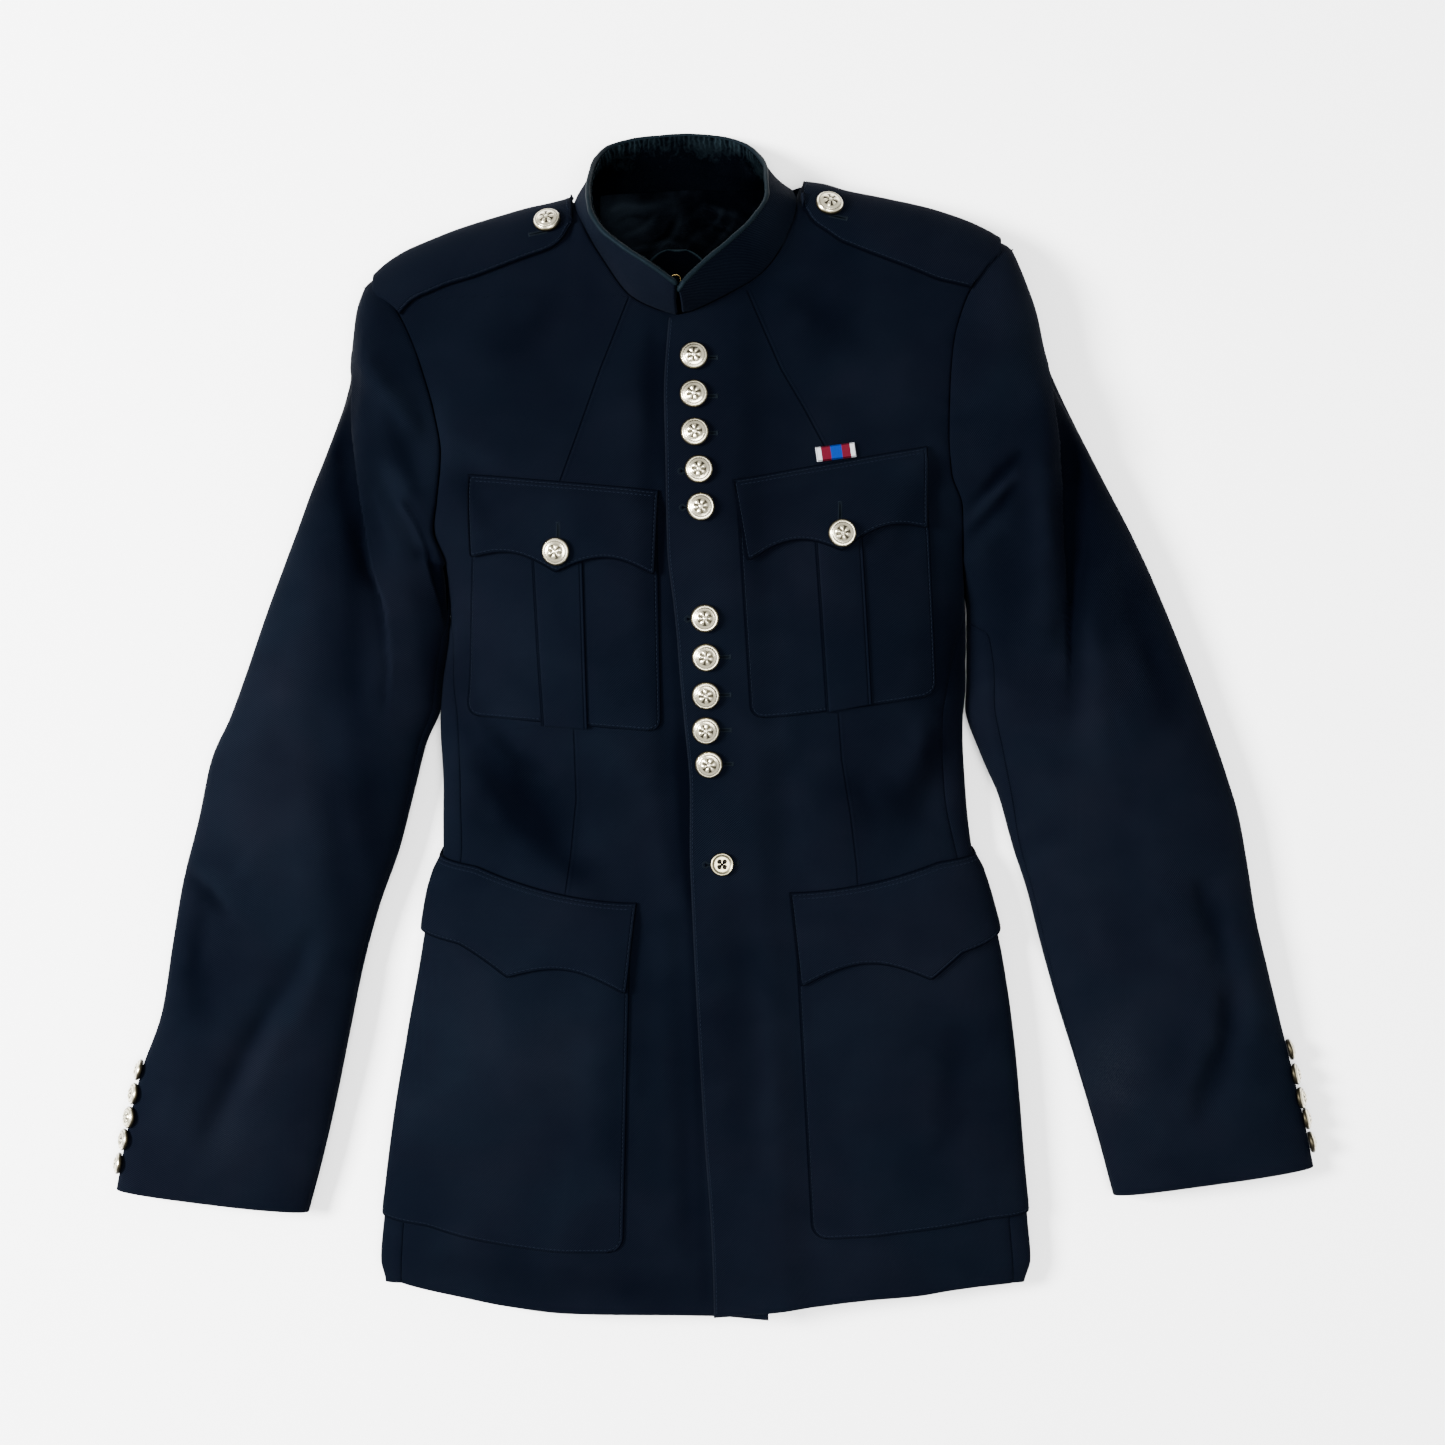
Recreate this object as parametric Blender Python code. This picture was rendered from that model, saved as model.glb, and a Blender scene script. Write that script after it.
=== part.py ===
"""Military dress jacket, buttoned and laid on its back, with a stand collar, shoulder straps and four flap pockets.

The cloth is a thin wall. Its outer surface is worked out from sections across the body and the sleeves,
and every pocket, flap, strap and button lies on points of that surface, moved out.
Lengths are millimetres until a mesh is made. X runs across the jacket, Y from hem to collar, Z up.
Left and right are the wearer's: the wearer's left is at +X.
"""

import math

import bmesh
import bpy
import numpy as np

# Driving sizes
METRES = 0.001
WALL = 2.2
GAP = 0.3
LAP_GAP = 0.8
LAP_REST = 9.0
PATCH_GAP = 0.85
STRAP_GAP = 0.9
PATCH_WALL = 1.5
PLEAT_WALL = 1.2
FLAP_WALL = 2.2
STRAP_WALL = 2.6
COLLAR_WALL = 2.6
FACING_WALL = 1.0
EDGING_RADIUS = 1.7
COLLAR_SWELL = 1.2
FACING_START = 1.5
FACING_GAP = 0.55
NECK_SEAM = 1.5
LINING_WALL = 1.2
LINING_START = 1.6
LINING_DEPTH = 108.0
LINING_RISE = 3.5
LINING_RIGHT = -86.0
LINING_LEFT = 33.0
RIPPLE_HEIGHT = 1.1
RIPPLE_LENGTH = 30.0
FRONT_BUTTON = 19.0
CUFF_BUTTON = 15.0
FLAT_BUTTON = 16.0
THREAD_HOLE_RADIUS = 0.9
THREAD_HOLE_OFFSET = 1.8
THREAD_HOLE_DEPTH = 12.0
STRAP_BUTTON_CLEAR = 1.6
# Steps across a pocket or flap where it turns round the side fold, and those past the fold
SIDE_STEPS = 7
WRAP_STEPS = 2
# The share of a wrapped piece's width that lies on the front, before it starts to turn round the side
FLAT_SHARE = 0.82
# How much of a pocket corner's rounding its last point takes up
CORNER_SHARE = 0.3
HIP_POCKET_SAG = 9.0
# The middle of the finished jacket's box, which becomes the origin
MIDDLE_X = -5.3
MIDDLE_Y = -1.05
# How full the rounded edges are: 2 is an ellipse, more is boxier
CROWN = 2.4
SHOULDER_ROUND = 45.0
SHOULDER_EDGE = 16.0
UNDER_ROUND = 1.2
STEEPEST_SHOULDER = 0.7
LEFT = 1
RIGHT = -1
SIDE_NAME = {LEFT: "left", RIGHT: "right"}

# Sections across the body: where its sides are, how high it stands in the middle and at its side fold.
# Above the armholes the sides are where the crown would come down if there were no sleeves.
BODY_SECTIONS = (
    ("y", "right_x", "left_x", "loft", "side_z"),
    (-413, -236, 209, 25, 12),
    (-391, -236, 211, 27, 12),
    (-375, -239, 215, 29, 13),
    (-350, -237, 213, 31, 13),
    (-290, -230, 208, 33, 14),
    (-220, -219, 202, 35, 14),
    (-160, -208, 193, 36, 14),
    (-120, -202, 183, 36, 14),
    (-88, -195, 174, 37, 13),
    (-48, -195, 170, 42, 12),
    (0, -197, 168, 51, 12),
    (30, -194.8, 170, 57, 12),
    (57, -191, 170, 61, 12),
    (77, -190, 170, 63, 12),
    (107, -197, 175, 65, 12),
    (131, -218, 188, 66, 12),
    (152, -235, 203, 66, 12),
    (183, -250, 220, 65, 12),
    (211, -262, 232, 63, 12),
    (262, -272, 242, 58, 12),
    (335, -274, 248, 50, 12),
    (375, -274, 248, 46, 12),
)
# The top of the shoulders, seen from above
SHOULDER_LINE = (
    ("x", "y"),
    (-242, 308.8),
    (-231, 318.6),
    (-218, 326.5),
    (-202, 333.2),
    (-180, 341.6),
    (-155, 349.3),
    (-135, 355),
    (-116, 359.1),
    (-104, 363),
    (-88, 396),
    (-30, 410),
    (34, 406),
    (50, 374.5),
    (70, 371.5),
    (86, 367),
    (112, 362),
    (142, 355.6),
    (168, 347.2),
    (183, 340.4),
    (193, 334.6),
)
# Large folds of the body's upper side, each along a line: a ridge where the height is positive
BODY_FOLDS = (
    ("x1", "y1", "x2", "y2", "width", "height"),
    (-170, -18, -148, -38, 12, 4.0),
    (-148, -38, -118, -62, 14, 3.0),
    (-178, -42, -148, -78, 13, -3.5),
    (138, -16, 116, -54, 15, 3.0),
    (158, -20, 142, -60, 12, -3.0),
    (-60, -60, -56, -90, 20, -2.0),
    (40, -56, 44, -90, 20, -2.0),
)
# The hem of each front, from its edge to the side seam, and the back's
RIGHT_HEM = (
    ("x", "y"),
    (32, -415),
    (-6, -412),
    (-54, -411.5),
    (-108, -410.5),
    (-150, -405.5),
    (-182, -399.5),
    (-206, -395),
)
LEFT_HEM = (
    ("x", "y"),
    (-6, -412.5),
    (32, -409.5),
    (64, -405.7),
    (96, -401.6),
    (137, -398.6),
    (160, -395),
    (182, -392.5),
)
BACK_HEM_BEND = (60, -396)
# The seam down the middle of the back
BACK_SEAM = (
    ("x", "y"),
    (-16, 200),
    (-13, -100),
    (-12, -397),
)
# Front edges and the seams from armhole to hem, by height up the body
BODY_SEAMS = (
    ("y", "over_edge", "under_edge", "right_front", "left_front", "right_back", "left_back"),
    (-413, -6, 32, -224, 203, -128, 106),
    (-391, -6.4, 31, -224, 203, -127, 105),
    (-350, -8, 28, -222, 200, -124, 101),
    (-290, -12.4, 24, -216, 195, -121, 97),
    (-220, -16.6, 20, -205, 189, -119, 95),
    (-160, -19.6, 17, -194, 180, -118, 93),
    (-120, -21.4, 15, -187, 171, -118, 92),
    (-88, -22.6, 13, -181, 162, -119, 93),
    (-48, -22.4, 12, -182, 154, -125, 98),
    (0, -26.2, 9, -183, 152, -138, 112),
    (30, -29, 6, -186, 157, -152, 128),
    (57, -31, 4, -187, 163, -167, 145),
    (77, -33, 2, -189.6, 169.2, -182, 160),
    (117, -37.5, -1, 0, 0, 0, 0),
    (190, -38.9, -2, 0, 0, 0, 0),
    (224, -39.7, -2, 0, 0, 0, 0),
    (276, -36.4, -1, 0, 0, 0, 0),
)
SEAM_STATIONS = (77, 57, 30, 0, -28, -58, -88, -120, -160, -220, -290, -350, -391)
# Sleeves: each row crosses one sleeve from its inner side to its outer side.
# The first HEAD_ROWS start at the armhole. Height, its place across, the folds' heights and the front seam's place.
HEAD_ROWS = 9
TOP_COLUMNS = 13
UNDER_COLUMNS = 10
SHOULDER_COLUMNS = 7
SLEEVE_COLUMNS = (
    "inner_x", "inner_y", "outer_x", "outer_y", "loft", "peak", "inner_z", "outer_z", "seam",
)
RIGHT_SLEEVE = (
    SLEEVE_COLUMNS,
    (-241.6, 308.8, -248.6, 303.2, 17, 0.3, 16, 16, 0),
    (-226, 287, -254.5, 284, 40, 0.3, 16, 14, 0),
    (-213, 262, -257.5, 262, 46, 0.25, 16, 13, 0),
    (-203.6, 236, -259.5, 243, 50, 0.2, 16, 12, 0),
    (-196.5, 211, -264, 224, 52, 0.18, 16, 12, 0),
    (-192, 183, -270, 206, 53, 0.16, 16, 12, 0),
    (-195, 152, -278, 184, 50, 0.18, 16, 12, 0),
    (-198, 131, -286.5, 162, 46, 0.2, 15, 12, 0),
    (-191, 107, -296, 136, 42, 0.3, 14, 12, 0),
    (-190.4, 77, -307, 107, 40, 0.4, 13, 12, 0),
    (-191.4, 57, -314.5, 87, 38, 0.44, 13, 12, 0.1),
    (-195.3, 30, -324.5, 58, 37, 0.46, 12, 12, 0.11),
    (-196.9, 10, -333, 33, 36, 0.47, 12, 12, 0.11),
    (-206.5, -14, -343.5, 4, 35, 0.48, 12, 12, 0.1),
    (-215.3, -48, -357, -26, 34, 0.49, 12, 12, 0.08),
    (-225.1, -86.5, -366, -68, 33, 0.5, 12, 12, 0.06),
    (-239.9, -128.5, -377, -112, 32, 0.5, 12, 12, 0.045),
    (-251.1, -170.5, -384.3, -156, 31, 0.5, 12, 12, 0.035),
    (-260.9, -218.8, -392, -202, 30, 0.5, 12, 11, 0.03),
    (-270.7, -267.2, -407, -245, 28, 0.5, 11, 10, 0.03),
    (-279.8, -306.4, -417, -288, 26, 0.5, 11, 10, 0.03),
    (-289.5, -343, -424.5, -327, 24, 0.5, 10, 9, 0.03),
)
LEFT_SLEEVE = (
    SLEEVE_COLUMNS,
    (192.7, 334.6, 201.1, 329.7, 17, 0.3, 16, 16, 0),
    (178, 311, 211, 306, 41, 0.3, 16, 14, 0),
    (165, 286, 219, 284, 47, 0.25, 16, 13, 0),
    (157.5, 258, 226, 254, 51, 0.2, 16, 12, 0),
    (154.8, 226.5, 235, 232, 53, 0.18, 16, 12, 0),
    (154.1, 197.8, 245, 211, 53, 0.16, 16, 12, 0),
    (156, 170, 256, 189, 50, 0.18, 16, 12, 0),
    (164, 147, 268, 165, 46, 0.2, 15, 12, 0),
    (165.7, 112, 285, 132, 43, 0.3, 14, 12, 0),
    (170.4, 77, 299, 103, 41, 0.4, 13, 12, 0),
    (170.4, 57, 308.5, 81, 39, 0.44, 13, 12, 0.2),
    (170.4, 30, 319, 55, 38, 0.46, 12, 12, 0.22),
    (169.6, 10, 327.5, 33, 37, 0.47, 12, 12, 0.22),
    (180.3, -22, 341, -4, 36, 0.48, 12, 12, 0.19),
    (192.9, -51.5, 351, -33, 35, 0.49, 12, 12, 0.14),
    (202.7, -86.5, 360.5, -65, 34, 0.5, 12, 12, 0.1),
    (212.5, -116, 366.5, -98, 33, 0.5, 12, 12, 0.085),
    (222.3, -154.4, 372.5, -136, 32, 0.5, 12, 12, 0.08),
    (232.1, -190.1, 382, -176, 31, 0.5, 12, 11, 0.06),
    (247, -238, 394.5, -226, 29, 0.5, 11, 10, 0.035),
    (263, -292, 406.5, -276, 26, 0.5, 11, 10, 0.03),
    (273.5, -331, 414, -311, 24, 0.5, 10, 9, 0.03),
)
# Large folds of the sleeves' upper side: the front of each sleeve head drops in a step to its back half
SLEEVE_FOLDS = (
    ("x1", "y1", "x2", "y2", "width", "height"),
    (-252, 252, -216, 202, 12, 4.0),
    (-262, 232, -262, 188, 9, -7.0),
    (-262, 188, -240, 108, 10, -6.0),
    (-246, 214, -246, 150, 10, 3.0),
    (-228, 160, -206, 118, 9, -3.0),
    (-384, -150, -352, -176, 16, -4.0),
    (-322, -212, -354, -286, 12, -3.0),
    (236, 236, 241, 176, 9, -7.0),
    (241, 176, 238, 60, 11, -6.0),
    (222, 226, 222, 120, 12, 3.0),
    (338, -120, 356, -190, 14, -4.0),
    (360, -198, 340, -258, 13, -3.0),
)
# The collar: its seam round the neck and its top edge, from the wearer's right front round the back to the left
COLLAR_ROWS = (
    ("seam_x", "seam_y", "top_x", "top_y", "top_z"),
    (-32.0, 276.6, -32.4, 292.8, 86),
    (-42.6, 279.9, -47.5, 303.5, 88),
    (-61.8, 289.4, -67.0, 317.0, 85),
    (-80.7, 314.4, -83.0, 331.0, 80),
    (-93.7, 336.6, -90.4, 347.0, 72),
    (-102.7, 358.4, -91.5, 364.0, 60),
    (-93, 369.2, -90.1, 382.0, 43),
    (-79.2, 370.4, -82.0, 399.5, 24),
    (-58.1, 371.4, -57.8, 409.8, 11),
    (-22.9, 373.5, -22.8, 413.0, 8),
    (8.8, 372.8, 8.8, 408.4, 11),
    (29.9, 374.0, 23.9, 396.8, 24),
    (45.9, 374.6, 29.8, 380.0, 43),
    (51.1, 356.0, 29.6, 359.0, 60),
    (43.1, 329.5, 20.6, 340.0, 72),
    (27.1, 306.0, 5.7, 323.5, 80),
    (3.8, 290.6, -11.7, 307.5, 85),
    (-22.1, 278.2, -25.0, 293.0, 88),
    (-26.0, 277.6, -28.4, 288.5, 86),
)
# Rows of the collar table where the shoulder seams meet it
NECK_POINT_RIGHT = 5
NECK_POINT_LEFT = 13
COLLAR_BACK = 9
COLLAR_MIDDLE = (-25.0, 335.0, 45.0)
# Where the fronts' neck edges start, before they meet the collar
NECK_START = {RIGHT: ((-1.5, 277.0), (-22, 275.5)), LEFT: ((-36.4, 274.8),)}
SHOULDER_START = {RIGHT: -104.0, LEFT: 50.0}
# Flaps: corners, the point of the scallop, how far its two arches rise and how far the top edge sags.
# Wrap is how many degrees the outer end goes on past the side fold.
FLAPS = (
    (
        "name", "side", "top_in", "top_out", "bottom_in", "bottom_out", "point",
        "arch_in", "arch_out", "sag", "wrap",
    ),
    (
        "breast_flap_right", RIGHT, (-42.8, 156.7), (-172.9, 168.8), (-45.5, 98.6), (-170.5, 113.5),
        (-112.2, 101.4), 11, 8, 0, 0,
    ),
    (
        "breast_flap_left", LEFT, (6.4, 163.4), (138.5, 187.5), (15.2, 107.5), (138.3, 132),
        (79.9, 115.6), 11, 9, 0, 0,
    ),
    (
        "hip_flap_right", RIGHT, (-58.7, -123.9), (-195, -87), (-66, -187.5), (-208, -141),
        (-148.4, -175.8), 11, 3, 9, 18,
    ),
    (
        "hip_flap_left", LEFT, (45.6, -116.8), (172, -86.5), (53, -182.5), (190, -138),
        (143.6, -177.8), 14, 0, 7, 18,
    ),
)
# Patch pockets: corners, how far the bottom sags, the corner's rounding and the wrap round the side
POCKETS = (
    ("name", "side", "top_in", "top_out", "bottom_in", "bottom_out", "sag", "rounding", "wrap"),
    (
        "breast_pocket_right", RIGHT, (-44, 138), (-169.5, 150), (-41.5, -6.5), (-175, 5), 0, 8, 0,
    ),
    (
        "breast_pocket_left", LEFT, (9.5, 145), (138.6, 168), (18.8, 2.5), (147, 19), 1.5, 8, 0,
    ),
    (
        "hip_pocket_right", RIGHT, (-63, -142), (-203, -108), (-68.5, -366), (-236, -339), 9, 9, 40,
    ),
    (
        "hip_pocket_left", LEFT, (49.5, -138), (180, -108), (61.5, -357), (211, -339), 4, 9, 40,
    ),
)
# Box pleats down the breast pockets: the two sides at the flap and at the bottom
PLEATS = (
    ("name", "side", "top_in", "top_out", "bottom_in", "bottom_out"),
    ("breast_pleat_right", RIGHT, (-94.4, 124), (-129.8, 125), (-91.4, -4.2), (-123.3, -2)),
    ("breast_pleat_left", LEFT, (60.6, 138), (93.4, 139), (70, 7.4), (101.7, 12.8)),
)
# Shoulder straps: along the shoulder from the button end to the armhole, with how far down the front they reach
STRAPS = (
    ("side", "x", "reach"),
    (RIGHT, -103.8, 16),
    (RIGHT, -106.5, 26),
    (RIGHT, -112, 33),
    (RIGHT, -125, 37),
    (RIGHT, -146, 38.5),
    (RIGHT, -170, 40),
    (RIGHT, -192, 38),
    (RIGHT, -208, 38),
    (RIGHT, -220, 41),
    (LEFT, 55.5, 14),
    (LEFT, 58, 27),
    (LEFT, 64, 34),
    (LEFT, 78, 39),
    (LEFT, 98, 44),
    (LEFT, 122, 48),
    (LEFT, 144, 51),
    (LEFT, 158, 49),
    (LEFT, 168, 47),
)
STRAP_WRAP = 55
FRONT_BUTTONS = (
    ("x", "y"),
    (-19.3, 247.4),
    (-19.3, 221.3),
    (-18.6, 195.4),
    (-15.8, 170.2),
    (-14.5, 145.0),
    (-11.8, 70.3),
    (-11.1, 44.1),
    (-11.2, 18.6),
    (-11.2, -5.1),
    (-9.2, -28.3),
)
FLAT_BUTTON_PLACE = (-0.3, -97.2)
BREAST_BUTTONS = ((RIGHT, -111.9, 115.3), (LEFT, 80.3, 127.4))
STRAP_BUTTONS = ((RIGHT, -119.6, 342.5), (LEFT, 72.9, 354.0))
CUFF_BUTTON_ROWS = (
    (RIGHT, (0.965, 0.945, 0.930, 0.945, 0.965), (-243, -259, -275, -291, -308)),
    (LEFT, (0.985, 0.960, 0.955, 0.970, 0.985), (-229, -245, -261, -277, -293)),
)
TAB = {
    "front": (-31.0, 290.1, 71.0), "half_width": 21.0, "length": 28.3, "side_set_back": 11.4, "drop": 6.0,
    "thick": 1.6,
}
HOOK = {"middle": (-31.5, 297.0, 73.0), "radius": 3.4, "wire": 0.65}
RIBBON = {"middle": (76.4, 182.4), "size": (26.8, 10.1, 1.6), "tilt": 8.0}

COLOURS = {
    "cloth": ((0.010, 0.015, 0.028), 0.85, 0.0),
    "facing": ((0.012, 0.018, 0.019), 0.5, 0.0),
    "lining": ((0.008, 0.011, 0.014), 0.35, 0.0),
    "silver": ((0.62, 0.60, 0.55), 0.25, 1.0),
    "ribbon": ((0.35, 0.05, 0.07), 0.7, 0.0),
}


def columns(table):
    """A table as one array for each named column."""
    return {name: np.array([row[i] for row in table[1:]], float) for i, name in enumerate(table[0])}


def smooth(knots, values, at):
    """A smooth curve through the values that doesn't overshoot between two knots."""
    knots, values = np.asarray(knots, float), np.asarray(values, float)
    at = np.clip(np.asarray(at, float), knots[0], knots[-1])
    width = np.diff(knots)
    rise = np.diff(values) / width
    slope = np.zeros(len(knots))
    same_way = rise[:-1] * rise[1:] > 0
    total = rise[:-1] + rise[1:]
    slope[1:-1] = np.where(same_way, 2 * rise[:-1] * rise[1:] / np.where(total == 0, 1, total), 0)
    slope[0], slope[-1] = rise[0], rise[-1]
    i = np.clip(np.searchsorted(knots, at, side="right") - 1, 0, len(width) - 1)
    t = (at - knots[i]) / width[i]
    start, end = values[i], values[i + 1]
    return (
        start * (1 + 2 * t) * (1 - t) ** 2
        + slope[i] * width[i] * t * (1 - t) ** 2
        + end * t * t * (3 - 2 * t)
        - slope[i + 1] * width[i] * t * t * (1 - t)
    )


def eased(t):
    t = np.clip(t, 0, 1)
    return t * t * (3 - 2 * t)


def crown(t):
    """The height of a rounded edge, from 0 at its foot (t = 0) to 1 where it is level (t = 1)."""
    return (1 - (1 - np.clip(t, 0, 1)) ** CROWN) ** (1 / CROWN)


def curl(t):
    """The height of a fold's lower side, from 1 at its edge (t = 0) to 0 where it lies flat (t = 1)."""
    return 1 - np.sqrt(1 - (1 - np.clip(t, 0, 1)) ** 2)


BODY = columns(BODY_SECTIONS)
SHOULDER = columns(SHOULDER_LINE)
SEAMS = columns(BODY_SEAMS)
COLLAR = columns(COLLAR_ROWS)
SLEEVE = {LEFT: columns(LEFT_SLEEVE), RIGHT: columns(RIGHT_SLEEVE)}
FOLDS = {"body": columns(BODY_FOLDS), "sleeve": columns(SLEEVE_FOLDS)}


def folds(kind, x, y):
    """The height that the large folds add at a place, seen from above."""
    table = FOLDS[kind]
    total = np.zeros(np.broadcast(x, y).shape)
    for x1, y1, x2, y2, width, height in zip(*table.values()):
        length2 = (x2 - x1) ** 2 + (y2 - y1) ** 2
        along = np.clip(((x - x1) * (x2 - x1) + (y - y1) * (y2 - y1)) / length2, 0, 1)
        away2 = (x - x1 - along * (x2 - x1)) ** 2 + (y - y1 - along * (y2 - y1)) ** 2
        total = total + height * np.exp(-away2 / width**2)
    return total


def section(y):
    """The body's middle, half width, loft and side fold height at y."""
    right, left, loft, side = (
        smooth(BODY["y"], BODY[name], y) for name in ("right_x", "left_x", "loft", "side_z")
    )
    return (left + right) / 2, (left - right) / 2, loft, side


def seam_x(name, y):
    return smooth(SEAMS["y"], SEAMS[name], y)


def shoulder_slope(x):
    """The slope of the shoulder line, held to what the shoulders have beside the neck."""
    x = np.asarray(x, float)
    rise = smooth(SHOULDER["x"], SHOULDER["y"], x + 2) - smooth(SHOULDER["x"], SHOULDER["y"], x - 2)
    return np.clip(rise / 4, -STEEPEST_SHOULDER, STEEPEST_SHOULDER)


def shoulder_depth(x, y):
    """How far inside the shoulder line a place is, square to the line."""
    return (smooth(SHOULDER["x"], SHOULDER["y"], x) - y) / np.sqrt(1 + shoulder_slope(x) ** 2)


def body_top(x, y):
    """The height of the body's upper side."""
    middle, half, loft, side = section(y)
    level = crown(1 - np.abs(x - middle) / half)
    height = side + (loft - side) * level + folds("body", x, y) * np.minimum(1, 1.5 * level)
    drop = crown(shoulder_depth(x, y) / SHOULDER_ROUND)
    return SHOULDER_EDGE + (height - SHOULDER_EDGE) * drop


def body_under(x, y):
    """The height of the underside: flat on the floor, curling up to the shoulder line."""
    return SHOULDER_EDGE * curl(shoulder_depth(x, y) / (SHOULDER_EDGE * UNDER_ROUND))


def over_lift(x, y):
    """How far the front that lies on top is lifted by the one beneath it."""
    return (WALL + LAP_GAP) * (1 - eased((x - seam_x("under_edge", y) - LAP_REST) / 24))


def front_height(side):
    def height(x, y):
        lift = over_lift(x, y) if side == LEFT else 0
        return body_top(x, y) + lift

    return height


def height_normal(height, x, y, step=0.4):
    """Unit vectors square to a surface given by its height."""
    across = (height(x + step, y) - height(x - step, y)) / (2 * step)
    along = (height(x, y + step) - height(x, y - step)) / (2 * step)
    normal = np.stack([-across, -along, np.ones_like(across)], axis=-1)
    return normal / np.linalg.norm(normal, axis=-1, keepdims=True)


def raised(x, y, height):
    return np.stack([x, y, height(x, y)], axis=-1)


def ring_point(side, y, angle):
    """A point round the body's side at y: 0 is the middle of the top, 90 the side fold, past 180 flat on the floor."""
    y, angle = np.broadcast_arrays(np.asarray(y, float), np.asarray(angle, float))
    middle, half, loft, edge = section(y)
    top = np.radians(np.clip(angle, 0, 90))
    under = np.radians(np.clip(angle - 90, 0, 90))
    flat = np.clip(angle - 180, 0, None)
    width = half * np.abs(np.sin(top)) ** (2 / CROWN)
    level = np.abs(np.cos(top)) ** (2 / CROWN)
    width = width - edge * UNDER_ROUND * (1 - np.cos(under)) - flat
    x = middle + side * width
    over = edge + (loft - edge) * level + folds("body", x, y) * np.minimum(1, 1.5 * level)
    if side == LEFT:
        over = over + over_lift(x, y) * (angle < 90)
    z = np.where(angle <= 90, over, edge * (1 - np.sin(under)))
    return np.stack([x, y, z], axis=-1)


def ring_angle(side, x, y):
    """The ring angle of a place on the top, or 90 past the side fold."""
    middle, half, _, _ = section(y)
    across = np.clip(side * (x - middle) / half, 0, 1)
    return np.degrees(np.arcsin(across ** (CROWN / 2)))


def ring_normal(side, y, angle):
    down = ring_point(side, y - 0.5, angle) - ring_point(side, y + 0.5, angle)
    round_it = ring_point(side, y, angle + 0.7) - ring_point(side, y, angle - 0.7)
    normal = np.cross(down, round_it) * side
    return normal / np.linalg.norm(normal, axis=-1, keepdims=True)


def sleeve_point(side, row, ring):
    """A point round a sleeve: ring 0 to 1 crosses the top from the inner side out, 1 to 2 comes back beneath."""
    table = SLEEVE[side]
    row, ring = np.broadcast_arrays(np.asarray(row, float), np.asarray(ring, float))
    count = np.arange(len(table["loft"]))
    value = {name: smooth(count, table[name], row) for name in SLEEVE_COLUMNS}
    opened = np.clip(HEAD_ROWS - row, 0, 1)
    ring = np.where(ring > 2, ring - 2, ring)
    share = np.where(ring > 1, 2 - ring, ring)
    closed_across = (1 - np.cos(np.pi * share)) / 2
    across = opened * np.sin(np.pi * share / 2) + (1 - opened) * closed_across
    x = value["inner_x"] + (value["outer_x"] - value["inner_x"]) * across
    y = value["inner_y"] + (value["outer_y"] - value["inner_y"]) * across
    width = np.hypot(value["outer_x"] - value["inner_x"], value["outer_y"] - value["inner_y"])
    joined = front_height(side)(value["inner_x"], value["inner_y"])
    inner_top = opened * joined + (1 - opened) * value["inner_z"]
    loft = np.maximum(value["loft"], inner_top + 1)
    rising = inner_top + (loft - inner_top) * crown(across / value["peak"])
    falling = value["outer_z"] + (loft - value["outer_z"]) * crown((1 - across) / (1 - value["peak"]))
    top = np.where(across < value["peak"], rising, falling)
    flatness = np.minimum(1, 4 * (1 - across)) * np.minimum(1, 4 * across + 0.3 * opened)
    top = top + folds("sleeve", x, y) * flatness * eased(row / 2)
    inner_under = opened * body_under(value["inner_x"], value["inner_y"]) + (1 - opened) * value["inner_z"]
    under = value["outer_z"] * curl((1 - across) * width / (value["outer_z"] * UNDER_ROUND))
    under = under + inner_under * curl(across * width / (12 * UNDER_ROUND))
    return np.stack([x, y, np.where(ring > 1, under, top)], axis=-1)


def sleeve_normal(side, row, ring):
    last = len(SLEEVE[side]["loft"]) - 1
    above = sleeve_point(side, np.clip(row - 0.05, 0, last), ring)
    below = sleeve_point(side, np.clip(row + 0.05, 0, last), ring)
    before = sleeve_point(side, row, np.maximum(ring - 0.004, 0))
    after = sleeve_point(side, row, ring + 0.004)
    normal = np.cross(below - above, after - before) * side
    return normal / np.linalg.norm(normal, axis=-1, keepdims=True)


def drawn_in(grid, amount=GAP / 2):
    """The grid with its four edges drawn in, which leaves the gap of a seam."""
    grid = grid.copy()
    for edge, beside in ((0, 1), (-1, -2)):
        for part in (grid, grid.swapaxes(0, 1)):
            step = part[beside] - part[edge]
            part[edge] += amount * step / np.linalg.norm(step, axis=-1, keepdims=True)
    return grid


def material(kind):
    """The shared material of one kind of stuff."""
    found = bpy.data.materials.get(kind)
    if found:
        return found
    colour, roughness, metallic = COLOURS[kind]
    made = bpy.data.materials.new(kind)
    made.use_nodes = True
    shader = made.node_tree.nodes["Principled BSDF"]
    shader.inputs["Base Color"].default_value = (*colour, 1)
    shader.inputs["Roughness"].default_value = roughness
    shader.inputs["Metallic"].default_value = metallic
    made.diffuse_color = (*colour, 1)
    return made


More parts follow.
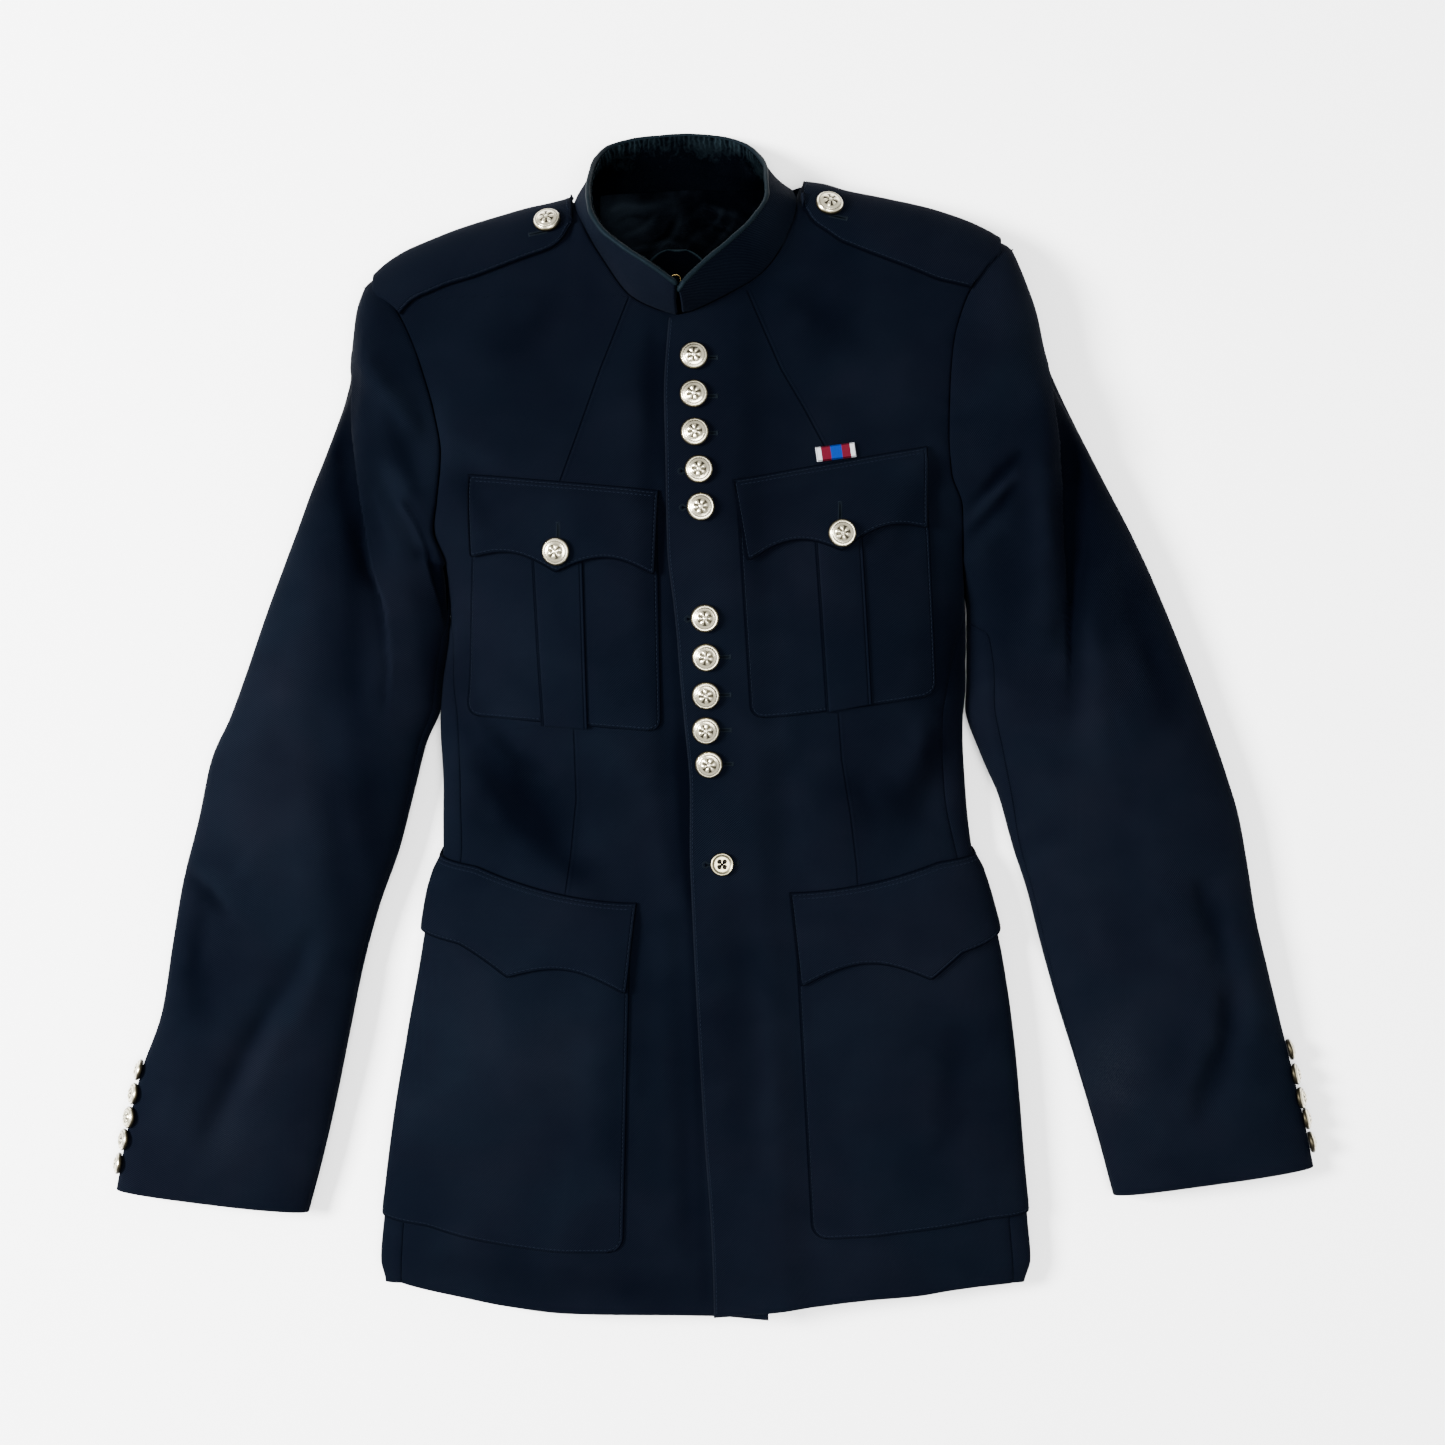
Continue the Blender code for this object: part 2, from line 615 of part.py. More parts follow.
def mesh_object(name, points, faces, kind):
    """An object of these points, with every face turned outwards."""
    middle = np.array([MIDDLE_X, MIDDLE_Y, 0])
    mesh = bpy.data.meshes.new(name)
    mesh.from_pydata(((np.asarray(points) - middle) * METRES).tolist(), [], faces)
    work = bmesh.new()
    work.from_mesh(mesh)
    bmesh.ops.recalc_face_normals(work, faces=work.faces)
    if work.calc_volume(signed=True) < 0:
        bmesh.ops.reverse_faces(work, faces=work.faces)
    work.to_mesh(mesh)
    work.free()
    mesh.materials.append(material(kind))
    mesh.shade_smooth()
    mesh.set_sharp_from_angle(angle=math.radians(40))
    made = bpy.data.objects.new(name, mesh)
    bpy.context.collection.objects.link(made)
    return made


def wall(name, outer, inner, kind):
    """A closed solid between two grids of the same size."""
    rows, across = outer.shape[:2]
    points = np.concatenate([outer.reshape(-1, 3), inner.reshape(-1, 3)])
    index = np.arange(rows * across).reshape(rows, across)
    deep = index + rows * across
    faces = []
    for i in range(rows - 1):
        for j in range(across - 1):
            faces.append([index[i, j], index[i, j + 1], index[i + 1, j + 1], index[i + 1, j]])
            faces.append([deep[i, j], deep[i + 1, j], deep[i + 1, j + 1], deep[i, j + 1]])
    rim = [*index[0, :-1], *index[:-1, -1], *index[-1, :0:-1], *index[:0:-1, 0]]
    for a, b in zip(rim, rim[1:] + rim[:1]):
        faces.append([a, a + rows * across, b + rows * across, b])
    return mesh_object(name, points, [[int(v) for v in face] for face in faces], kind)


def lifted(name, points, normals, start, thick, kind):
    """A wall that lies on a surface: its two faces are the surface's points, moved out."""
    start = np.asarray(start)
    start = start[..., None] if start.ndim else start
    return wall(name, points + normals * (start + thick), points + normals * start, kind)


def spread(line, shares):
    """Points on a polyline at these shares of its length."""
    line = np.asarray(line, float)
    run = np.concatenate([[0], np.cumsum(np.linalg.norm(np.diff(line, axis=0), axis=1))])
    return np.stack([np.interp(shares, run / run[-1], line[:, k]) for k in range(line.shape[1])], axis=1)


def lengths(line):
    """The share of a polyline's length at each of its points."""
    run = np.concatenate([[0], np.cumsum(np.linalg.norm(np.diff(line, axis=0), axis=1))])
    return run / run[-1]


def coons(top, bottom, start, end):
    """A grid of places between four edges, each given as points from the same corners."""
    u = lengths(top)[None, :, None]
    v = lengths(end)[:, None, None]
    between_ends = (1 - v) * top[None] + v * bottom[None]
    between_sides = (1 - u) * start[:, None] + u * end[:, None]
    corners = (1 - u) * ((1 - v) * top[0] + v * bottom[0]) + u * ((1 - v) * top[-1] + v * bottom[-1])
    return between_ends + between_sides - corners


def shoulder_points(side):
    """Points along the shoulder from the neck to the armhole."""
    table = SLEEVE[side]
    x = np.linspace(SHOULDER_START[side], table["inner_x"][0], SHOULDER_COLUMNS)
    y = smooth(SHOULDER["x"], SHOULDER["y"], x)
    y[-1] = table["inner_y"][0]
    return np.stack([x, y], axis=1)


def armhole(side):
    table = SLEEVE[side]
    return np.stack([table["inner_x"][:HEAD_ROWS], table["inner_y"][:HEAD_ROWS]], axis=1)


def side_line(side, seam):
    """The armhole, and below it the seam to the hem."""
    y = np.array(SEAM_STATIONS if seam == "front" else SEAM_STATIONS[1:], float)
    return np.concatenate([armhole(side), np.stack([seam_x(f"{SIDE_NAME[side]}_{seam}", y), y], axis=1)])


def shoulder_outward(line):
    """Level unit vectors square to the shoulder line."""
    run = np.gradient(line, axis=0)
    out = np.stack([-run[:, 1], run[:, 0], np.zeros(len(run))], axis=1)
    out *= np.sign(out[:, 1:2])
    return out / np.linalg.norm(out, axis=1, keepdims=True)


def neck_points(side):
    """The front's neck edge, from the front edge to the shoulder."""
    x, y = COLLAR["seam_x"], COLLAR["seam_y"]
    rows = np.stack([x, y], axis=1)
    found = rows[1 : NECK_POINT_RIGHT + 1] if side == RIGHT else rows[NECK_POINT_LEFT:-1][::-1]
    return np.concatenate([NECK_START[side], found])


def hem_line(side):
    """A front's hem, from its edge to the side seam."""
    rows = RIGHT_HEM if side == RIGHT else LEFT_HEM
    return np.array([*rows[1:], side_line(side, "front")[-1]], float)


def build_front(side):
    """One front, from its edge over the chest to the armhole and the side seam."""
    shoulder = shoulder_points(side)
    neck = neck_points(side)
    top = np.concatenate([neck, shoulder])
    end = side_line(side, "front")
    bottom = spread(hem_line(side), lengths(top))
    bottom[-1] = end[-1]
    edge = "under_edge" if side == RIGHT else "over_edge"
    y = np.linspace(top[0, 1], bottom[0, 1], 60)
    edge_line = np.stack([seam_x(edge, y), y], axis=1)
    edge_line[0], edge_line[-1] = top[0], bottom[0]
    start = spread(edge_line, lengths(end))
    plan = coons(top, bottom, start, end)
    height = front_height(side)
    points = raised(plan[..., 0], plan[..., 1], height)
    normals = height_normal(height, plan[..., 0], plan[..., 1])
    normals[0, len(neck) :] = shoulder_outward(shoulder)
    outer = drawn_in(points)
    return wall(f"front_{SIDE_NAME[side]}", outer, outer - normals * WALL, "cloth")


def build_side_body(side):
    """The panel that wraps the side fold from the front seam to the back seam beneath."""
    name = SIDE_NAME[side]
    y = np.array(SEAM_STATIONS, float)[:, None]
    start = ring_angle(side, seam_x(f"{name}_front", y), y)
    lowest_x, lowest_y = armhole(side)[-1]
    back_y = np.concatenate([[[lowest_y]], y[1:]])
    back_x = np.concatenate([[[lowest_x]], seam_x(f"{name}_back", y[1:])])
    middle, half, _, edge = section(back_y)
    reach = half - side * (back_x - middle) - edge * UNDER_ROUND
    end = np.where(reach > 0, 180 + reach, 90 + np.degrees(np.arccos(np.clip(-reach / (edge * UNDER_ROUND), 0, 1))))
    fold = np.minimum(end - 2, 90 + 78)
    shares = np.array([0, 0.25, 0.5, 0.75, 1.0])
    top = start + (90 - start) * shares[None]
    under = 90 + (fold - 90) * shares[None, 1:]
    flat = fold + (end - fold) * np.array([0.33, 0.66, 1.0])[None]
    angle = np.concatenate([top, under, flat], axis=1)
    y = y + (back_y - y) * np.clip((angle - 90) / (end - 90), 0, 1)
    points = ring_point(side, y, angle)
    normals = ring_normal(side, y, angle)
    normals[:, 0] = height_normal(front_height(side), points[:, 0, 0], points[:, 0, 1])
    normals[0, -1] = [0, 0, -1]
    outer = drawn_in(points, 1.5 * GAP)
    return wall(f"side_body_{name}", outer, outer - normals * WALL, "cloth")


def build_back(side):
    """Half of the back, flat on the floor and curling up at the shoulder to meet the front."""
    shoulder = shoulder_points(side)
    rows = np.stack([COLLAR["seam_x"], COLLAR["seam_y"]], axis=1)
    if side == RIGHT:
        neck = rows[COLLAR_BACK : NECK_POINT_RIGHT : -1]
    else:
        neck = rows[COLLAR_BACK:NECK_POINT_LEFT]
    neck = neck - [0, NECK_SEAM]
    start_x = neck[0, 0]
    top = np.concatenate([neck, shoulder])
    end = side_line(side, "back")
    middle = np.array([top[0], *BACK_SEAM[1:]], float)
    along, bend_y = BACK_HEM_BEND
    bottom = spread(np.array([middle[-1], (start_x + side * along, bend_y), end[-1]]), lengths(top))
    start = spread(middle, lengths(end))
    plan = coons(top, bottom, start, end)
    x, y = plan[..., 0], plan[..., 1]
    points = raised(x, y, body_under)
    normals = -height_normal(body_under, x, y)
    normals[0, len(neck) :] = shoulder_outward(shoulder)
    outer = drawn_in(points)
    return wall(f"back_{SIDE_NAME[side]}", outer, outer - normals * WALL, "cloth")


def build_sleeve(side):
    """Both halves of one sleeve, from the armhole to the open cuff."""
    table = SLEEVE[side]
    row = np.arange(len(table["loft"]), dtype=float)[:, None]
    seam = table["seam"][:, None]
    beneath = np.where(seam > 0, 1, 1 - 1 / (UNDER_COLUMNS - 1))
    cuts = {
        "sleeve_top": seam + (1 - seam) * np.linspace(0, 1, TOP_COLUMNS)[None],
        "sleeve_under": np.concatenate([1 + beneath * np.linspace(0, 1, UNDER_COLUMNS - 1)[None], 2 + seam], axis=1),
    }
    tip_run = np.array([table["outer_x"][0] - table["inner_x"][0], table["outer_y"][0] - table["inner_y"][0]])
    tip_out = np.array([-tip_run[1], tip_run[0], 0]) / np.hypot(*tip_run)
    tip_out *= np.sign(tip_out[1])
    for name, ring in cuts.items():
        points = sleeve_point(side, row, ring)
        normals = sleeve_normal(side, row, ring)
        normals[0] = tip_out
        if name == "sleeve_top":
            seam_places = armhole(side)
            normals[1:HEAD_ROWS, 0] = height_normal(front_height(side), *seam_places[1:].T)
        outer = drawn_in(points)
        wall(f"{name}_{SIDE_NAME[side]}", outer, outer - normals * WALL, "cloth")


def patch(side, corners, sag_top, bottom_line, wrap, rows, across, rounding=0.0):
    """A grid of ring angles and heights for a piece that lies on a front."""
    top_in, top_out, bottom_in, bottom_out = corners
    u = np.linspace(0, FLAT_SHARE if wrap else 1, across)
    if wrap:
        u = np.concatenate([u, np.linspace(FLAT_SHARE, 1, SIDE_STEPS + 1)[1:]])
    top = np.stack([np.interp(u, (0, 1), pair) for pair in zip(top_in, top_out)], axis=1)
    top[:, 1] -= sag_top * 4 * u * (1 - u)
    bottom = bottom_line(u)
    v = np.linspace(0, 1, rows)[:, None]
    y = (1 - v) * top[:, 1] + v * bottom[:, 1]
    angle = ring_angle(side, (1 - v) * top[:, 0] + v * bottom[:, 0], y)
    if wrap:
        start = angle[:, across - 1 : across]
        turn = np.linspace(0, 1, SIDE_STEPS - WRAP_STEPS + 1)[None, 1:]
        under = np.linspace(0, 1, WRAP_STEPS + 1)[None, 1:]
        angle[:, across:] = np.concatenate([start + (90 - start) * turn, 90 + wrap * under + 0 * start], axis=1)
    if rounding:
        y[-1, 0] += CORNER_SHARE * rounding
        angle[-1, 0] += CORNER_SHARE * (angle[-1, 1] - angle[-1, 0])
        if not wrap:
            y[-1, -1] += CORNER_SHARE * rounding
            angle[-1, -1] -= CORNER_SHARE * (angle[-1, -1] - angle[-1, -2])
    return y, angle


def flap_bottom(bottom_in, bottom_out, point, arch_in, arch_out):
    """The lower edge of a flap: an arch each side of its point."""
    tip = (point[0] - bottom_in[0]) / (bottom_out[0] - bottom_in[0])

    def line(u):
        x = bottom_in[0] + (bottom_out[0] - bottom_in[0]) * u
        y = np.interp(u, (0, tip, 1), (bottom_in[1], point[1], bottom_out[1]))
        inner = np.sin(np.pi * np.clip(u / tip, 0, 1)) * arch_in
        outer = np.sin(np.pi * np.clip((u - tip) / (1 - tip), 0, 1)) * arch_out
        return np.stack([x, y + inner + outer], axis=1)

    return line


def straight_bottom(bottom_in, bottom_out, sag):
    def line(u):
        x = bottom_in[0] + (bottom_out[0] - bottom_in[0]) * u
        y = bottom_in[1] + (bottom_out[1] - bottom_in[1]) * u - sag * 4 * u * (1 - u)
        return np.stack([x, y], axis=1)

    return line


def build_pockets():
    """The patch pockets and the box pleats on the breast ones."""
    for name, side, top_in, top_out, bottom_in, bottom_out, sag, rounding, wrap in POCKETS[1:]:
        corners = (top_in, top_out, bottom_in, bottom_out)
        line = straight_bottom(bottom_in, bottom_out, sag)
        sag_top = HIP_POCKET_SAG if wrap else 0
        y, angle = patch(side, corners, sag_top, line, wrap, 9, 8, rounding)
        lifted(name, ring_point(side, y, angle), ring_normal(side, y, angle), PATCH_GAP, PATCH_WALL, "cloth")
    for name, side, top_in, top_out, bottom_in, bottom_out in PLEATS[1:]:
        corners = (top_in, top_out, bottom_in, bottom_out)
        y, angle = patch(side, corners, 0, straight_bottom(bottom_in, bottom_out, 0), 0, 10, 4)
        start = PATCH_GAP + PATCH_WALL + GAP
        lifted(name, ring_point(side, y, angle), ring_normal(side, y, angle), start, PLEAT_WALL, "cloth")


def build_flaps():
    """The scalloped flaps, sewn on along their top edge and lying over pocket and pleat."""
    for row in FLAPS[1:]:
        name, side, top_in, top_out, bottom_in, bottom_out, point, arch_in, arch_out, sag, wrap = row
        corners = (top_in, top_out, bottom_in, bottom_out)
        line = flap_bottom(bottom_in, bottom_out, point, arch_in, arch_out)
        y, angle = patch(side, corners, sag, line, wrap, 5, 12 if wrap else 17)
        clear = PATCH_GAP + PATCH_WALL + GAP + (GAP if wrap else PLEAT_WALL + GAP)
        start = PATCH_GAP + (clear - PATCH_GAP) * eased(np.linspace(0, 1, 5) / 0.22)[:, None] * np.ones(y.shape[1])
        lifted(name, ring_point(side, y, angle), ring_normal(side, y, angle), start, FLAP_WALL, "cloth")


def strap_section(side, x, reach):
    """Points across a shoulder strap: up the front, over the shoulder line and a little way down the back."""
    near = np.array([1.0, 0.72, 0.42, 0.2, 0.05]) * reach
    stretch = math.sqrt(1 + float(shoulder_slope(x)) ** 2)
    line_y = float(smooth(SHOULDER["x"], SHOULDER["y"], x))
    height = front_height(side)
    front = [(x, line_y - d * stretch, float(height(x, line_y - d * stretch))) for d in near]
    back = []
    for turn in np.radians(np.linspace(0, STRAP_WRAP, 3)):
        inward = SHOULDER_EDGE * UNDER_ROUND * (1 - math.cos(turn))
        back.append((x, line_y - inward * stretch, SHOULDER_EDGE * (1 - math.sin(turn))))
    return np.array(front + back)


def grid_normals(points, towards):
    """Unit vectors square to a grid, on the side of the given direction."""
    normal = np.cross(np.gradient(points, axis=0), np.gradient(points, axis=1))
    normal /= np.linalg.norm(normal, axis=-1, keepdims=True)
    return normal * np.sign((normal * towards).sum(axis=-1, keepdims=True))


def build_strap(side):
    rows = [(x, reach) for which, x, reach in STRAPS[1:] if which == side]
    points = np.array([strap_section(side, x, reach) for x, reach in rows])
    normals = grid_normals(points, np.array([0, 0.8, 0.6]))
    return lifted(f"epaulette_{SIDE_NAME[side]}", points, normals, STRAP_GAP, STRAP_WALL, "cloth")


def collar_rings():
    """The collar's lower and upper rings, with the seam lifted clear of the panels it joins."""
    x, y = COLLAR["seam_x"].copy(), COLLAR["seam_y"].copy()
    count = len(x)
    index = np.arange(count)
    at_back = (index > NECK_POINT_RIGHT) & (index < NECK_POINT_LEFT)
    side = np.where(index <= COLLAR_BACK, RIGHT, LEFT)
    top = np.where(side == RIGHT, body_top(x, y), front_height(LEFT)(x, y))
    z = np.where(at_back, body_under(x, y) + 0.2, top + 0.7)
    x = x - np.where(at_back, 0, 0.3) * side
    y = y + np.where(at_back, 0.4, 0)
    lower = np.stack([x, y, z], axis=1)
    upper = np.stack([COLLAR["top_x"], COLLAR["top_y"], COLLAR["top_z"]], axis=1)
    return lower, upper


def dense_rings():
    """The collar's rings with a row between each two."""
    lower, upper = collar_rings()
    knots = np.arange(len(lower))
    fine = np.linspace(0, len(lower) - 1, 2 * len(lower) - 1)
    lower = np.stack([np.interp(fine, knots, lower[:, k]) for k in range(3)], axis=1)
    upper = np.stack([smooth(knots, upper[:, k], fine) for k in range(3)], axis=1)
    return lower, upper


def collar_frame():
    """For each row of the collar: its foot, its way up, its height and its way in."""
    lower, upper = dense_rings()
    rise = upper - lower
    tall = np.linalg.norm(rise, axis=1, keepdims=True)
    up = rise / tall
    run = np.gradient(lower, axis=0) + np.gradient(upper, axis=0)
    inward = np.cross(up, run)
    inward /= np.linalg.norm(inward, axis=1, keepdims=True)
    inward *= np.sign(((np.array(COLLAR_MIDDLE) - (lower + upper) / 2) * inward).sum(axis=1, keepdims=True))
    return lower, up, tall, inward


def build_collar():
    """The stand collar, its facing and the piped edge along its top."""
    lower, up, tall, inward = collar_frame()
    levels = np.array([0, 0.5, 1.0])[None, :, None]
    reach = (tall - 2 * EDGING_RADIUS - GAP)[:, None]
    swell = COLLAR_SWELL * eased(lower[:, 2:] / 30)[:, None] * np.sin(np.pi * levels)
    outer = lower[:, None] + up[:, None] * reach * levels - inward[:, None] * swell
    inner = outer + inward[:, None] * COLLAR_WALL
    wall("collar", outer, inner, "cloth")
    faced = inner + inward[:, None] * FACING_GAP
    faced[:, 0] += up * FACING_START
    wall("collar_facing", faced, faced + inward[:, None] * FACING_WALL, "facing")
    centre = lower + up * (tall - EDGING_RADIUS) + inward * COLLAR_WALL / 2
    tube("collar_edging", centre, up, inward, EDGING_RADIUS, 6, "facing")


def tube(name, centre, first, second, radius, sides, kind):
    """A closed tube along a line of centres."""
    turns = np.linspace(0, 2 * np.pi, sides, endpoint=False)
    circle = np.cos(turns)[None, :, None] * first[:, None] + np.sin(turns)[None, :, None] * second[:, None]
    points = (centre[:, None] + radius * circle).reshape(-1, 3)
    faces = []
    for i in range(len(centre) - 1):
        for j in range(sides):
            k = (j + 1) % sides
            faces.append([i * sides + j, i * sides + k, (i + 1) * sides + k, (i + 1) * sides + j])
    last = (len(centre) - 1) * sides
    faces.append(list(range(sides)))
    faces.append([last + j for j in range(sides)])
    return mesh_object(name, points, faces, kind)


def build_lining():
    """The lining that shows through the neck, on the inside of the back."""
    x, depth = np.meshgrid(np.linspace(LINING_RIGHT, LINING_LEFT, 11), np.linspace(0, 1, 8))
    at_back = slice(NECK_POINT_RIGHT + 1, NECK_POINT_LEFT)
    seam_y = np.interp(x, COLLAR["seam_x"][at_back], COLLAR["seam_y"][at_back])
    y = seam_y - LINING_START - LINING_DEPTH * depth
    wave = np.abs(np.sin(2 * np.pi * x / RIPPLE_LENGTH + 3 * depth))
    ripple = RIPPLE_HEIGHT * wave * np.sqrt(np.clip(np.sin(np.pi * depth), 0, 1))
    start = WALL + 4 * GAP + ripple + LINING_RISE * 4 * depth * (1 - depth)
    points = raised(x, y, body_under)
    lifted("back_lining", points, height_normal(body_under, x, y), start, LINING_WALL, "lining")


def build_tab():
    """The half-round guard inside the collar's front, and the hook on it."""
    width = np.linspace(-1, 1, 9)[None, :]
    depth = np.linspace(0, 1, 4)[:, None]
    middle_x, front_y, front_z = TAB["front"]
    x = middle_x + TAB["half_width"] * width * np.sqrt(np.clip(1 - (0.96 * depth) ** 2, 0, 1))
    sides = TAB["side_set_back"] * np.abs(width) ** 1.2 * (1 - depth)
    y = front_y + TAB["length"] * depth + sides
    z = front_z - TAB["drop"] * depth + 0 * width
    points = np.stack([x, y, z], axis=-1)
    wall("collar_tab", points + np.array([0, 0.3, 0.95]) * TAB["thick"], points, "cloth")
    turn = np.linspace(math.radians(-30), math.radians(210), 9)
    ray = np.stack([np.cos(turn), np.sin(turn), 0 * turn], axis=1)
    centre = np.array(HOOK["middle"]) + HOOK["radius"] * ray
    tube("collar_hook", centre, ray, np.tile([0.0, 0, 1], (9, 1)), HOOK["wire"], 6, "silver")


def button_object(name, place, normal, width, profile, sides=10):
    """A turned button standing on a surface."""
    normal = normal / np.linalg.norm(normal)
    first = np.cross(normal, [0, 1, 0])
    first /= np.linalg.norm(first)
    second = np.cross(normal, first)
    turns = np.linspace(0, 2 * np.pi, sides, endpoint=False)
    points = []
    for radius, level in profile:
        for turn in turns:
            ray = first * math.cos(turn) + second * math.sin(turn)
            points.append(place + ray * radius * width / 2 + normal * level * width)
    top = len(points)
    points.append(place + normal * profile[-1][1] * width)
    faces = [list(range(sides))]
    for i in range(len(profile) - 1):
        for j in range(sides):
            k = (j + 1) % sides
            faces.append([i * sides + j, i * sides + k, (i + 1) * sides + k, (i + 1) * sides + j])
    ring = (len(profile) - 1) * sides
    faces += [[ring + j, ring + (j + 1) % sides, top] for j in range(sides)]
    points[top] = points[top] + normal * 0.012 * width
    return mesh_object(name, points, faces, "silver")


DOME = ((0.75, 0.0), (1.0, 0.07), (0.98, 0.14), (0.72, 0.25), (0.38, 0.32))
DISC = ((0.85, 0.0), (1.0, 0.06), (1.0, 0.14), (0.86, 0.17), (0.78, 0.12), (0.4, 0.11))


def build_buttons():
    """All the buttons, each standing on the cloth that carries it."""
    over = front_height(LEFT)
    places = columns(FRONT_BUTTONS)
    for i, (x, y) in enumerate(zip(places["x"], places["y"])):
        normal = height_normal(over, x, y)
        base = np.array([x, y, float(over(x, y))]) + normal * GAP
        button_object(f"front_button_{i + 1:02d}", base, normal, FRONT_BUTTON, DOME)
    x, y = FLAT_BUTTON_PLACE
    normal = height_normal(over, x, y)
    flat = button_object(
        "flat_button", np.array([x, y, float(over(x, y))]) + normal * GAP, normal, FLAT_BUTTON, DISC, 16
    )
    drill(flat, np.array([x, y, float(over(x, y))]), normal)
    for side, x, y in BREAST_BUTTONS:
        height = front_height(side)
        normal = height_normal(height, x, y)
        stack = PATCH_GAP + PATCH_WALL + PLEAT_WALL + FLAP_WALL + 3 * GAP
        base = np.array([x, y, float(height(x, y))]) + normal * (stack + 0.3)
        button_object(f"breast_button_{SIDE_NAME[side]}", base, normal, FRONT_BUTTON, DOME)
    for side, x, y in STRAP_BUTTONS:
        height = front_height(side)
        normal = height_normal(height, x, y, 4.0)
        base = np.array([x, y, float(height(x, y))]) + normal * (STRAP_WALL + STRAP_BUTTON_CLEAR)
        button_object(f"epaulette_button_{SIDE_NAME[side]}", base, normal, FRONT_BUTTON, DOME)
    for side, rings, heights in CUFF_BUTTON_ROWS:
        table = SLEEVE[side]
        for i, (ring, y) in enumerate(zip(rings, heights)):
            row = float(np.interp(-y, -table["outer_y"], np.arange(len(table["outer_y"]))))
            normal = sleeve_normal(side, np.array(row), np.array(ring))
            base = sleeve_point(side, row, ring) + normal * GAP
            button_object(f"cuff_button_{SIDE_NAME[side]}_{i + 1}", base, normal, CUFF_BUTTON, DOME, 8)


def drill(button, place, normal):
    """Four thread holes through the flat button."""
    middle = np.array([MIDDLE_X, MIDDLE_Y, 0])
    corners = [(dx, dy, 0) for dy in (-1, 1) for dx in (-1, 1)]
    for i, corner in enumerate(THREAD_HOLE_OFFSET * np.array(corners)):
        bpy.ops.mesh.primitive_cylinder_add(
            vertices=8,
            radius=THREAD_HOLE_RADIUS * METRES,
            depth=THREAD_HOLE_DEPTH * METRES,
            location=(place - middle + corner) * METRES,
        )
        cutter = bpy.context.object
        cutter.name = f"thread_hole_{i}"
        cutter.hide_render = True
        cutter.display_type = "WIRE"
        cut = button.modifiers.new(f"hole_{i}", "BOOLEAN")
        cut.operation = "DIFFERENCE"
        cut.solver = "EXACT"
        cut.object = cutter


def build_ribbon():
    """The flat ribbon bar above the left breast pocket."""
    width, tall, thick = RIBBON["size"]
    tilt = math.radians(RIBBON["tilt"])
    u = np.linspace(-0.5, 0.5, 4)[None, :] * width
    v = np.linspace(0.5, -0.5, 2)[:, None] * tall
    x = RIBBON["middle"][0] + u * math.cos(tilt) - v * math.sin(tilt)
    y = RIBBON["middle"][1] + u * math.sin(tilt) + v * math.cos(tilt)
    height = front_height(LEFT)
    lifted("ribbon_bar", raised(x, y, height), height_normal(height, x, y), 2 * GAP, thick, "ribbon")


def main():
    for old in list(bpy.data.objects):
        bpy.data.objects.remove(old, do_unlink=True)
    for side in (LEFT, RIGHT):
        build_front(side)
        build_side_body(side)
        build_back(side)
        build_sleeve(side)
        build_strap(side)
    build_pockets()
    build_flaps()
    build_collar()
    build_lining()
    build_tab()
    build_buttons()
    build_ribbon()


main()
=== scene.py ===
import math

import bmesh
import bpy
import numpy as np
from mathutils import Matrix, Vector
from mathutils.bvhtree import BVHTree


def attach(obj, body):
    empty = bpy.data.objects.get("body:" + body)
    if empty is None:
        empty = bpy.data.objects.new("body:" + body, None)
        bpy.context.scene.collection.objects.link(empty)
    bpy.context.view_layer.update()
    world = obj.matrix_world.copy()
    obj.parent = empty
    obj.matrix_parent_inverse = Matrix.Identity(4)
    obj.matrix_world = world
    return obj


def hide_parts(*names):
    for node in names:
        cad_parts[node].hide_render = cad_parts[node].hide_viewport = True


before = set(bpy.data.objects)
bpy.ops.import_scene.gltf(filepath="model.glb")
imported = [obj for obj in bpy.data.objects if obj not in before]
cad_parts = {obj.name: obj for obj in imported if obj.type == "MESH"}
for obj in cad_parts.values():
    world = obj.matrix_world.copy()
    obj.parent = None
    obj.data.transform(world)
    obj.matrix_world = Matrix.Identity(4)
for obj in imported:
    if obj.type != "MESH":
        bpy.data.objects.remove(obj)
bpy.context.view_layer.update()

# Driving sizes
METRES = 0.001
WALL = 2.2
GAP = 0.3
LAP_GAP = 0.8
LAP_REST = 9.0
PATCH_GAP = 0.85
STRAP_GAP = 0.9
PATCH_WALL = 1.5
PLEAT_WALL = 1.2
FLAP_WALL = 2.2
STRAP_WALL = 2.6
COLLAR_WALL = 2.6
FACING_WALL = 1.0
EDGING_RADIUS = 1.7
COLLAR_SWELL = 1.2
FACING_START = 1.5
FACING_GAP = 0.55
NECK_SEAM = 1.5
LINING_WALL = 1.2
LINING_START = 1.6
LINING_DEPTH = 108.0
LINING_RISE = 3.5
LINING_RIGHT = -86.0
LINING_LEFT = 33.0
FRONT_BUTTON = 19.0
CUFF_BUTTON = 15.0
FLAT_BUTTON = 16.0
# Steps across a pocket or flap where it turns round the side fold, and those past the fold
SIDE_STEPS = 7
WRAP_STEPS = 2
# The share of a wrapped piece's width that lies on the front, before it starts to turn round the side
FLAT_SHARE = 0.82
HIP_POCKET_SAG = 9.0
# How high a flap lies at its seam, and over which share of its depth it rises clear of the pocket
FLAP_LIFT = 0.3
FLAP_RISE = 0.26
# The middle of the finished jacket's box, which becomes the origin
MIDDLE_X = -5.3
MIDDLE_Y = -1.05
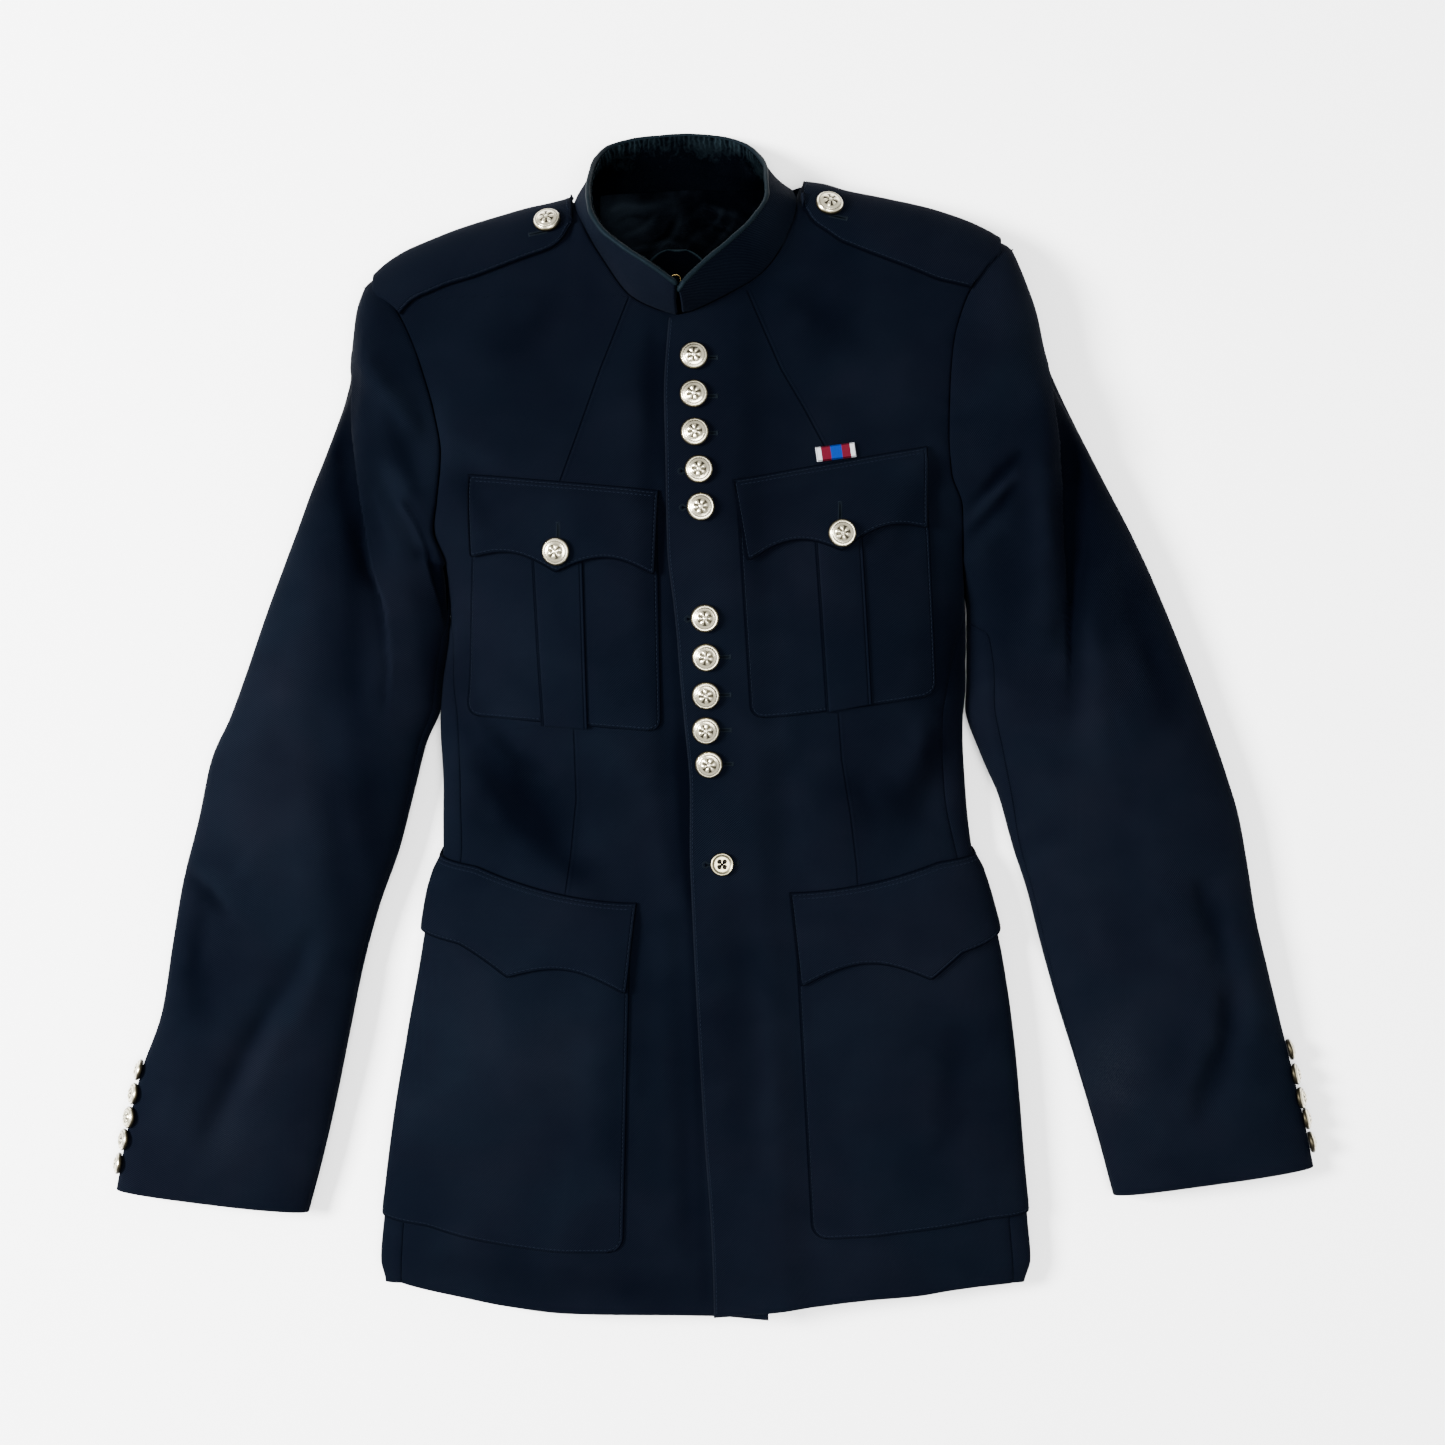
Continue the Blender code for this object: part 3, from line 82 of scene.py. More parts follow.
# How full the rounded edges are: 2 is an ellipse, more is boxier
CROWN = 2.4
SHOULDER_ROUND = 45.0
SHOULDER_EDGE = 16.0
UNDER_ROUND = 1.2
STEEPEST_SHOULDER = 0.7
LEFT = 1
RIGHT = -1
SIDE_NAME = {LEFT: "left", RIGHT: "right"}
UP = (0, 0, 1)
DOWN = (0, 0, -1)
# Higher than any piece, to look down from on to a surface
ABOVE_ALL = 140.0

# Sections across the body: where its sides are, how high it stands in the middle and at its side fold.
# Above the armholes the sides are where the crown would come down if there were no sleeves.
BODY_SECTIONS = (
    ("y", "right_x", "left_x", "loft", "side_z"),
    (-413, -236, 209, 25, 12),
    (-391, -236, 211, 27, 12),
    (-375, -239, 215, 29, 13),
    (-350, -237, 213, 31, 13),
    (-290, -230, 208, 33, 14),
    (-220, -219, 202, 35, 14),
    (-160, -208, 193, 36, 14),
    (-120, -202, 183, 36, 14),
    (-88, -195, 174, 37, 13),
    (-48, -195, 170, 42, 12),
    (0, -197, 168, 51, 12),
    (30, -194.8, 170, 57, 12),
    (57, -191, 170, 61, 12),
    (77, -190, 170, 63, 12),
    (107, -197, 175, 65, 12),
    (131, -218, 188, 66, 12),
    (152, -235, 203, 66, 12),
    (183, -250, 220, 65, 12),
    (211, -262, 232, 63, 12),
    (262, -272, 242, 58, 12),
    (335, -274, 248, 50, 12),
    (375, -274, 248, 46, 12),
)
# The top of the shoulders, seen from above
SHOULDER_LINE = (
    ("x", "y"),
    (-242, 308.8),
    (-231, 318.6),
    (-218, 326.5),
    (-202, 333.2),
    (-180, 341.6),
    (-155, 349.3),
    (-135, 355),
    (-116, 359.1),
    (-104, 363),
    (-88, 396),
    (-30, 410),
    (34, 406),
    (50, 374.5),
    (70, 371.5),
    (86, 367),
    (112, 362),
    (142, 355.6),
    (168, 347.2),
    (183, 340.4),
    (193, 334.6),
)
# Large folds of the body's upper side, each along a line: a ridge where the height is positive
BODY_FOLDS = (
    ("x1", "y1", "x2", "y2", "width", "height"),
    (-170, -18, -148, -38, 12, 4.0),
    (-148, -38, -118, -62, 14, 3.0),
    (-178, -42, -148, -78, 13, -3.5),
    (138, -16, 116, -54, 15, 3.0),
    (158, -20, 142, -60, 12, -3.0),
    (-60, -60, -56, -90, 20, -2.0),
    (40, -56, 44, -90, 20, -2.0),
)
# The hem of each front, from its edge to the side seam, and the back's
RIGHT_HEM = (
    ("x", "y"),
    (32, -415),
    (-6, -412),
    (-54, -411.5),
    (-108, -410.5),
    (-150, -405.5),
    (-182, -399.5),
    (-206, -395),
)
LEFT_HEM = (
    ("x", "y"),
    (-6, -412.5),
    (32, -409.5),
    (64, -405.7),
    (96, -401.6),
    (137, -398.6),
    (160, -395),
    (182, -392.5),
)
BACK_HEM_BEND = (60, -396)
# The seam down the middle of the back
BACK_SEAM = (
    ("x", "y"),
    (-16, 200),
    (-13, -100),
    (-12, -397),
)
# Front edges and the seams from armhole to hem, by height up the body
BODY_SEAMS = (
    ("y", "over_edge", "under_edge", "right_front", "left_front", "right_back", "left_back"),
    (-413, -6, 32, -224, 203, -128, 106),
    (-391, -6.4, 31, -224, 203, -127, 105),
    (-350, -8, 28, -222, 200, -124, 101),
    (-290, -12.4, 24, -216, 195, -121, 97),
    (-220, -16.6, 20, -205, 189, -119, 95),
    (-160, -19.6, 17, -194, 180, -118, 93),
    (-120, -21.4, 15, -187, 171, -118, 92),
    (-88, -22.6, 13, -181, 162, -119, 93),
    (-48, -22.4, 12, -182, 154, -125, 98),
    (0, -26.2, 9, -183, 152, -138, 112),
    (30, -29, 6, -186, 157, -152, 128),
    (57, -31, 4, -187, 163, -167, 145),
    (77, -33, 2, -189.6, 169.2, -182, 160),
    (117, -37.5, -1, 0, 0, 0, 0),
    (190, -38.9, -2, 0, 0, 0, 0),
    (224, -39.7, -2, 0, 0, 0, 0),
    (276, -36.4, -1, 0, 0, 0, 0),
)
SEAM_STATIONS = (77, 57, 30, 0, -28, -58, -88, -120, -160, -220, -290, -350, -391)
# Sleeves: each row crosses one sleeve from its inner side to its outer side.
# The first HEAD_ROWS start at the armhole. A row gives its height, the height's place across,
# the heights of both side folds and the front seam's place.
HEAD_ROWS = 9
SLEEVE_COLUMNS = (
    "inner_x", "inner_y", "outer_x", "outer_y", "loft", "peak", "inner_z", "outer_z", "seam",
)
RIGHT_SLEEVE = (
    SLEEVE_COLUMNS,
    (-241.6, 308.8, -248.6, 303.2, 17, 0.3, 16, 16, 0),
    (-226, 287, -254.5, 284, 40, 0.3, 16, 14, 0),
    (-213, 262, -257.5, 262, 46, 0.25, 16, 13, 0),
    (-203.6, 236, -259.5, 243, 50, 0.2, 16, 12, 0),
    (-196.5, 211, -264, 224, 52, 0.18, 16, 12, 0),
    (-192, 183, -270, 206, 53, 0.16, 16, 12, 0),
    (-195, 152, -278, 184, 50, 0.18, 16, 12, 0),
    (-198, 131, -286.5, 162, 46, 0.2, 15, 12, 0),
    (-191, 107, -296, 136, 42, 0.3, 14, 12, 0),
    (-190.4, 77, -307, 107, 40, 0.4, 13, 12, 0),
    (-191.4, 57, -314.5, 87, 38, 0.44, 13, 12, 0.1),
    (-195.3, 30, -324.5, 58, 37, 0.46, 12, 12, 0.11),
    (-196.9, 10, -333, 33, 36, 0.47, 12, 12, 0.11),
    (-206.5, -14, -343.5, 4, 35, 0.48, 12, 12, 0.1),
    (-215.3, -48, -357, -26, 34, 0.49, 12, 12, 0.08),
    (-225.1, -86.5, -366, -68, 33, 0.5, 12, 12, 0.06),
    (-239.9, -128.5, -377, -112, 32, 0.5, 12, 12, 0.045),
    (-251.1, -170.5, -384.3, -156, 31, 0.5, 12, 12, 0.035),
    (-260.9, -218.8, -392, -202, 30, 0.5, 12, 11, 0.03),
    (-270.7, -267.2, -407, -245, 28, 0.5, 11, 10, 0.03),
    (-279.8, -306.4, -417, -288, 26, 0.5, 11, 10, 0.03),
    (-289.5, -343, -424.5, -327, 24, 0.5, 10, 9, 0.03),
)
LEFT_SLEEVE = (
    SLEEVE_COLUMNS,
    (192.7, 334.6, 201.1, 329.7, 17, 0.3, 16, 16, 0),
    (178, 311, 211, 306, 41, 0.3, 16, 14, 0),
    (165, 286, 219, 284, 47, 0.25, 16, 13, 0),
    (157.5, 258, 226, 254, 51, 0.2, 16, 12, 0),
    (154.8, 226.5, 235, 232, 53, 0.18, 16, 12, 0),
    (154.1, 197.8, 245, 211, 53, 0.16, 16, 12, 0),
    (156, 170, 256, 189, 50, 0.18, 16, 12, 0),
    (164, 147, 268, 165, 46, 0.2, 15, 12, 0),
    (165.7, 112, 285, 132, 43, 0.3, 14, 12, 0),
    (170.4, 77, 299, 103, 41, 0.4, 13, 12, 0),
    (170.4, 57, 308.5, 81, 39, 0.44, 13, 12, 0.2),
    (170.4, 30, 319, 55, 38, 0.46, 12, 12, 0.22),
    (169.6, 10, 327.5, 33, 37, 0.47, 12, 12, 0.22),
    (180.3, -22, 341, -4, 36, 0.48, 12, 12, 0.19),
    (192.9, -51.5, 351, -33, 35, 0.49, 12, 12, 0.14),
    (202.7, -86.5, 360.5, -65, 34, 0.5, 12, 12, 0.1),
    (212.5, -116, 366.5, -98, 33, 0.5, 12, 12, 0.085),
    (222.3, -154.4, 372.5, -136, 32, 0.5, 12, 12, 0.08),
    (232.1, -190.1, 382, -176, 31, 0.5, 12, 11, 0.06),
    (247, -238, 394.5, -226, 29, 0.5, 11, 10, 0.035),
    (263, -292, 406.5, -276, 26, 0.5, 11, 10, 0.03),
    (273.5, -331, 414, -311, 24, 0.5, 10, 9, 0.03),
)
# Large folds of the sleeves' upper side: the front of each sleeve head drops in a step to its back half
SLEEVE_FOLDS = (
    ("x1", "y1", "x2", "y2", "width", "height"),
    (-252, 252, -216, 202, 12, 4.0),
    (-262, 232, -262, 188, 9, -7.0),
    (-262, 188, -240, 108, 10, -6.0),
    (-246, 214, -246, 150, 10, 3.0),
    (-228, 160, -206, 118, 9, -3.0),
    (-384, -150, -352, -176, 16, -4.0),
    (-322, -212, -354, -286, 12, -3.0),
    (236, 236, 241, 176, 9, -7.0),
    (241, 176, 238, 60, 11, -6.0),
    (222, 226, 222, 120, 12, 3.0),
    (338, -120, 356, -190, 14, -4.0),
    (360, -198, 340, -258, 13, -3.0),
)
# The collar: its seam round the neck and its top edge, from the wearer's right front round the back to the left
COLLAR_ROWS = (
    ("seam_x", "seam_y", "top_x", "top_y", "top_z"),
    (-32.0, 276.6, -32.4, 292.8, 86),
    (-42.6, 279.9, -47.5, 303.5, 88),
    (-61.8, 289.4, -67.0, 317.0, 85),
    (-80.7, 314.4, -83.0, 331.0, 80),
    (-93.7, 336.6, -90.4, 347.0, 72),
    (-102.7, 358.4, -91.5, 364.0, 60),
    (-93, 369.2, -90.1, 382.0, 43),
    (-79.2, 370.4, -82.0, 399.5, 24),
    (-58.1, 371.4, -57.8, 409.8, 11),
    (-22.9, 373.5, -22.8, 413.0, 8),
    (8.8, 372.8, 8.8, 408.4, 11),
    (29.9, 374.0, 23.9, 396.8, 24),
    (45.9, 374.6, 29.8, 380.0, 43),
    (51.1, 356.0, 29.6, 359.0, 60),
    (43.1, 329.5, 20.6, 340.0, 72),
    (27.1, 306.0, 5.7, 323.5, 80),
    (3.8, 290.6, -11.7, 307.5, 85),
    (-22.1, 278.2, -25.0, 293.0, 88),
    (-26.0, 277.6, -28.4, 288.5, 86),
)
# Rows of the collar table where the shoulder seams meet it
NECK_POINT_RIGHT = 5
NECK_POINT_LEFT = 13
COLLAR_BACK = 9
COLLAR_MIDDLE = (-25.0, 335.0, 45.0)
# Where the fronts' neck edges start, before they meet the collar
NECK_START = {RIGHT: ((-1.5, 277.0), (-22, 275.5)), LEFT: ((-36.4, 274.8),)}
SHOULDER_START = {RIGHT: -104.0, LEFT: 50.0}
# Flaps: corners, the point of the scallop, how far its two arches rise and how far the top edge sags.
# Wrap is how many degrees the outer end goes on past the side fold.
FLAPS = (
    (
        "name", "side", "top_in", "top_out", "bottom_in", "bottom_out", "point",
        "arch_in", "arch_out", "sag", "wrap",
    ),
    (
        "breast_flap_right", RIGHT, (-42.8, 156.7), (-172.9, 168.8), (-45.5, 98.6), (-170.5, 113.5),
        (-112.2, 101.4), 11, 8, 0, 0,
    ),
    (
        "breast_flap_left", LEFT, (6.4, 163.4), (138.5, 187.5), (15.2, 107.5), (138.3, 132),
        (79.9, 115.6), 11, 9, 0, 0,
    ),
    (
        "hip_flap_right", RIGHT, (-58.7, -123.9), (-195, -87), (-66, -187.5), (-208, -141),
        (-148.4, -175.8), 11, 3, 9, 18,
    ),
    (
        "hip_flap_left", LEFT, (45.6, -116.8), (172, -86.5), (53, -182.5), (190, -138),
        (143.6, -177.8), 14, 0, 7, 18,
    ),
)
# Patch pockets: corners, how far the bottom sags and the wrap round the side
POCKETS = (
    ("name", "side", "top_in", "top_out", "bottom_in", "bottom_out", "sag", "wrap"),
    (
        "breast_pocket_right", RIGHT, (-44, 138), (-169.5, 150), (-41.5, -6.5), (-175, 5), 0, 0,
    ),
    (
        "breast_pocket_left", LEFT, (9.5, 145), (138.6, 168), (18.8, 2.5), (147, 19), 1.5, 0,
    ),
    (
        "hip_pocket_right", RIGHT, (-63, -142), (-203, -108), (-68.5, -366), (-236, -339), 9, 40,
    ),
    (
        "hip_pocket_left", LEFT, (49.5, -138), (180, -108), (61.5, -357), (211, -339), 4, 40,
    ),
)
# Box pleats down the breast pockets: the two sides at the flap and at the bottom
PLEATS = (
    ("name", "side", "top_in", "top_out", "bottom_in", "bottom_out"),
    ("breast_pleat_right", RIGHT, (-94.4, 124), (-129.8, 125), (-91.4, -4.2), (-123.3, -2)),
    ("breast_pleat_left", LEFT, (60.6, 138), (93.4, 139), (70, 7.4), (101.7, 12.8)),
)
# Shoulder straps: along the shoulder from the button end to the armhole, and how far down the front they reach
STRAPS = (
    ("side", "x", "reach"),
    (RIGHT, -103.8, 16),
    (RIGHT, -106.5, 26),
    (RIGHT, -112, 33),
    (RIGHT, -125, 37),
    (RIGHT, -146, 38.5),
    (RIGHT, -170, 40),
    (RIGHT, -192, 38),
    (RIGHT, -208, 38),
    (RIGHT, -220, 41),
    (LEFT, 55.5, 14),
    (LEFT, 58, 27),
    (LEFT, 64, 34),
    (LEFT, 78, 39),
    (LEFT, 98, 44),
    (LEFT, 122, 48),
    (LEFT, 144, 51),
    (LEFT, 158, 49),
    (LEFT, 168, 47),
)
STRAP_WRAP = 55
FRONT_BUTTONS = (
    ("x", "y"),
    (-19.3, 247.4),
    (-19.3, 221.3),
    (-18.6, 195.4),
    (-15.8, 170.2),
    (-14.5, 145.0),
    (-11.8, 70.3),
    (-11.1, 44.1),
    (-11.2, 18.6),
    (-11.2, -5.1),
    (-9.2, -28.3),
)
FLAT_BUTTON_PLACE = (-0.3, -97.2)
BREAST_BUTTONS = ((RIGHT, -111.9, 115.3), (LEFT, 80.3, 127.4))
STRAP_BUTTONS = ((RIGHT, -119.6, 342.5), (LEFT, 72.9, 354.0))
CUFF_BUTTON_ROWS = (
    (RIGHT, (0.965, 0.945, 0.930, 0.945, 0.965), (-243, -259, -275, -291, -308)),
    (LEFT, (0.985, 0.960, 0.955, 0.970, 0.985), (-229, -245, -261, -277, -293)),
)
TAB = {
    "front": (-31.0, 290.1, 71.0), "half_width": 21.0, "length": 28.3, "side_set_back": 11.4,
    "drop": 6.0, "thick": 1.6,
}
HOOK = {"middle": (-31.5, 297.0, 73.0), "radius": 3.4, "wire": 0.65}
RIBBON = {"middle": (76.4, 182.4), "size": (26.8, 10.1, 1.6), "tilt": 8.0}


def columns(table):
    """A table as one array for each named column."""
    return {name: np.array([row[i] for row in table[1:]], float) for i, name in enumerate(table[0])}


def smooth(knots, values, at):
    """A smooth curve through the values that doesn't overshoot between two knots."""
    knots, values = np.asarray(knots, float), np.asarray(values, float)
    at = np.clip(np.asarray(at, float), knots[0], knots[-1])
    width = np.diff(knots)
    rise = np.diff(values) / width
    slope = np.zeros(len(knots))
    same_way = rise[:-1] * rise[1:] > 0
    total = rise[:-1] + rise[1:]
    slope[1:-1] = np.where(same_way, 2 * rise[:-1] * rise[1:] / np.where(total == 0, 1, total), 0)
    slope[0], slope[-1] = rise[0], rise[-1]
    i = np.clip(np.searchsorted(knots, at, side="right") - 1, 0, len(width) - 1)
    t = (at - knots[i]) / width[i]
    start, end = values[i], values[i + 1]
    return (
        start * (1 + 2 * t) * (1 - t) ** 2
        + slope[i] * width[i] * t * (1 - t) ** 2
        + end * t * t * (3 - 2 * t)
        - slope[i + 1] * width[i] * t * t * (1 - t)
    )


def unit(vectors):
    """Vectors brought to a length of one."""
    return vectors / np.maximum(np.linalg.norm(vectors, axis=-1, keepdims=True), 1e-9)


def bell(distance, width):
    """1 at no distance, falling off smoothly over the width."""
    return np.exp(-((distance / width) ** 2))


def faded(along, margin, power):
    """1 in the middle of a line, falling off towards both its ends."""
    return np.sin(np.pi * np.clip(margin + (1 - 2 * margin) * along, 0, 1)) ** power


def eased(t):
    t = np.clip(t, 0, 1)
    return t * t * (3 - 2 * t)


def crown(t):
    """The height of a rounded edge, from 0 at its foot (t = 0) to 1 where it is level (t = 1)."""
    return (1 - (1 - np.clip(t, 0, 1)) ** CROWN) ** (1 / CROWN)


def curl(t):
    """The height of a fold's lower side, from 1 at its edge (t = 0) to 0 where it lies flat (t = 1)."""
    return 1 - np.sqrt(1 - (1 - np.clip(t, 0, 1)) ** 2)


BODY = columns(BODY_SECTIONS)
SHOULDER = columns(SHOULDER_LINE)
SEAMS = columns(BODY_SEAMS)
COLLAR = columns(COLLAR_ROWS)
SLEEVE = {LEFT: columns(LEFT_SLEEVE), RIGHT: columns(RIGHT_SLEEVE)}
FOLDS = {"body": columns(BODY_FOLDS), "sleeve": columns(SLEEVE_FOLDS)}


def folds(kind, x, y):
    """The height that the large folds add at a place, seen from above."""
    table = FOLDS[kind]
    total = np.zeros(np.broadcast(x, y).shape)
    for x1, y1, x2, y2, width, height in zip(*table.values()):
        length2 = (x2 - x1) ** 2 + (y2 - y1) ** 2
        along = np.clip(((x - x1) * (x2 - x1) + (y - y1) * (y2 - y1)) / length2, 0, 1)
        away2 = (x - x1 - along * (x2 - x1)) ** 2 + (y - y1 - along * (y2 - y1)) ** 2
        total = total + height * np.exp(-away2 / width**2)
    return total


def section(y):
    """The body's middle, half width, loft and side fold height at y."""
    right, left, loft, side = (
        smooth(BODY["y"], BODY[name], y) for name in ("right_x", "left_x", "loft", "side_z")
    )
    return (left + right) / 2, (left - right) / 2, loft, side


def seam_x(name, y):
    return smooth(SEAMS["y"], SEAMS[name], y)


def shoulder_slope(x):
    """The slope of the shoulder line, held to what the shoulders have beside the neck."""
    x = np.asarray(x, float)
    rise = smooth(SHOULDER["x"], SHOULDER["y"], x + 2) - smooth(SHOULDER["x"], SHOULDER["y"], x - 2)
    return np.clip(rise / 4, -STEEPEST_SHOULDER, STEEPEST_SHOULDER)


def shoulder_depth(x, y):
    """How far inside the shoulder line a place is, square to the line."""
    return (smooth(SHOULDER["x"], SHOULDER["y"], x) - y) / np.sqrt(1 + shoulder_slope(x) ** 2)


def body_top(x, y):
    """The height of the body's upper side."""
    middle, half, loft, side = section(y)
    level = crown(1 - np.abs(x - middle) / half)
    height = side + (loft - side) * level + folds("body", x, y) * np.minimum(1, 1.5 * level)
    drop = crown(shoulder_depth(x, y) / SHOULDER_ROUND)
    return SHOULDER_EDGE + (height - SHOULDER_EDGE) * drop


def body_under(x, y):
    """The height of the underside: flat on the floor, curling up to the shoulder line."""
    return SHOULDER_EDGE * curl(shoulder_depth(x, y) / (SHOULDER_EDGE * UNDER_ROUND))


def over_lift(x, y):
    """How far the front that lies on top is lifted by the one beneath it."""
    return (WALL + LAP_GAP) * (1 - eased((x - seam_x("under_edge", y) - LAP_REST) / 24))


def front_height(side):
    def height(x, y):
        lift = over_lift(x, y) if side == LEFT else 0
        return body_top(x, y) + lift

    return height


def height_normal(height, x, y, step=0.4):
    """Unit vectors square to a surface given by its height."""
    across = (height(x + step, y) - height(x - step, y)) / (2 * step)
    along = (height(x, y + step) - height(x, y - step)) / (2 * step)
    return unit(np.stack([-across, -along, np.ones_like(across)], axis=-1))


def raised(x, y, height):
    return np.stack([x, y, height(x, y)], axis=-1)


def ring_point(side, y, angle):
    """A point round the body's side at y: 0 is the top's middle, 90 the side fold, past 180 flat on the floor."""
    y, angle = np.broadcast_arrays(np.asarray(y, float), np.asarray(angle, float))
    middle, half, loft, edge = section(y)
    top = np.radians(np.clip(angle, 0, 90))
    under = np.radians(np.clip(angle - 90, 0, 90))
    flat = np.clip(angle - 180, 0, None)
    width = half * np.abs(np.sin(top)) ** (2 / CROWN)
    level = np.abs(np.cos(top)) ** (2 / CROWN)
    width = width - edge * UNDER_ROUND * (1 - np.cos(under)) - flat
    x = middle + side * width
    over = edge + (loft - edge) * level + folds("body", x, y) * np.minimum(1, 1.5 * level)
    if side == LEFT:
        over = over + over_lift(x, y) * (angle < 90)
    z = np.where(angle <= 90, over, edge * (1 - np.sin(under)))
    return np.stack([x, y, z], axis=-1)


def ring_angle(side, x, y):
    """The ring angle of a place on the top, or 90 past the side fold."""
    middle, half, _, _ = section(y)
    across = np.clip(side * (x - middle) / half, 0, 1)
    return np.degrees(np.arcsin(across ** (CROWN / 2)))


def ring_normal(side, y, angle):
    """Unit vectors square to the body's side, pointing outwards."""
    down = ring_point(side, y - 0.5, angle) - ring_point(side, y + 0.5, angle)
    around = ring_point(side, y, angle + 0.6) - ring_point(side, y, angle - 0.6)
    return unit(np.cross(down, around) * side)


def sleeve_point(side, row, ring):
    """A point round a sleeve: ring 0 to 1 crosses the top from the inner side out, 1 to 2 comes back beneath."""
    table = SLEEVE[side]
    row, ring = np.broadcast_arrays(np.asarray(row, float), np.asarray(ring, float))
    count = np.arange(len(table["loft"]))
    value = {name: smooth(count, table[name], row) for name in SLEEVE_COLUMNS}
    opened = np.clip(HEAD_ROWS - row, 0, 1)
    ring = np.where(ring > 2, ring - 2, ring)
    share = np.where(ring > 1, 2 - ring, ring)
    closed_across = (1 - np.cos(np.pi * share)) / 2
    across = opened * np.sin(np.pi * share / 2) + (1 - opened) * closed_across
    x = value["inner_x"] + (value["outer_x"] - value["inner_x"]) * across
    y = value["inner_y"] + (value["outer_y"] - value["inner_y"]) * across
    width = np.hypot(value["outer_x"] - value["inner_x"], value["outer_y"] - value["inner_y"])
    joined = front_height(side)(value["inner_x"], value["inner_y"])
    inner_top = opened * joined + (1 - opened) * value["inner_z"]
    loft = np.maximum(value["loft"], inner_top + 1)
    rising = inner_top + (loft - inner_top) * crown(across / value["peak"])
    falling = value["outer_z"] + (loft - value["outer_z"]) * crown((1 - across) / (1 - value["peak"]))
    top = np.where(across < value["peak"], rising, falling)
    flatness = np.minimum(1, 4 * (1 - across)) * np.minimum(1, 4 * across + 0.3 * opened)
    top = top + folds("sleeve", x, y) * flatness * eased(row / 2)
    inner_under = opened * body_under(value["inner_x"], value["inner_y"]) + (1 - opened) * value["inner_z"]
    under = value["outer_z"] * curl((1 - across) * width / (value["outer_z"] * UNDER_ROUND))
    under = under + inner_under * curl(across * width / (12 * UNDER_ROUND))
    return np.stack([x, y, np.where(ring > 1, under, top)], axis=-1)


def sleeve_normal(side, row, ring):
    last = len(SLEEVE[side]["loft"]) - 1
    above = sleeve_point(side, np.clip(row - 0.05, 0, last), ring)
    below = sleeve_point(side, np.clip(row + 0.05, 0, last), ring)
    before = sleeve_point(side, row, np.maximum(ring - 0.004, 0))
    after = sleeve_point(side, row, ring + 0.004)
    return unit(np.cross(below - above, after - before) * side)


def run_along(line):
    """How far along a polyline each of its points is."""
    return np.concatenate([[0], np.cumsum(np.linalg.norm(np.diff(line, axis=0), axis=1))])


def spread(line, shares):
    """Points on a polyline at these shares of its length."""
    line = np.asarray(line, float)
    run = run_along(line)
    return np.stack([np.interp(shares, run / run[-1], line[:, k]) for k in range(line.shape[1])], axis=1)


def lengths(line):
    """The share of a polyline's length at each of its points."""
    run = run_along(line)
    return run / run[-1]


def coons(top, bottom, start, end):
    """A grid of places between four edges, each given as points from the same corners."""
    u = lengths(top)[None, :, None]
    v = lengths(end)[:, None, None]
    between_ends = (1 - v) * top[None] + v * bottom[None]
    between_sides = (1 - u) * start[:, None] + u * end[:, None]
    corners = (1 - u) * ((1 - v) * top[0] + v * bottom[0]) + u * ((1 - v) * top[-1] + v * bottom[-1])
    return between_ends + between_sides - corners


def relaxed(plan, rounds=260):
    """A grid with its lines evened out, so that none cross beside a sharp corner."""
    plan = plan.copy()
    for _ in range(rounds):
        across = (plan[1:-1, 2:] - plan[1:-1, :-2]) / 2
        down = (plan[2:, 1:-1] - plan[:-2, 1:-1]) / 2
        twist = (plan[2:, 2:] - plan[2:, :-2] - plan[:-2, 2:] + plan[:-2, :-2]) / 4
        a = (down**2).sum(axis=-1, keepdims=True)
        b = (across * down).sum(axis=-1, keepdims=True)
        c = (across**2).sum(axis=-1, keepdims=True)
        beside, along = plan[1:-1, 2:] + plan[1:-1, :-2], plan[2:, 1:-1] + plan[:-2, 1:-1]
        even_place = (a * beside + c * along - 2 * b * twist) / (2 * np.maximum(a + c, 1e-9))
        plan[1:-1, 1:-1] += 0.9 * (even_place - plan[1:-1, 1:-1])
    return plan


def flap_bottom(bottom_in, bottom_out, point, arch_in, arch_out):
    """The lower edge of a flap: an arch each side of its point."""
    tip = (point[0] - bottom_in[0]) / (bottom_out[0] - bottom_in[0])

    def line(u):
        x = bottom_in[0] + (bottom_out[0] - bottom_in[0]) * u
        y = np.interp(u, (0, tip, 1), (bottom_in[1], point[1], bottom_out[1]))
        inner = np.sin(np.pi * np.clip(u / tip, 0, 1)) * arch_in
        outer = np.sin(np.pi * np.clip((u - tip) / (1 - tip), 0, 1)) * arch_out
        return np.stack([x, y + inner + outer], axis=1)

    return line


def straight_bottom(bottom_in, bottom_out, sag):
    def line(u):
        x = bottom_in[0] + (bottom_out[0] - bottom_in[0]) * u
        y = bottom_in[1] + (bottom_out[1] - bottom_in[1]) * u - sag * 4 * u * (1 - u)
        return np.stack([x, y], axis=1)

    return line


PHOTO_MM = 0.705
PHOTO_MIDDLE = 722.5
CAMERA_HEIGHT = 1.5

# Thickness of each shell and how wide its rounded edge is: a seam's is narrow, a free edge's is full
CLOTH = 2.0
BACK_CLOTH = 1.9
SEAM_EDGE = 0.35
FREE_EDGE = 1.0
PATCH_EDGE = 0.8
SMALL_EDGE = 0.7
THIN_EDGE = 0.4
STITCH_INSET = 2.2
STITCH_PITCH = 2.9
STITCH_LENGTH = 2.1
STITCH_RADIUS = 0.27
# A buttonhole's thread, the painted shade of its eyelet and slit, and how far apart its threads start
HOLE_THREAD = 0.26
HOLE_EYE = 1.3
HOLE_SLIT = 0.42
HOLE_PITCH = 0.62
# A distance from an edge that its rim's wear, painted highlight and painted shade don't reach
FAR_OFF = 20.0

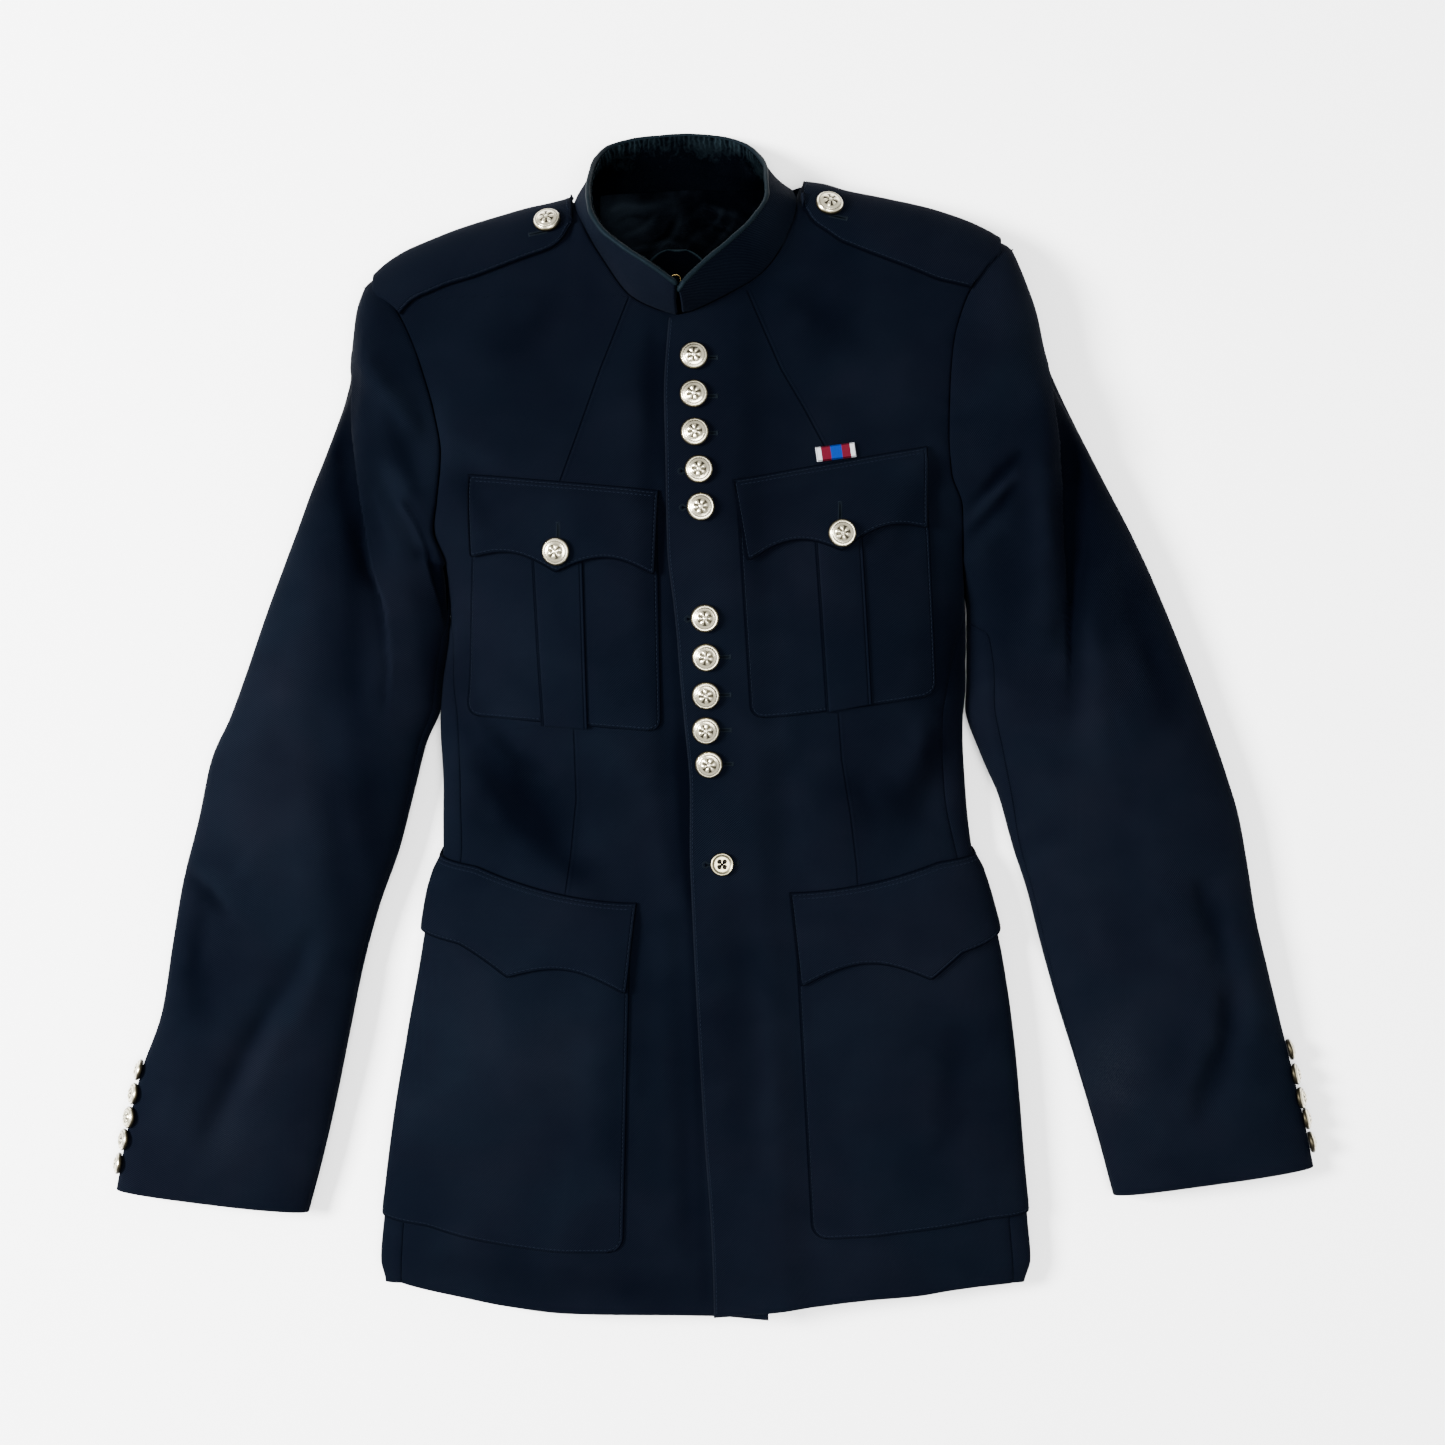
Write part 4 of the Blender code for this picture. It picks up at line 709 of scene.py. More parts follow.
NAVY = (0.0004, 0.0007, 0.0019)
NAVY_LIT = (0.0041, 0.0049, 0.0081)
NAVY_TEAL = (0.0032, 0.0050, 0.0083)
# The darkest navy, for painted shade
NAVY_PAINTED_SHADE = (0.0001, 0.0002, 0.0007)
# A pale grey navy for paler patches, lint, and the free rims' wear and painted highlight
PALE_GREY = (0.016, 0.018, 0.022)
NEUTRAL = (1.0, 1.0, 1.0)
TWILL_ANGLE = math.radians(42)
TWILL_PITCH = 0.00118
THREAD_PITCH = 0.00074
RIBBON_WHITE = (0.34, 0.35, 0.37)
RIBBON_RED = (0.060, 0.0028, 0.0085)
RIBBON_BLUE = (0.0002, 0.018, 0.130)
# Where each stripe of the ribbon starts, as a share of its width
STRIPES = ((0.0, RIBBON_WHITE), (0.13, RIBBON_RED), (0.37, RIBBON_BLUE), (0.65, RIBBON_RED), (0.87, RIBBON_WHITE))


class Value:
    """A number on its way through a material's nodes, worked on with plain arithmetic."""

    def __init__(self, graph, socket):
        self.graph = graph
        self.socket = socket

    def __add__(self, other):
        return self.graph.math("ADD", self, other)

    def __sub__(self, other):
        return self.graph.math("SUBTRACT", self, other)

    def __mul__(self, other):
        return self.graph.math("MULTIPLY", self, other)


class Graph:
    """A material's nodes, added one after another."""

    def __init__(self, name, colour, roughness, specular, tint=(0.5, 0.7, 1.0)):
        self.made = bpy.data.materials.new(name)
        self.made.use_nodes = True
        self.nodes, self.links = self.made.node_tree.nodes, self.made.node_tree.links
        self.shader = self.nodes["Principled BSDF"]
        self.shader.inputs["Base Color"].default_value = (*colour, 1)
        self.shader.inputs["Roughness"].default_value = roughness
        self.shader.inputs["Specular IOR Level"].default_value = specular
        self.shader.inputs["Specular Tint"].default_value = (*tint, 1)
        self.bumps = None

    def join(self, value, socket):
        if isinstance(value, Value):
            self.links.new(value.socket, socket)
        elif isinstance(value, tuple):
            socket.default_value = (*value, 1)
        else:
            socket.default_value = value

    def node(self, kind, **inputs):
        node = self.nodes.new(f"ShaderNode{kind}")
        for name, value in inputs.items():
            self.join(value, node.inputs[name])
        return node

    def math(self, operation, a, b=0.0):
        node = self.node("Math")
        node.operation = operation
        self.join(a, node.inputs[0])
        self.join(b, node.inputs[1])
        return Value(self, node.outputs[0])

    def held(self, value):
        """The value kept from 0 to 1."""
        return Value(self, self.node("Clamp", Value=value).outputs[0])

    def attribute(self, name):
        node = self.node("Attribute")
        node.attribute_name = name
        return Value(self, node.outputs["Fac"])

    def grain(self):
        """The two ways along the cloth in metres, and both as one."""
        node = self.node("UVMap")
        node.uv_map = "grain"
        both = Value(self, node.outputs[0])
        split = self.node("SeparateXYZ", Vector=both)
        return Value(self, split.outputs[0]), Value(self, split.outputs[1]), both

    def solid(self):
        return Value(self, self.node("TexCoord").outputs["Object"])

    def noise(self, vector, scale, detail=2.0, rough=0.5, distortion=0.0):
        node = self.node(
            "TexNoise", Vector=vector, Scale=scale, Detail=detail, Roughness=rough, Distortion=distortion
        )
        return Value(self, node.outputs["Fac"])

    def wave(self, along, length):
        """A wave from 0 to 1 along a distance in metres."""
        return (self.math("SINE", along * (2 * math.pi / length)) + 1.0) * 0.5

    def bell(self, value, middle, width):
        off = self.math("DIVIDE", value - middle, width)
        return self.math("EXPONENT", off * off * -1.0)

    def mix(self, share, a, b):
        node = self.node("Mix")
        node.data_type = "RGBA"
        for value, socket in ((share, 0), (a, 6), (b, 7)):
            self.join(value, node.inputs[socket])
        return Value(self, node.outputs[2])

    def bump(self, height, distance, strength=1.0):
        node = self.node("Bump", Strength=strength, Distance=distance, Height=height)
        if self.bumps is not None:
            self.join(self.bumps, node.inputs["Normal"])
        self.bumps = Value(self, node.outputs[0])

    def finish(self, colour, roughness=None):
        self.join(colour, self.shader.inputs["Base Color"])
        if roughness is not None:
            self.join(roughness, self.shader.inputs["Roughness"])
        if self.bumps is not None:
            self.join(self.bumps, self.shader.inputs["Normal"])
        return self.made


def cloth_look(name, sewn_edge):
    """Fine navy twill: diagonal ribs, thread by thread colour, a soft raised pile and paler places, with painted
    light and shade, and painted shade in its dart grooves and along sewn rims.
    """
    g = Graph(name, NAVY, 0.85, 0.008)
    u, v, uv = g.grain()
    solid = g.solid()
    across, along = math.sin(TWILL_ANGLE), math.cos(TWILL_ANGLE)
    ribs = g.wave(u * -across + v * along + g.noise(solid, 420, 2, 0.6) * 0.00035, TWILL_PITCH)
    threads = g.wave(u * along + v * across, THREAD_PITCH)
    weave = ribs * 0.62 + ribs * threads * 0.38
    nap_and_painted_light = g.noise(uv, 1700, 3, 0.7)
    # The painted light and shade kept at the points, lightening and darkening the cloth's colour
    painted_light_and_shade = g.attribute("nap_and_painted_light")
    patches = (g.noise(solid, 26, 4, 0.55, 0.4) - 0.5) * 0.55 + (g.noise(solid, 7, 2, 0.5) - 0.5) * 0.35
    tone = weave * 1.15 + (nap_and_painted_light - 0.5) * 1.1 + patches + painted_light_and_shade * 0.34
    lit = g.mix(g.held((g.noise(solid, 9, 3, 0.6, 0.8) - 0.38) * 3.6), NAVY_TEAL, NAVY_LIT)
    colour = g.mix(g.held(tone - 0.33), NAVY, lit)
    # Painted shade: towards the darkest navy where the painted light and shade is negative
    colour = g.mix(g.held(painted_light_and_shade * -0.7), colour, NAVY_PAINTED_SHADE)
    paled = g.attribute("paleness") * g.held((g.noise(solid, 900, 3, 0.7) - 0.42) * 3.0)
    # The free rims a little paler: edge wear and painted highlight
    rim_wear_and_highlight = g.bell(g.attribute("edge"), 0.0, 0.7) * (0.0 if sewn_edge else 0.05)
    lint = g.math("GREATER_THAN", g.noise(uv, 1500, 1, 0.5), 0.80)
    colour = g.mix(g.held(paled * 0.55 + rim_wear_and_highlight + lint * 0.10), colour, PALE_GREY)
    groove = g.bell(g.attribute("dart"), 0.0, 0.55) * g.attribute("dart_hold")
    lip = g.bell(g.attribute("dart"), 1.7, 1.2) * g.attribute("dart_hold")
    form = lip * 0.35 - groove
    if sewn_edge:
        form = form - g.bell(g.attribute("edge"), STITCH_INSET, 0.55) * 0.8
    g.bump(form, 0.0009)
    g.bump(weave, 0.00022, 0.85)
    g.bump(nap_and_painted_light, 0.00012, 0.6)
    # Painted shade in the dart grooves
    colour = g.mix(groove * 0.9, colour, NAVY_PAINTED_SHADE)
    # Painted shade along the rims of sewn-on pieces: a dark outline where they stand off the front
    if sewn_edge:
        colour = g.mix(g.bell(g.attribute("edge"), 0.0, 0.55) * 0.9, colour, NAVY_PAINTED_SHADE)
    g.shader.inputs["Sheen Weight"].default_value = 0.004
    g.shader.inputs["Sheen Roughness"].default_value = 0.45
    g.shader.inputs["Sheen Tint"].default_value = (0.55, 0.68, 1.0, 1)
    return g.finish(colour, nap_and_painted_light * 0.16 + 0.74)


def satin_look():
    """Dark lining satin: smooth, close thread, with a soft gloss across the thread, and painted highlights and
    shade in its colour.
    """
    g = Graph("satin_lining", (0.0006, 0.0010, 0.0018), 0.46, 0.007)
    solid = g.solid()
    thread = g.wave(g.grain()[0], 0.00042)
    blotch = g.noise(solid, 60, 3, 0.5)
    # Painted highlights and shade from the points' values, broken up by a blotchy noise
    painted_shine = g.attribute("nap_and_painted_light") + (blotch - 0.5) * 0.8
    colour = g.mix(g.held(thread * 0.12 + painted_shine), (0.00006, 0.0001, 0.0003), (0.0034, 0.0050, 0.0070))
    g.bump(g.noise(solid, 190, 3, 0.55, 0.6), 0.0010, 0.5)
    g.bump(thread, 0.00005, 0.5)
    g.shader.inputs["Anisotropic"].default_value = 0.45
    return g.finish(colour, blotch * 0.18 + 0.36)


def facing_look():
    """The collar's smooth green-black facing, close to fine leather, with painted highlights on its gathers and
    creases and painted shade.
    """
    g = Graph("smooth_facing", (0.0005, 0.0010, 0.0014), 0.5, 0.004)
    solid = g.solid()
    drawn = g.wave(g.grain()[0] + g.noise(solid, 130, 2, 0.5) * 0.006, 0.0036)
    # The gathers' ridges are painted lighter as well as bumped
    gathers = drawn * drawn * g.attribute("gather")
    creases = g.noise(solid, 240, 4, 0.6, 1.2)
    # Painted highlights and shade: the points' values, the crease noise and the gathers
    painted_shine = g.attribute("nap_and_painted_light") + (creases - 0.5) * 0.9 + gathers * 0.9
    colour = g.mix(g.held(painted_shine), (0.00005, 0.0001, 0.0003), (0.0034, 0.0062, 0.0078))
    g.bump(creases, 0.0009, 0.6)
    g.bump(gathers, 0.0010, 0.8)
    g.bump(g.noise(solid, 1500, 3, 0.6), 0.00010, 0.6)
    return g.finish(colour, creases * 0.22 + 0.40)


def piping_look():
    """The collar's smooth piping, a little paler than the facing."""
    g = Graph("collar_piping", (0.003, 0.006, 0.007), 0.5, 0.02)
    soft = g.noise(g.solid(), 700, 3, 0.6)
    g.bump(soft, 0.0002, 0.5)
    return g.finish(g.mix(soft, (0.0008, 0.0017, 0.0025), (0.0026, 0.0047, 0.0062)), 0.5)


def metal_look(name, bright, dark, rough):
    """Plated metal, darkened where its marks say: patina in its recesses and painted shade at its edge, underside
    and shaded side; lightly scratched.
    """
    g = Graph(name, bright, rough, 0.5, NEUTRAL)
    solid = g.solid()
    g.shader.inputs["Metallic"].default_value = 1.0
    share = g.held(g.attribute("patina_and_shade") + (g.noise(solid, 700, 3, 0.6) - 0.5) * 0.35)
    g.bump(g.noise(solid, 2600, 2, 0.6), 0.00004, 0.5)
    return g.finish(g.mix(share, bright, dark), share * 0.25 + rough)


def slit_shade_look():
    """Painted shade for the inside of a buttonhole."""
    g = Graph("buttonhole_painted_shade", NAVY_PAINTED_SHADE, 0.9, 0.0)
    return g.finish(g.mix(g.noise(g.solid(), 2500, 2, 0.6), (0.00005, 0.00008, 0.0002), (0.0003, 0.0004, 0.0008)))


def thread_look(name, dark, pale):
    g = Graph(name, pale, 0.6, 0.02)
    fibre = g.noise(g.solid(), 5200, 2, 0.6)
    g.bump(fibre, 0.00006, 0.6)
    return g.finish(g.mix(fibre, dark, pale), fibre * 0.2 + 0.45)


def ribbon_look():
    """Ribbed medal ribbon in five plain stripes."""
    g = Graph("ribbon_stripes", (0.3, 0.05, 0.07), 0.7, 0.02, NEUTRAL)
    u, v, _ = g.grain()
    fuzz = g.noise(g.solid(), 2400, 2, 0.6)
    ramp = g.node("ValToRGB", Fac=u + (fuzz - 0.5) * 0.012)
    ramp.color_ramp.interpolation = "CONSTANT"
    marks = ramp.color_ramp.elements
    while len(marks) < len(STRIPES):
        marks.new(0.5)
    for mark, (at, colour) in zip(marks, STRIPES):
        mark.position = at
        mark.color = (*colour, 1)
    ribs = g.wave(v, 0.062)
    g.bump(ribs, 0.00022, 0.8)
    g.bump(fuzz, 0.00008, 0.5)
    # Painted shade in the furrows between the ribs
    furrow_shade = (ribs * -1.0 + 1.0) * 0.3
    return g.finish(g.mix(furrow_shade, Value(g, ramp.outputs[0]), (0.002, 0.001, 0.004)))


def floor_look():
    g = Graph("studio_floor", (0.93, 0.93, 0.93), 0.9, 0.1)
    return g.finish(g.mix(g.noise(g.solid(), 300, 2, 0.5), (0.92, 0.92, 0.92), (0.94, 0.94, 0.94)))


LOOKS = {
    "cloth": cloth_look("navy_twill", False),
    "cloth_sewn": cloth_look("navy_twill_sewn", True),
    "satin": satin_look(),
    "facing": facing_look(),
    "piping": piping_look(),
    "silver": metal_look("warm_silver", (0.72, 0.66, 0.48), (0.022, 0.019, 0.012), 0.18),
    "flat_silver": metal_look("dull_silver", (0.27, 0.245, 0.155), (0.010, 0.009, 0.007), 0.30),
    "brass": metal_look("hook_brass", (0.20, 0.14, 0.05), (0.05, 0.03, 0.012), 0.32),
    "thread": thread_look("sewing_thread", (0.0014, 0.0022, 0.0046), (0.0050, 0.0070, 0.0122)),
    "hole_thread": thread_look("buttonhole_thread", (0.0012, 0.0019, 0.0029), (0.0040, 0.0058, 0.0078)),
    "slit": slit_shade_look(),
    "ribbon": ribbon_look(),
}

# Creases given by their places in the photograph: a ridge where the height is positive.
# Each runs through three or four places, and its width and height are millimetres.
SLEEVE_CREASES = (
    ("path", "width", "height"),
    (((360, 345), (375, 380), (400, 410), (430, 445)), 9, 1.5),
    (((388, 468), (405, 492), (426, 520)), 7, 1.2),
    (((364, 440), (370, 500), (382, 560)), 6, -1.0),
    (((390, 590), (372, 690), (358, 780)), 15, 1.3),
    (((332, 548), (322, 660), (322, 765), (338, 855), (358, 975)), 13, -1.5),
    (((282, 670), (255, 730), (228, 790)), 13, 1.0),
    (((416, 552), (436, 556), (452, 572)), 3.5, -1.3),
    (((424, 545), (440, 549), (455, 560)), 4, 0.9),
    (((180, 876), (201, 894), (224, 918)), 5, -1.7),
    (((186, 864), (210, 884), (232, 904)), 6, 1.2),
    (((208, 892), (192, 940), (190, 985), (206, 1032)), 8, -1.4),
    (((306, 938), (284, 985), (258, 1024), (204, 1132)), 9, -2.0),
    (((324, 950), (302, 1000), (276, 1042), (240, 1102)), 10, 1.3),
    (((180, 1040), (170, 1080), (158, 1130)), 9, 0.9),
    (((262, 840), (246, 868), (226, 884)), 7, 0.9),
    (((964, 509), (985, 490), (1003, 472), (1019, 455)), 3.4, -1.7),
    (((964, 540), (982, 521), (1000, 503), (1014, 486)), 3.4, -1.7),
    (((966, 524), (990, 502), (1014, 474)), 6, 1.5),
    (((968, 556), (990, 536), (1012, 512)), 7, 0.9),
    (((402, 500), (414, 520), (424, 548)), 3.2, 0.9),
    (((1038, 470), (1046, 540), (1049, 620)), 10, 1.5),
    (((1068, 450), (1074, 560), (1077, 660), (1068, 780)), 9, -1.2),
    (((1082, 570), (1104, 680), (1126, 782)), 13, 1.4),
    (((1124, 570), (1152, 650), (1182, 722)), 11, -1.4),
    (((1108, 690), (1122, 750), (1137, 805)), 8, -0.9),
    (((1205, 888), (1222, 925), (1232, 965)), 8, -1.8),
    (((1239, 1000), (1229, 1060), (1206, 1118)), 9, -1.8),
    (((1218, 1000), (1204, 1062), (1184, 1114)), 9, 1.1),
    (((1252, 945), (1257, 1000), (1262, 1040)), 9, 1.0),
    (((1060, 860), (1090, 905), (1110, 960)), 12, 0.9),
    (((1150, 800), (1160, 850), (1180, 900)), 12, 0.9),
)
BODY_CREASES = (
    ("path", "width", "height"),
    (((474, 770), (502, 806), (536, 838), (582, 882)), 9, -1.6),
    (((498, 738), (522, 760), (548, 774)), 5, -0.8),
    (((462, 700), (482, 738), (506, 764)), 6, 1.0),
    (((930, 708), (922, 745), (908, 784)), 9, 1.2),
    (((855, 780), (866, 800), (876, 828)), 7, -0.8),
    (((480, 980), (496, 1040), (511, 1106)), 14, 0.9),
    (((961, 1030), (957, 1080), (950, 1130)), 10, -1.0),
    (((971, 1120), (956, 1140), (938, 1158)), 6, -0.7),
    (((430, 1264), (455, 1254), (482, 1262)), 10, 0.8),
    (((540, 1290), (560, 1235), (570, 1190)), 12, 0.8),
    (((880, 1290), (872, 1240), (868, 1180)), 12, 0.8),
    (((452, 470), (480, 500), (502, 545)), 9, -0.9),
    (((455, 440), (488, 462), (520, 480)), 8, 0.7),
    (((945, 470), (920, 505), (898, 548)), 9, -0.9),
    (((944, 440), (915, 462), (890, 478)), 8, 0.7),
    (((650, 340), (654, 500), (662, 680), (674, 880)), 9, -1.3),
    (((676, 920), (684, 1090), (690, 1260)), 10, -1.3),
    (((560, 292), (540, 322), (500, 350)), 13, -1.0),
    (((800, 288), (832, 322), (870, 350)), 13, -1.0),
    (((602, 930), (596, 1020), (590, 1120), (584, 1230)), 15, 1.1),
    (((640, 920), (645, 1050), (652, 1200)), 13, -0.9),
    (((772, 960), (778, 1080), (784, 1210)), 14, 1.0),
    (((730, 900), (742, 1000), (744, 1120)), 12, -0.7),
    (((600, 700), (610, 740), (640, 780)), 12, 0.9),
    (((792, 690), (786, 730), (760, 770)), 12, 0.9),
    (((470, 690), (462, 650), (460, 610)), 8, -0.9),
    (((954, 690), (958, 650), (957, 610)), 8, -0.9),
)
# Darts: sewn lines on the fronts, drawn as narrow grooves
DARTS = (
    ("side", "path", "depth"),
    (RIGHT, ((629, 297), (601, 370), (580, 430), (553, 505)), 0.9),
    (LEFT, ((747, 291), (781, 370), (803, 408), (836, 470)), 0.9),
    (RIGHT, ((573, 729), (574, 761), (575, 800), (569, 856), (562, 905)), 0.65),
    (LEFT, ((839, 712), (843, 760), (853, 820), (859, 870), (861, 905)), 0.65),
)
# Painted light and shade on the cloth, by places in the photograph: paths, widths in millimetres and amounts,
# painted light where positive and painted shade where negative
PAINTED_LIGHT = (
    ("on", "path", "width", "amount"),
    ("all", ((322, 690), (304, 790), (288, 880)), 20, 0.55),
    ("all", ((349, 480), (351, 590), (353, 680), (365, 810), (372, 880)), 11, -0.55),
    ("all", ((388, 410), (404, 455), (421, 497)), 6, -0.55),
    ("all", ((376, 440), (392, 516), (402, 575), (410, 640)), 9, 0.35),
    ("all", ((985, 522), (1000, 600), (1012, 680)), 15, -0.42),
    ("all", ((1068, 440), (1082, 550), (1102, 650), (1121, 730)), 12, -0.42),
    ("all", ((300, 590), (268, 720), (240, 830), (222, 930)), 30, 0.32),
    ("all", ((310, 880), (290, 990), (262, 1060), (236, 1170)), 30, 0.45),
    ("all", ((205, 1060), (175, 1120), (155, 1170)), 22, 0.40),
    ("all", ((462, 970), (480, 1060), (500, 1150)), 42, 0.50),
    ("all", ((452, 930), (436, 1060), (426, 1180)), 24, 0.25),
    ("all", ((1100, 940), (1130, 1070), (1160, 1170)), 36, 0.45),
    ("all", ((1075, 680), (1100, 790), (1120, 900)), 26, 0.30),
    ("all", ((1160, 800), (1200, 940), (1236, 1080)), 26, 0.22),
    ("all", ((640, 740), (600, 800), (560, 870)), 22, 0.22),
    ("all", ((830, 910), (850, 1040), (864, 1150)), 30, 0.22),
    ("all", ((392, 540), (420, 640), (446, 720)), 14, -0.42),
    ("all", ((354, 370), (340, 440), (318, 520)), 15, -0.45),
    ("all", ((450, 670), (492, 760), (530, 820), (610, 905)), 15, -0.62),
    ("all", ((458, 900), (470, 820), (492, 770)), 15, -0.22),
    ("all", ((956, 620), (935, 730), (900, 800), (850, 850)), 18, -0.42),
    ("all", ((1006, 360), (1022, 480), (1036, 600), (1048, 740)), 24, -0.16),
    ("all", ((1058, 410), (1062, 540), (1070, 680)), 16, -0.14),
    ("all", ((596, 930), (610, 1040), (618, 1190)), 15, -0.32),
    ("front_right", ((665, 300), (669, 466), (678, 677), (690, 903), (698, 1100), (704, 1310)), 4, -0.55),
    ("front_right", ((681, 735), (683, 790), (687, 850), (692, 905)), 7, -0.85),
    ("front_right", ((652, 320), (656, 400), (662, 470)), 7, -0.5),
    ("all", ((964, 509), (985, 490), (1003, 472), (1019, 455)), 4, -0.45),
    ("all", ((964, 540), (982, 521), (1000, 503), (1014, 486)), 4, -0.45),
    ("all", ((966, 524), (990, 502), (1014, 474)), 5, 0.25),
    ("all", ((1000, 275), (1020, 330), (1030, 420)), 26, 0.55),
    ("all", ((430, 400), (436, 440), (430, 480)), 12, 0.40),
    ("all", ((860, 330), (880, 400), (870, 430)), 34, 0.25),
    ("all", ((880, 760), (850, 790), (800, 800)), 26, -0.32),
    ("all", ((560, 770), (600, 800), (640, 790)), 26, -0.30),
    ("all", ((170, 1120), (200, 1080), (240, 1060)), 26, -0.30),
    ("all", ((360, 760), (340, 860), (320, 940)), 22, -0.12),
    ("all", ((420, 1266), (560, 1290), (700, 1306)), 16, -0.25),
    ("all", ((410, 285), (385, 340), (372, 400)), 34, -0.34),
    ("all", ((735, 340), (745, 500), (752, 700)), 30, -0.26),
    ("all", ((800, 360), (806, 410), (800, 450)), 22, 0.20),
    ("all", ((412, 620), (408, 680), (400, 740)), 10, 0.32),
    ("all", ((384, 430), (380, 466), (382, 500)), 10, -0.25),
    ("all", ((312, 590), (303, 640), (296, 690)), 14, 0.30),
    ("all", ((1040, 640), (1044, 680), (1050, 730)), 14, -0.22),
    ("all", ((500, 780), (522, 804), (550, 830)), 16, -0.35),
    ("all", ((1200, 1060), (1213, 1100), (1222, 1150)), 18, 0.22),
    ("all", ((735, 880), (745, 1050), (750, 1220)), 30, -0.20),
)
# Above this height up the chest the cloth is darkened with painted shade, over this length
PAINTED_SHADE_ABOVE = 40.0
PAINTED_SHADE_OVER = 150.0

# How high the cloth lies that a place of the photograph shows: body, lining and sleeves
LYING = 55.0
LINING_LIES = 12.0
SLEEVE_LIES = 40.0


def place(px, py, high=LYING):
    """Where a place of the photograph lies on cloth at some height, in table millimetres."""
    nearer = 1 - high * METRES / CAMERA_HEIGHT
    return np.array([(px - PHOTO_MIDDLE) * PHOTO_MM * nearer, (PHOTO_MIDDLE - py) * PHOTO_MM * nearer])


def path_distance(path, x, y, high=LYING):
    """How far a place is from a line through some places, and how far along the line it is, from 0 to 1."""
    path = np.array([place(*p, high) for p in path])
    knots = np.arange(len(path), dtype=float)
    fine = np.linspace(0, knots[-1], 4 * (len(path) - 1) + 1)
    line = np.stack([smooth(knots, path[:, k], fine) for k in range(2)], axis=1)
    best = np.full(np.shape(x), 1e9)
    along = np.zeros(np.shape(x))
    steps = len(line) - 1
    for i in range(steps):
        (x1, y1), (x2, y2) = line[i], line[i + 1]
        dx, dy = x2 - x1, y2 - y1
        t = np.clip(((x - x1) * dx + (y - y1) * dy) / (dx**2 + dy**2), 0, 1)
        away = np.hypot(x - x1 - t * dx, y - y1 - t * dy)
        nearer = away < best
        best = np.where(nearer, away, best)
        along = np.where(nearer, (i + t) / steps, along)
    return best, along


def rumple(x, y):
    """Low uneven waves of handled cloth, about one millimetre from trough to ridge."""
    a = x + 9 * np.sin(y / 47 + 0.6)
    b = y + 11 * np.sin(x / 39 + 1.9)
    wide = np.sin(a / 31 + 0.7 * np.sin(b / 61)) * np.sin(b / 67 + 1.1)
    mid = np.sin(a / 14.3 + b / 41 + 2.0) * np.sin(b / 29 + 0.4)
    fine = np.sin(a / 7.1 - b / 17 + 0.5) * np.sin(b / 11.5 + a / 33)
    return 0.42 * wide + 0.22 * mid + 0.07 * fine


# Sharp folds down the upper sleeves: the front layer ends in a ridge and the rear one lies lower beside it.
# Front is the side that the front layer is on, and lies is how high the cloth lies there.
SLEEVE_STEPS = (
    ("path", "front", "ridge", "drop", "ridge_width", "drop_width", "lies"),
    (
        ((354, 366), (354, 410), (361, 490), (371, 560), (386, 610), (392, 670), (384, 760)),
        1, 0.9, 5.0, 6, 14, 26.0,
    ),
    (
        ((1047, 360), (1053, 410), (1061, 480), (1064, 560), (1066, 640), (1064, 730)),
        -1, 0.9, 5.2, 6, 15, 26.0,
    ),
    (
        ((398, 496), (411, 517), (423, 542), (428, 568), (435, 597), (441, 626), (444, 650)),
        -1, 0.7, 4.2, 5, 8, 48.0,
    ),
)
# Folds of the lining in the neck
LINING_FOLDS = (
    ("path", "width", "rise"),
    (((606, 212), (622, 203), (644, 205), (667, 199)), 2.6, 1.5),
    (((612, 222), (630, 214), (650, 216)), 1.8, -0.9),
    (((618, 236), (640, 228), (658, 212)), 2.0, 1.1),
    (((620, 250), (644, 246), (668, 241), (686, 246)), 2.2, 1.2),
    (((634, 256), (660, 236), (676, 214)), 1.9, -0.9),
    (((652, 254), (672, 236), (682, 214)), 1.9, 1.1),
    (((686, 246), (699, 232), (718, 220), (724, 202)), 2.2, 1.1),
    (((690, 218), (706, 203), (722, 210), (746, 216)), 2.4, 0.8),
    (((702, 256), (718, 241), (735, 219)), 2.3, 0.9),
    (((695, 236), (712, 224), (730, 232)), 1.7, -0.8),
)
CREASES = {"body": BODY_CREASES, "sleeve": SLEEVE_CREASES}
CREASE_DEPTH = 1.45


def creased(kind, x, y):
    """The creases' height at a place: soft, uneven and fading out at their ends."""
    total = rumple(x, y)
    for path, width, height in CREASES[kind][1:]:
        away, along = path_distance(path, x, y, SLEEVE_LIES if kind == "sleeve" else LYING)
        uneven = 1 + 0.22 * np.sin(9 * along + path[0][0]) + 0.12 * np.sin(23 * along + path[0][1])
        past_ends = ((along <= 0) | (along >= 1)) * away
        shape = faded(along, 0.08, 0.6) * bell(past_ends, 0.7 * width) * bell(away, width * uneven)
        total = total + CREASE_DEPTH * height * shape
    return total


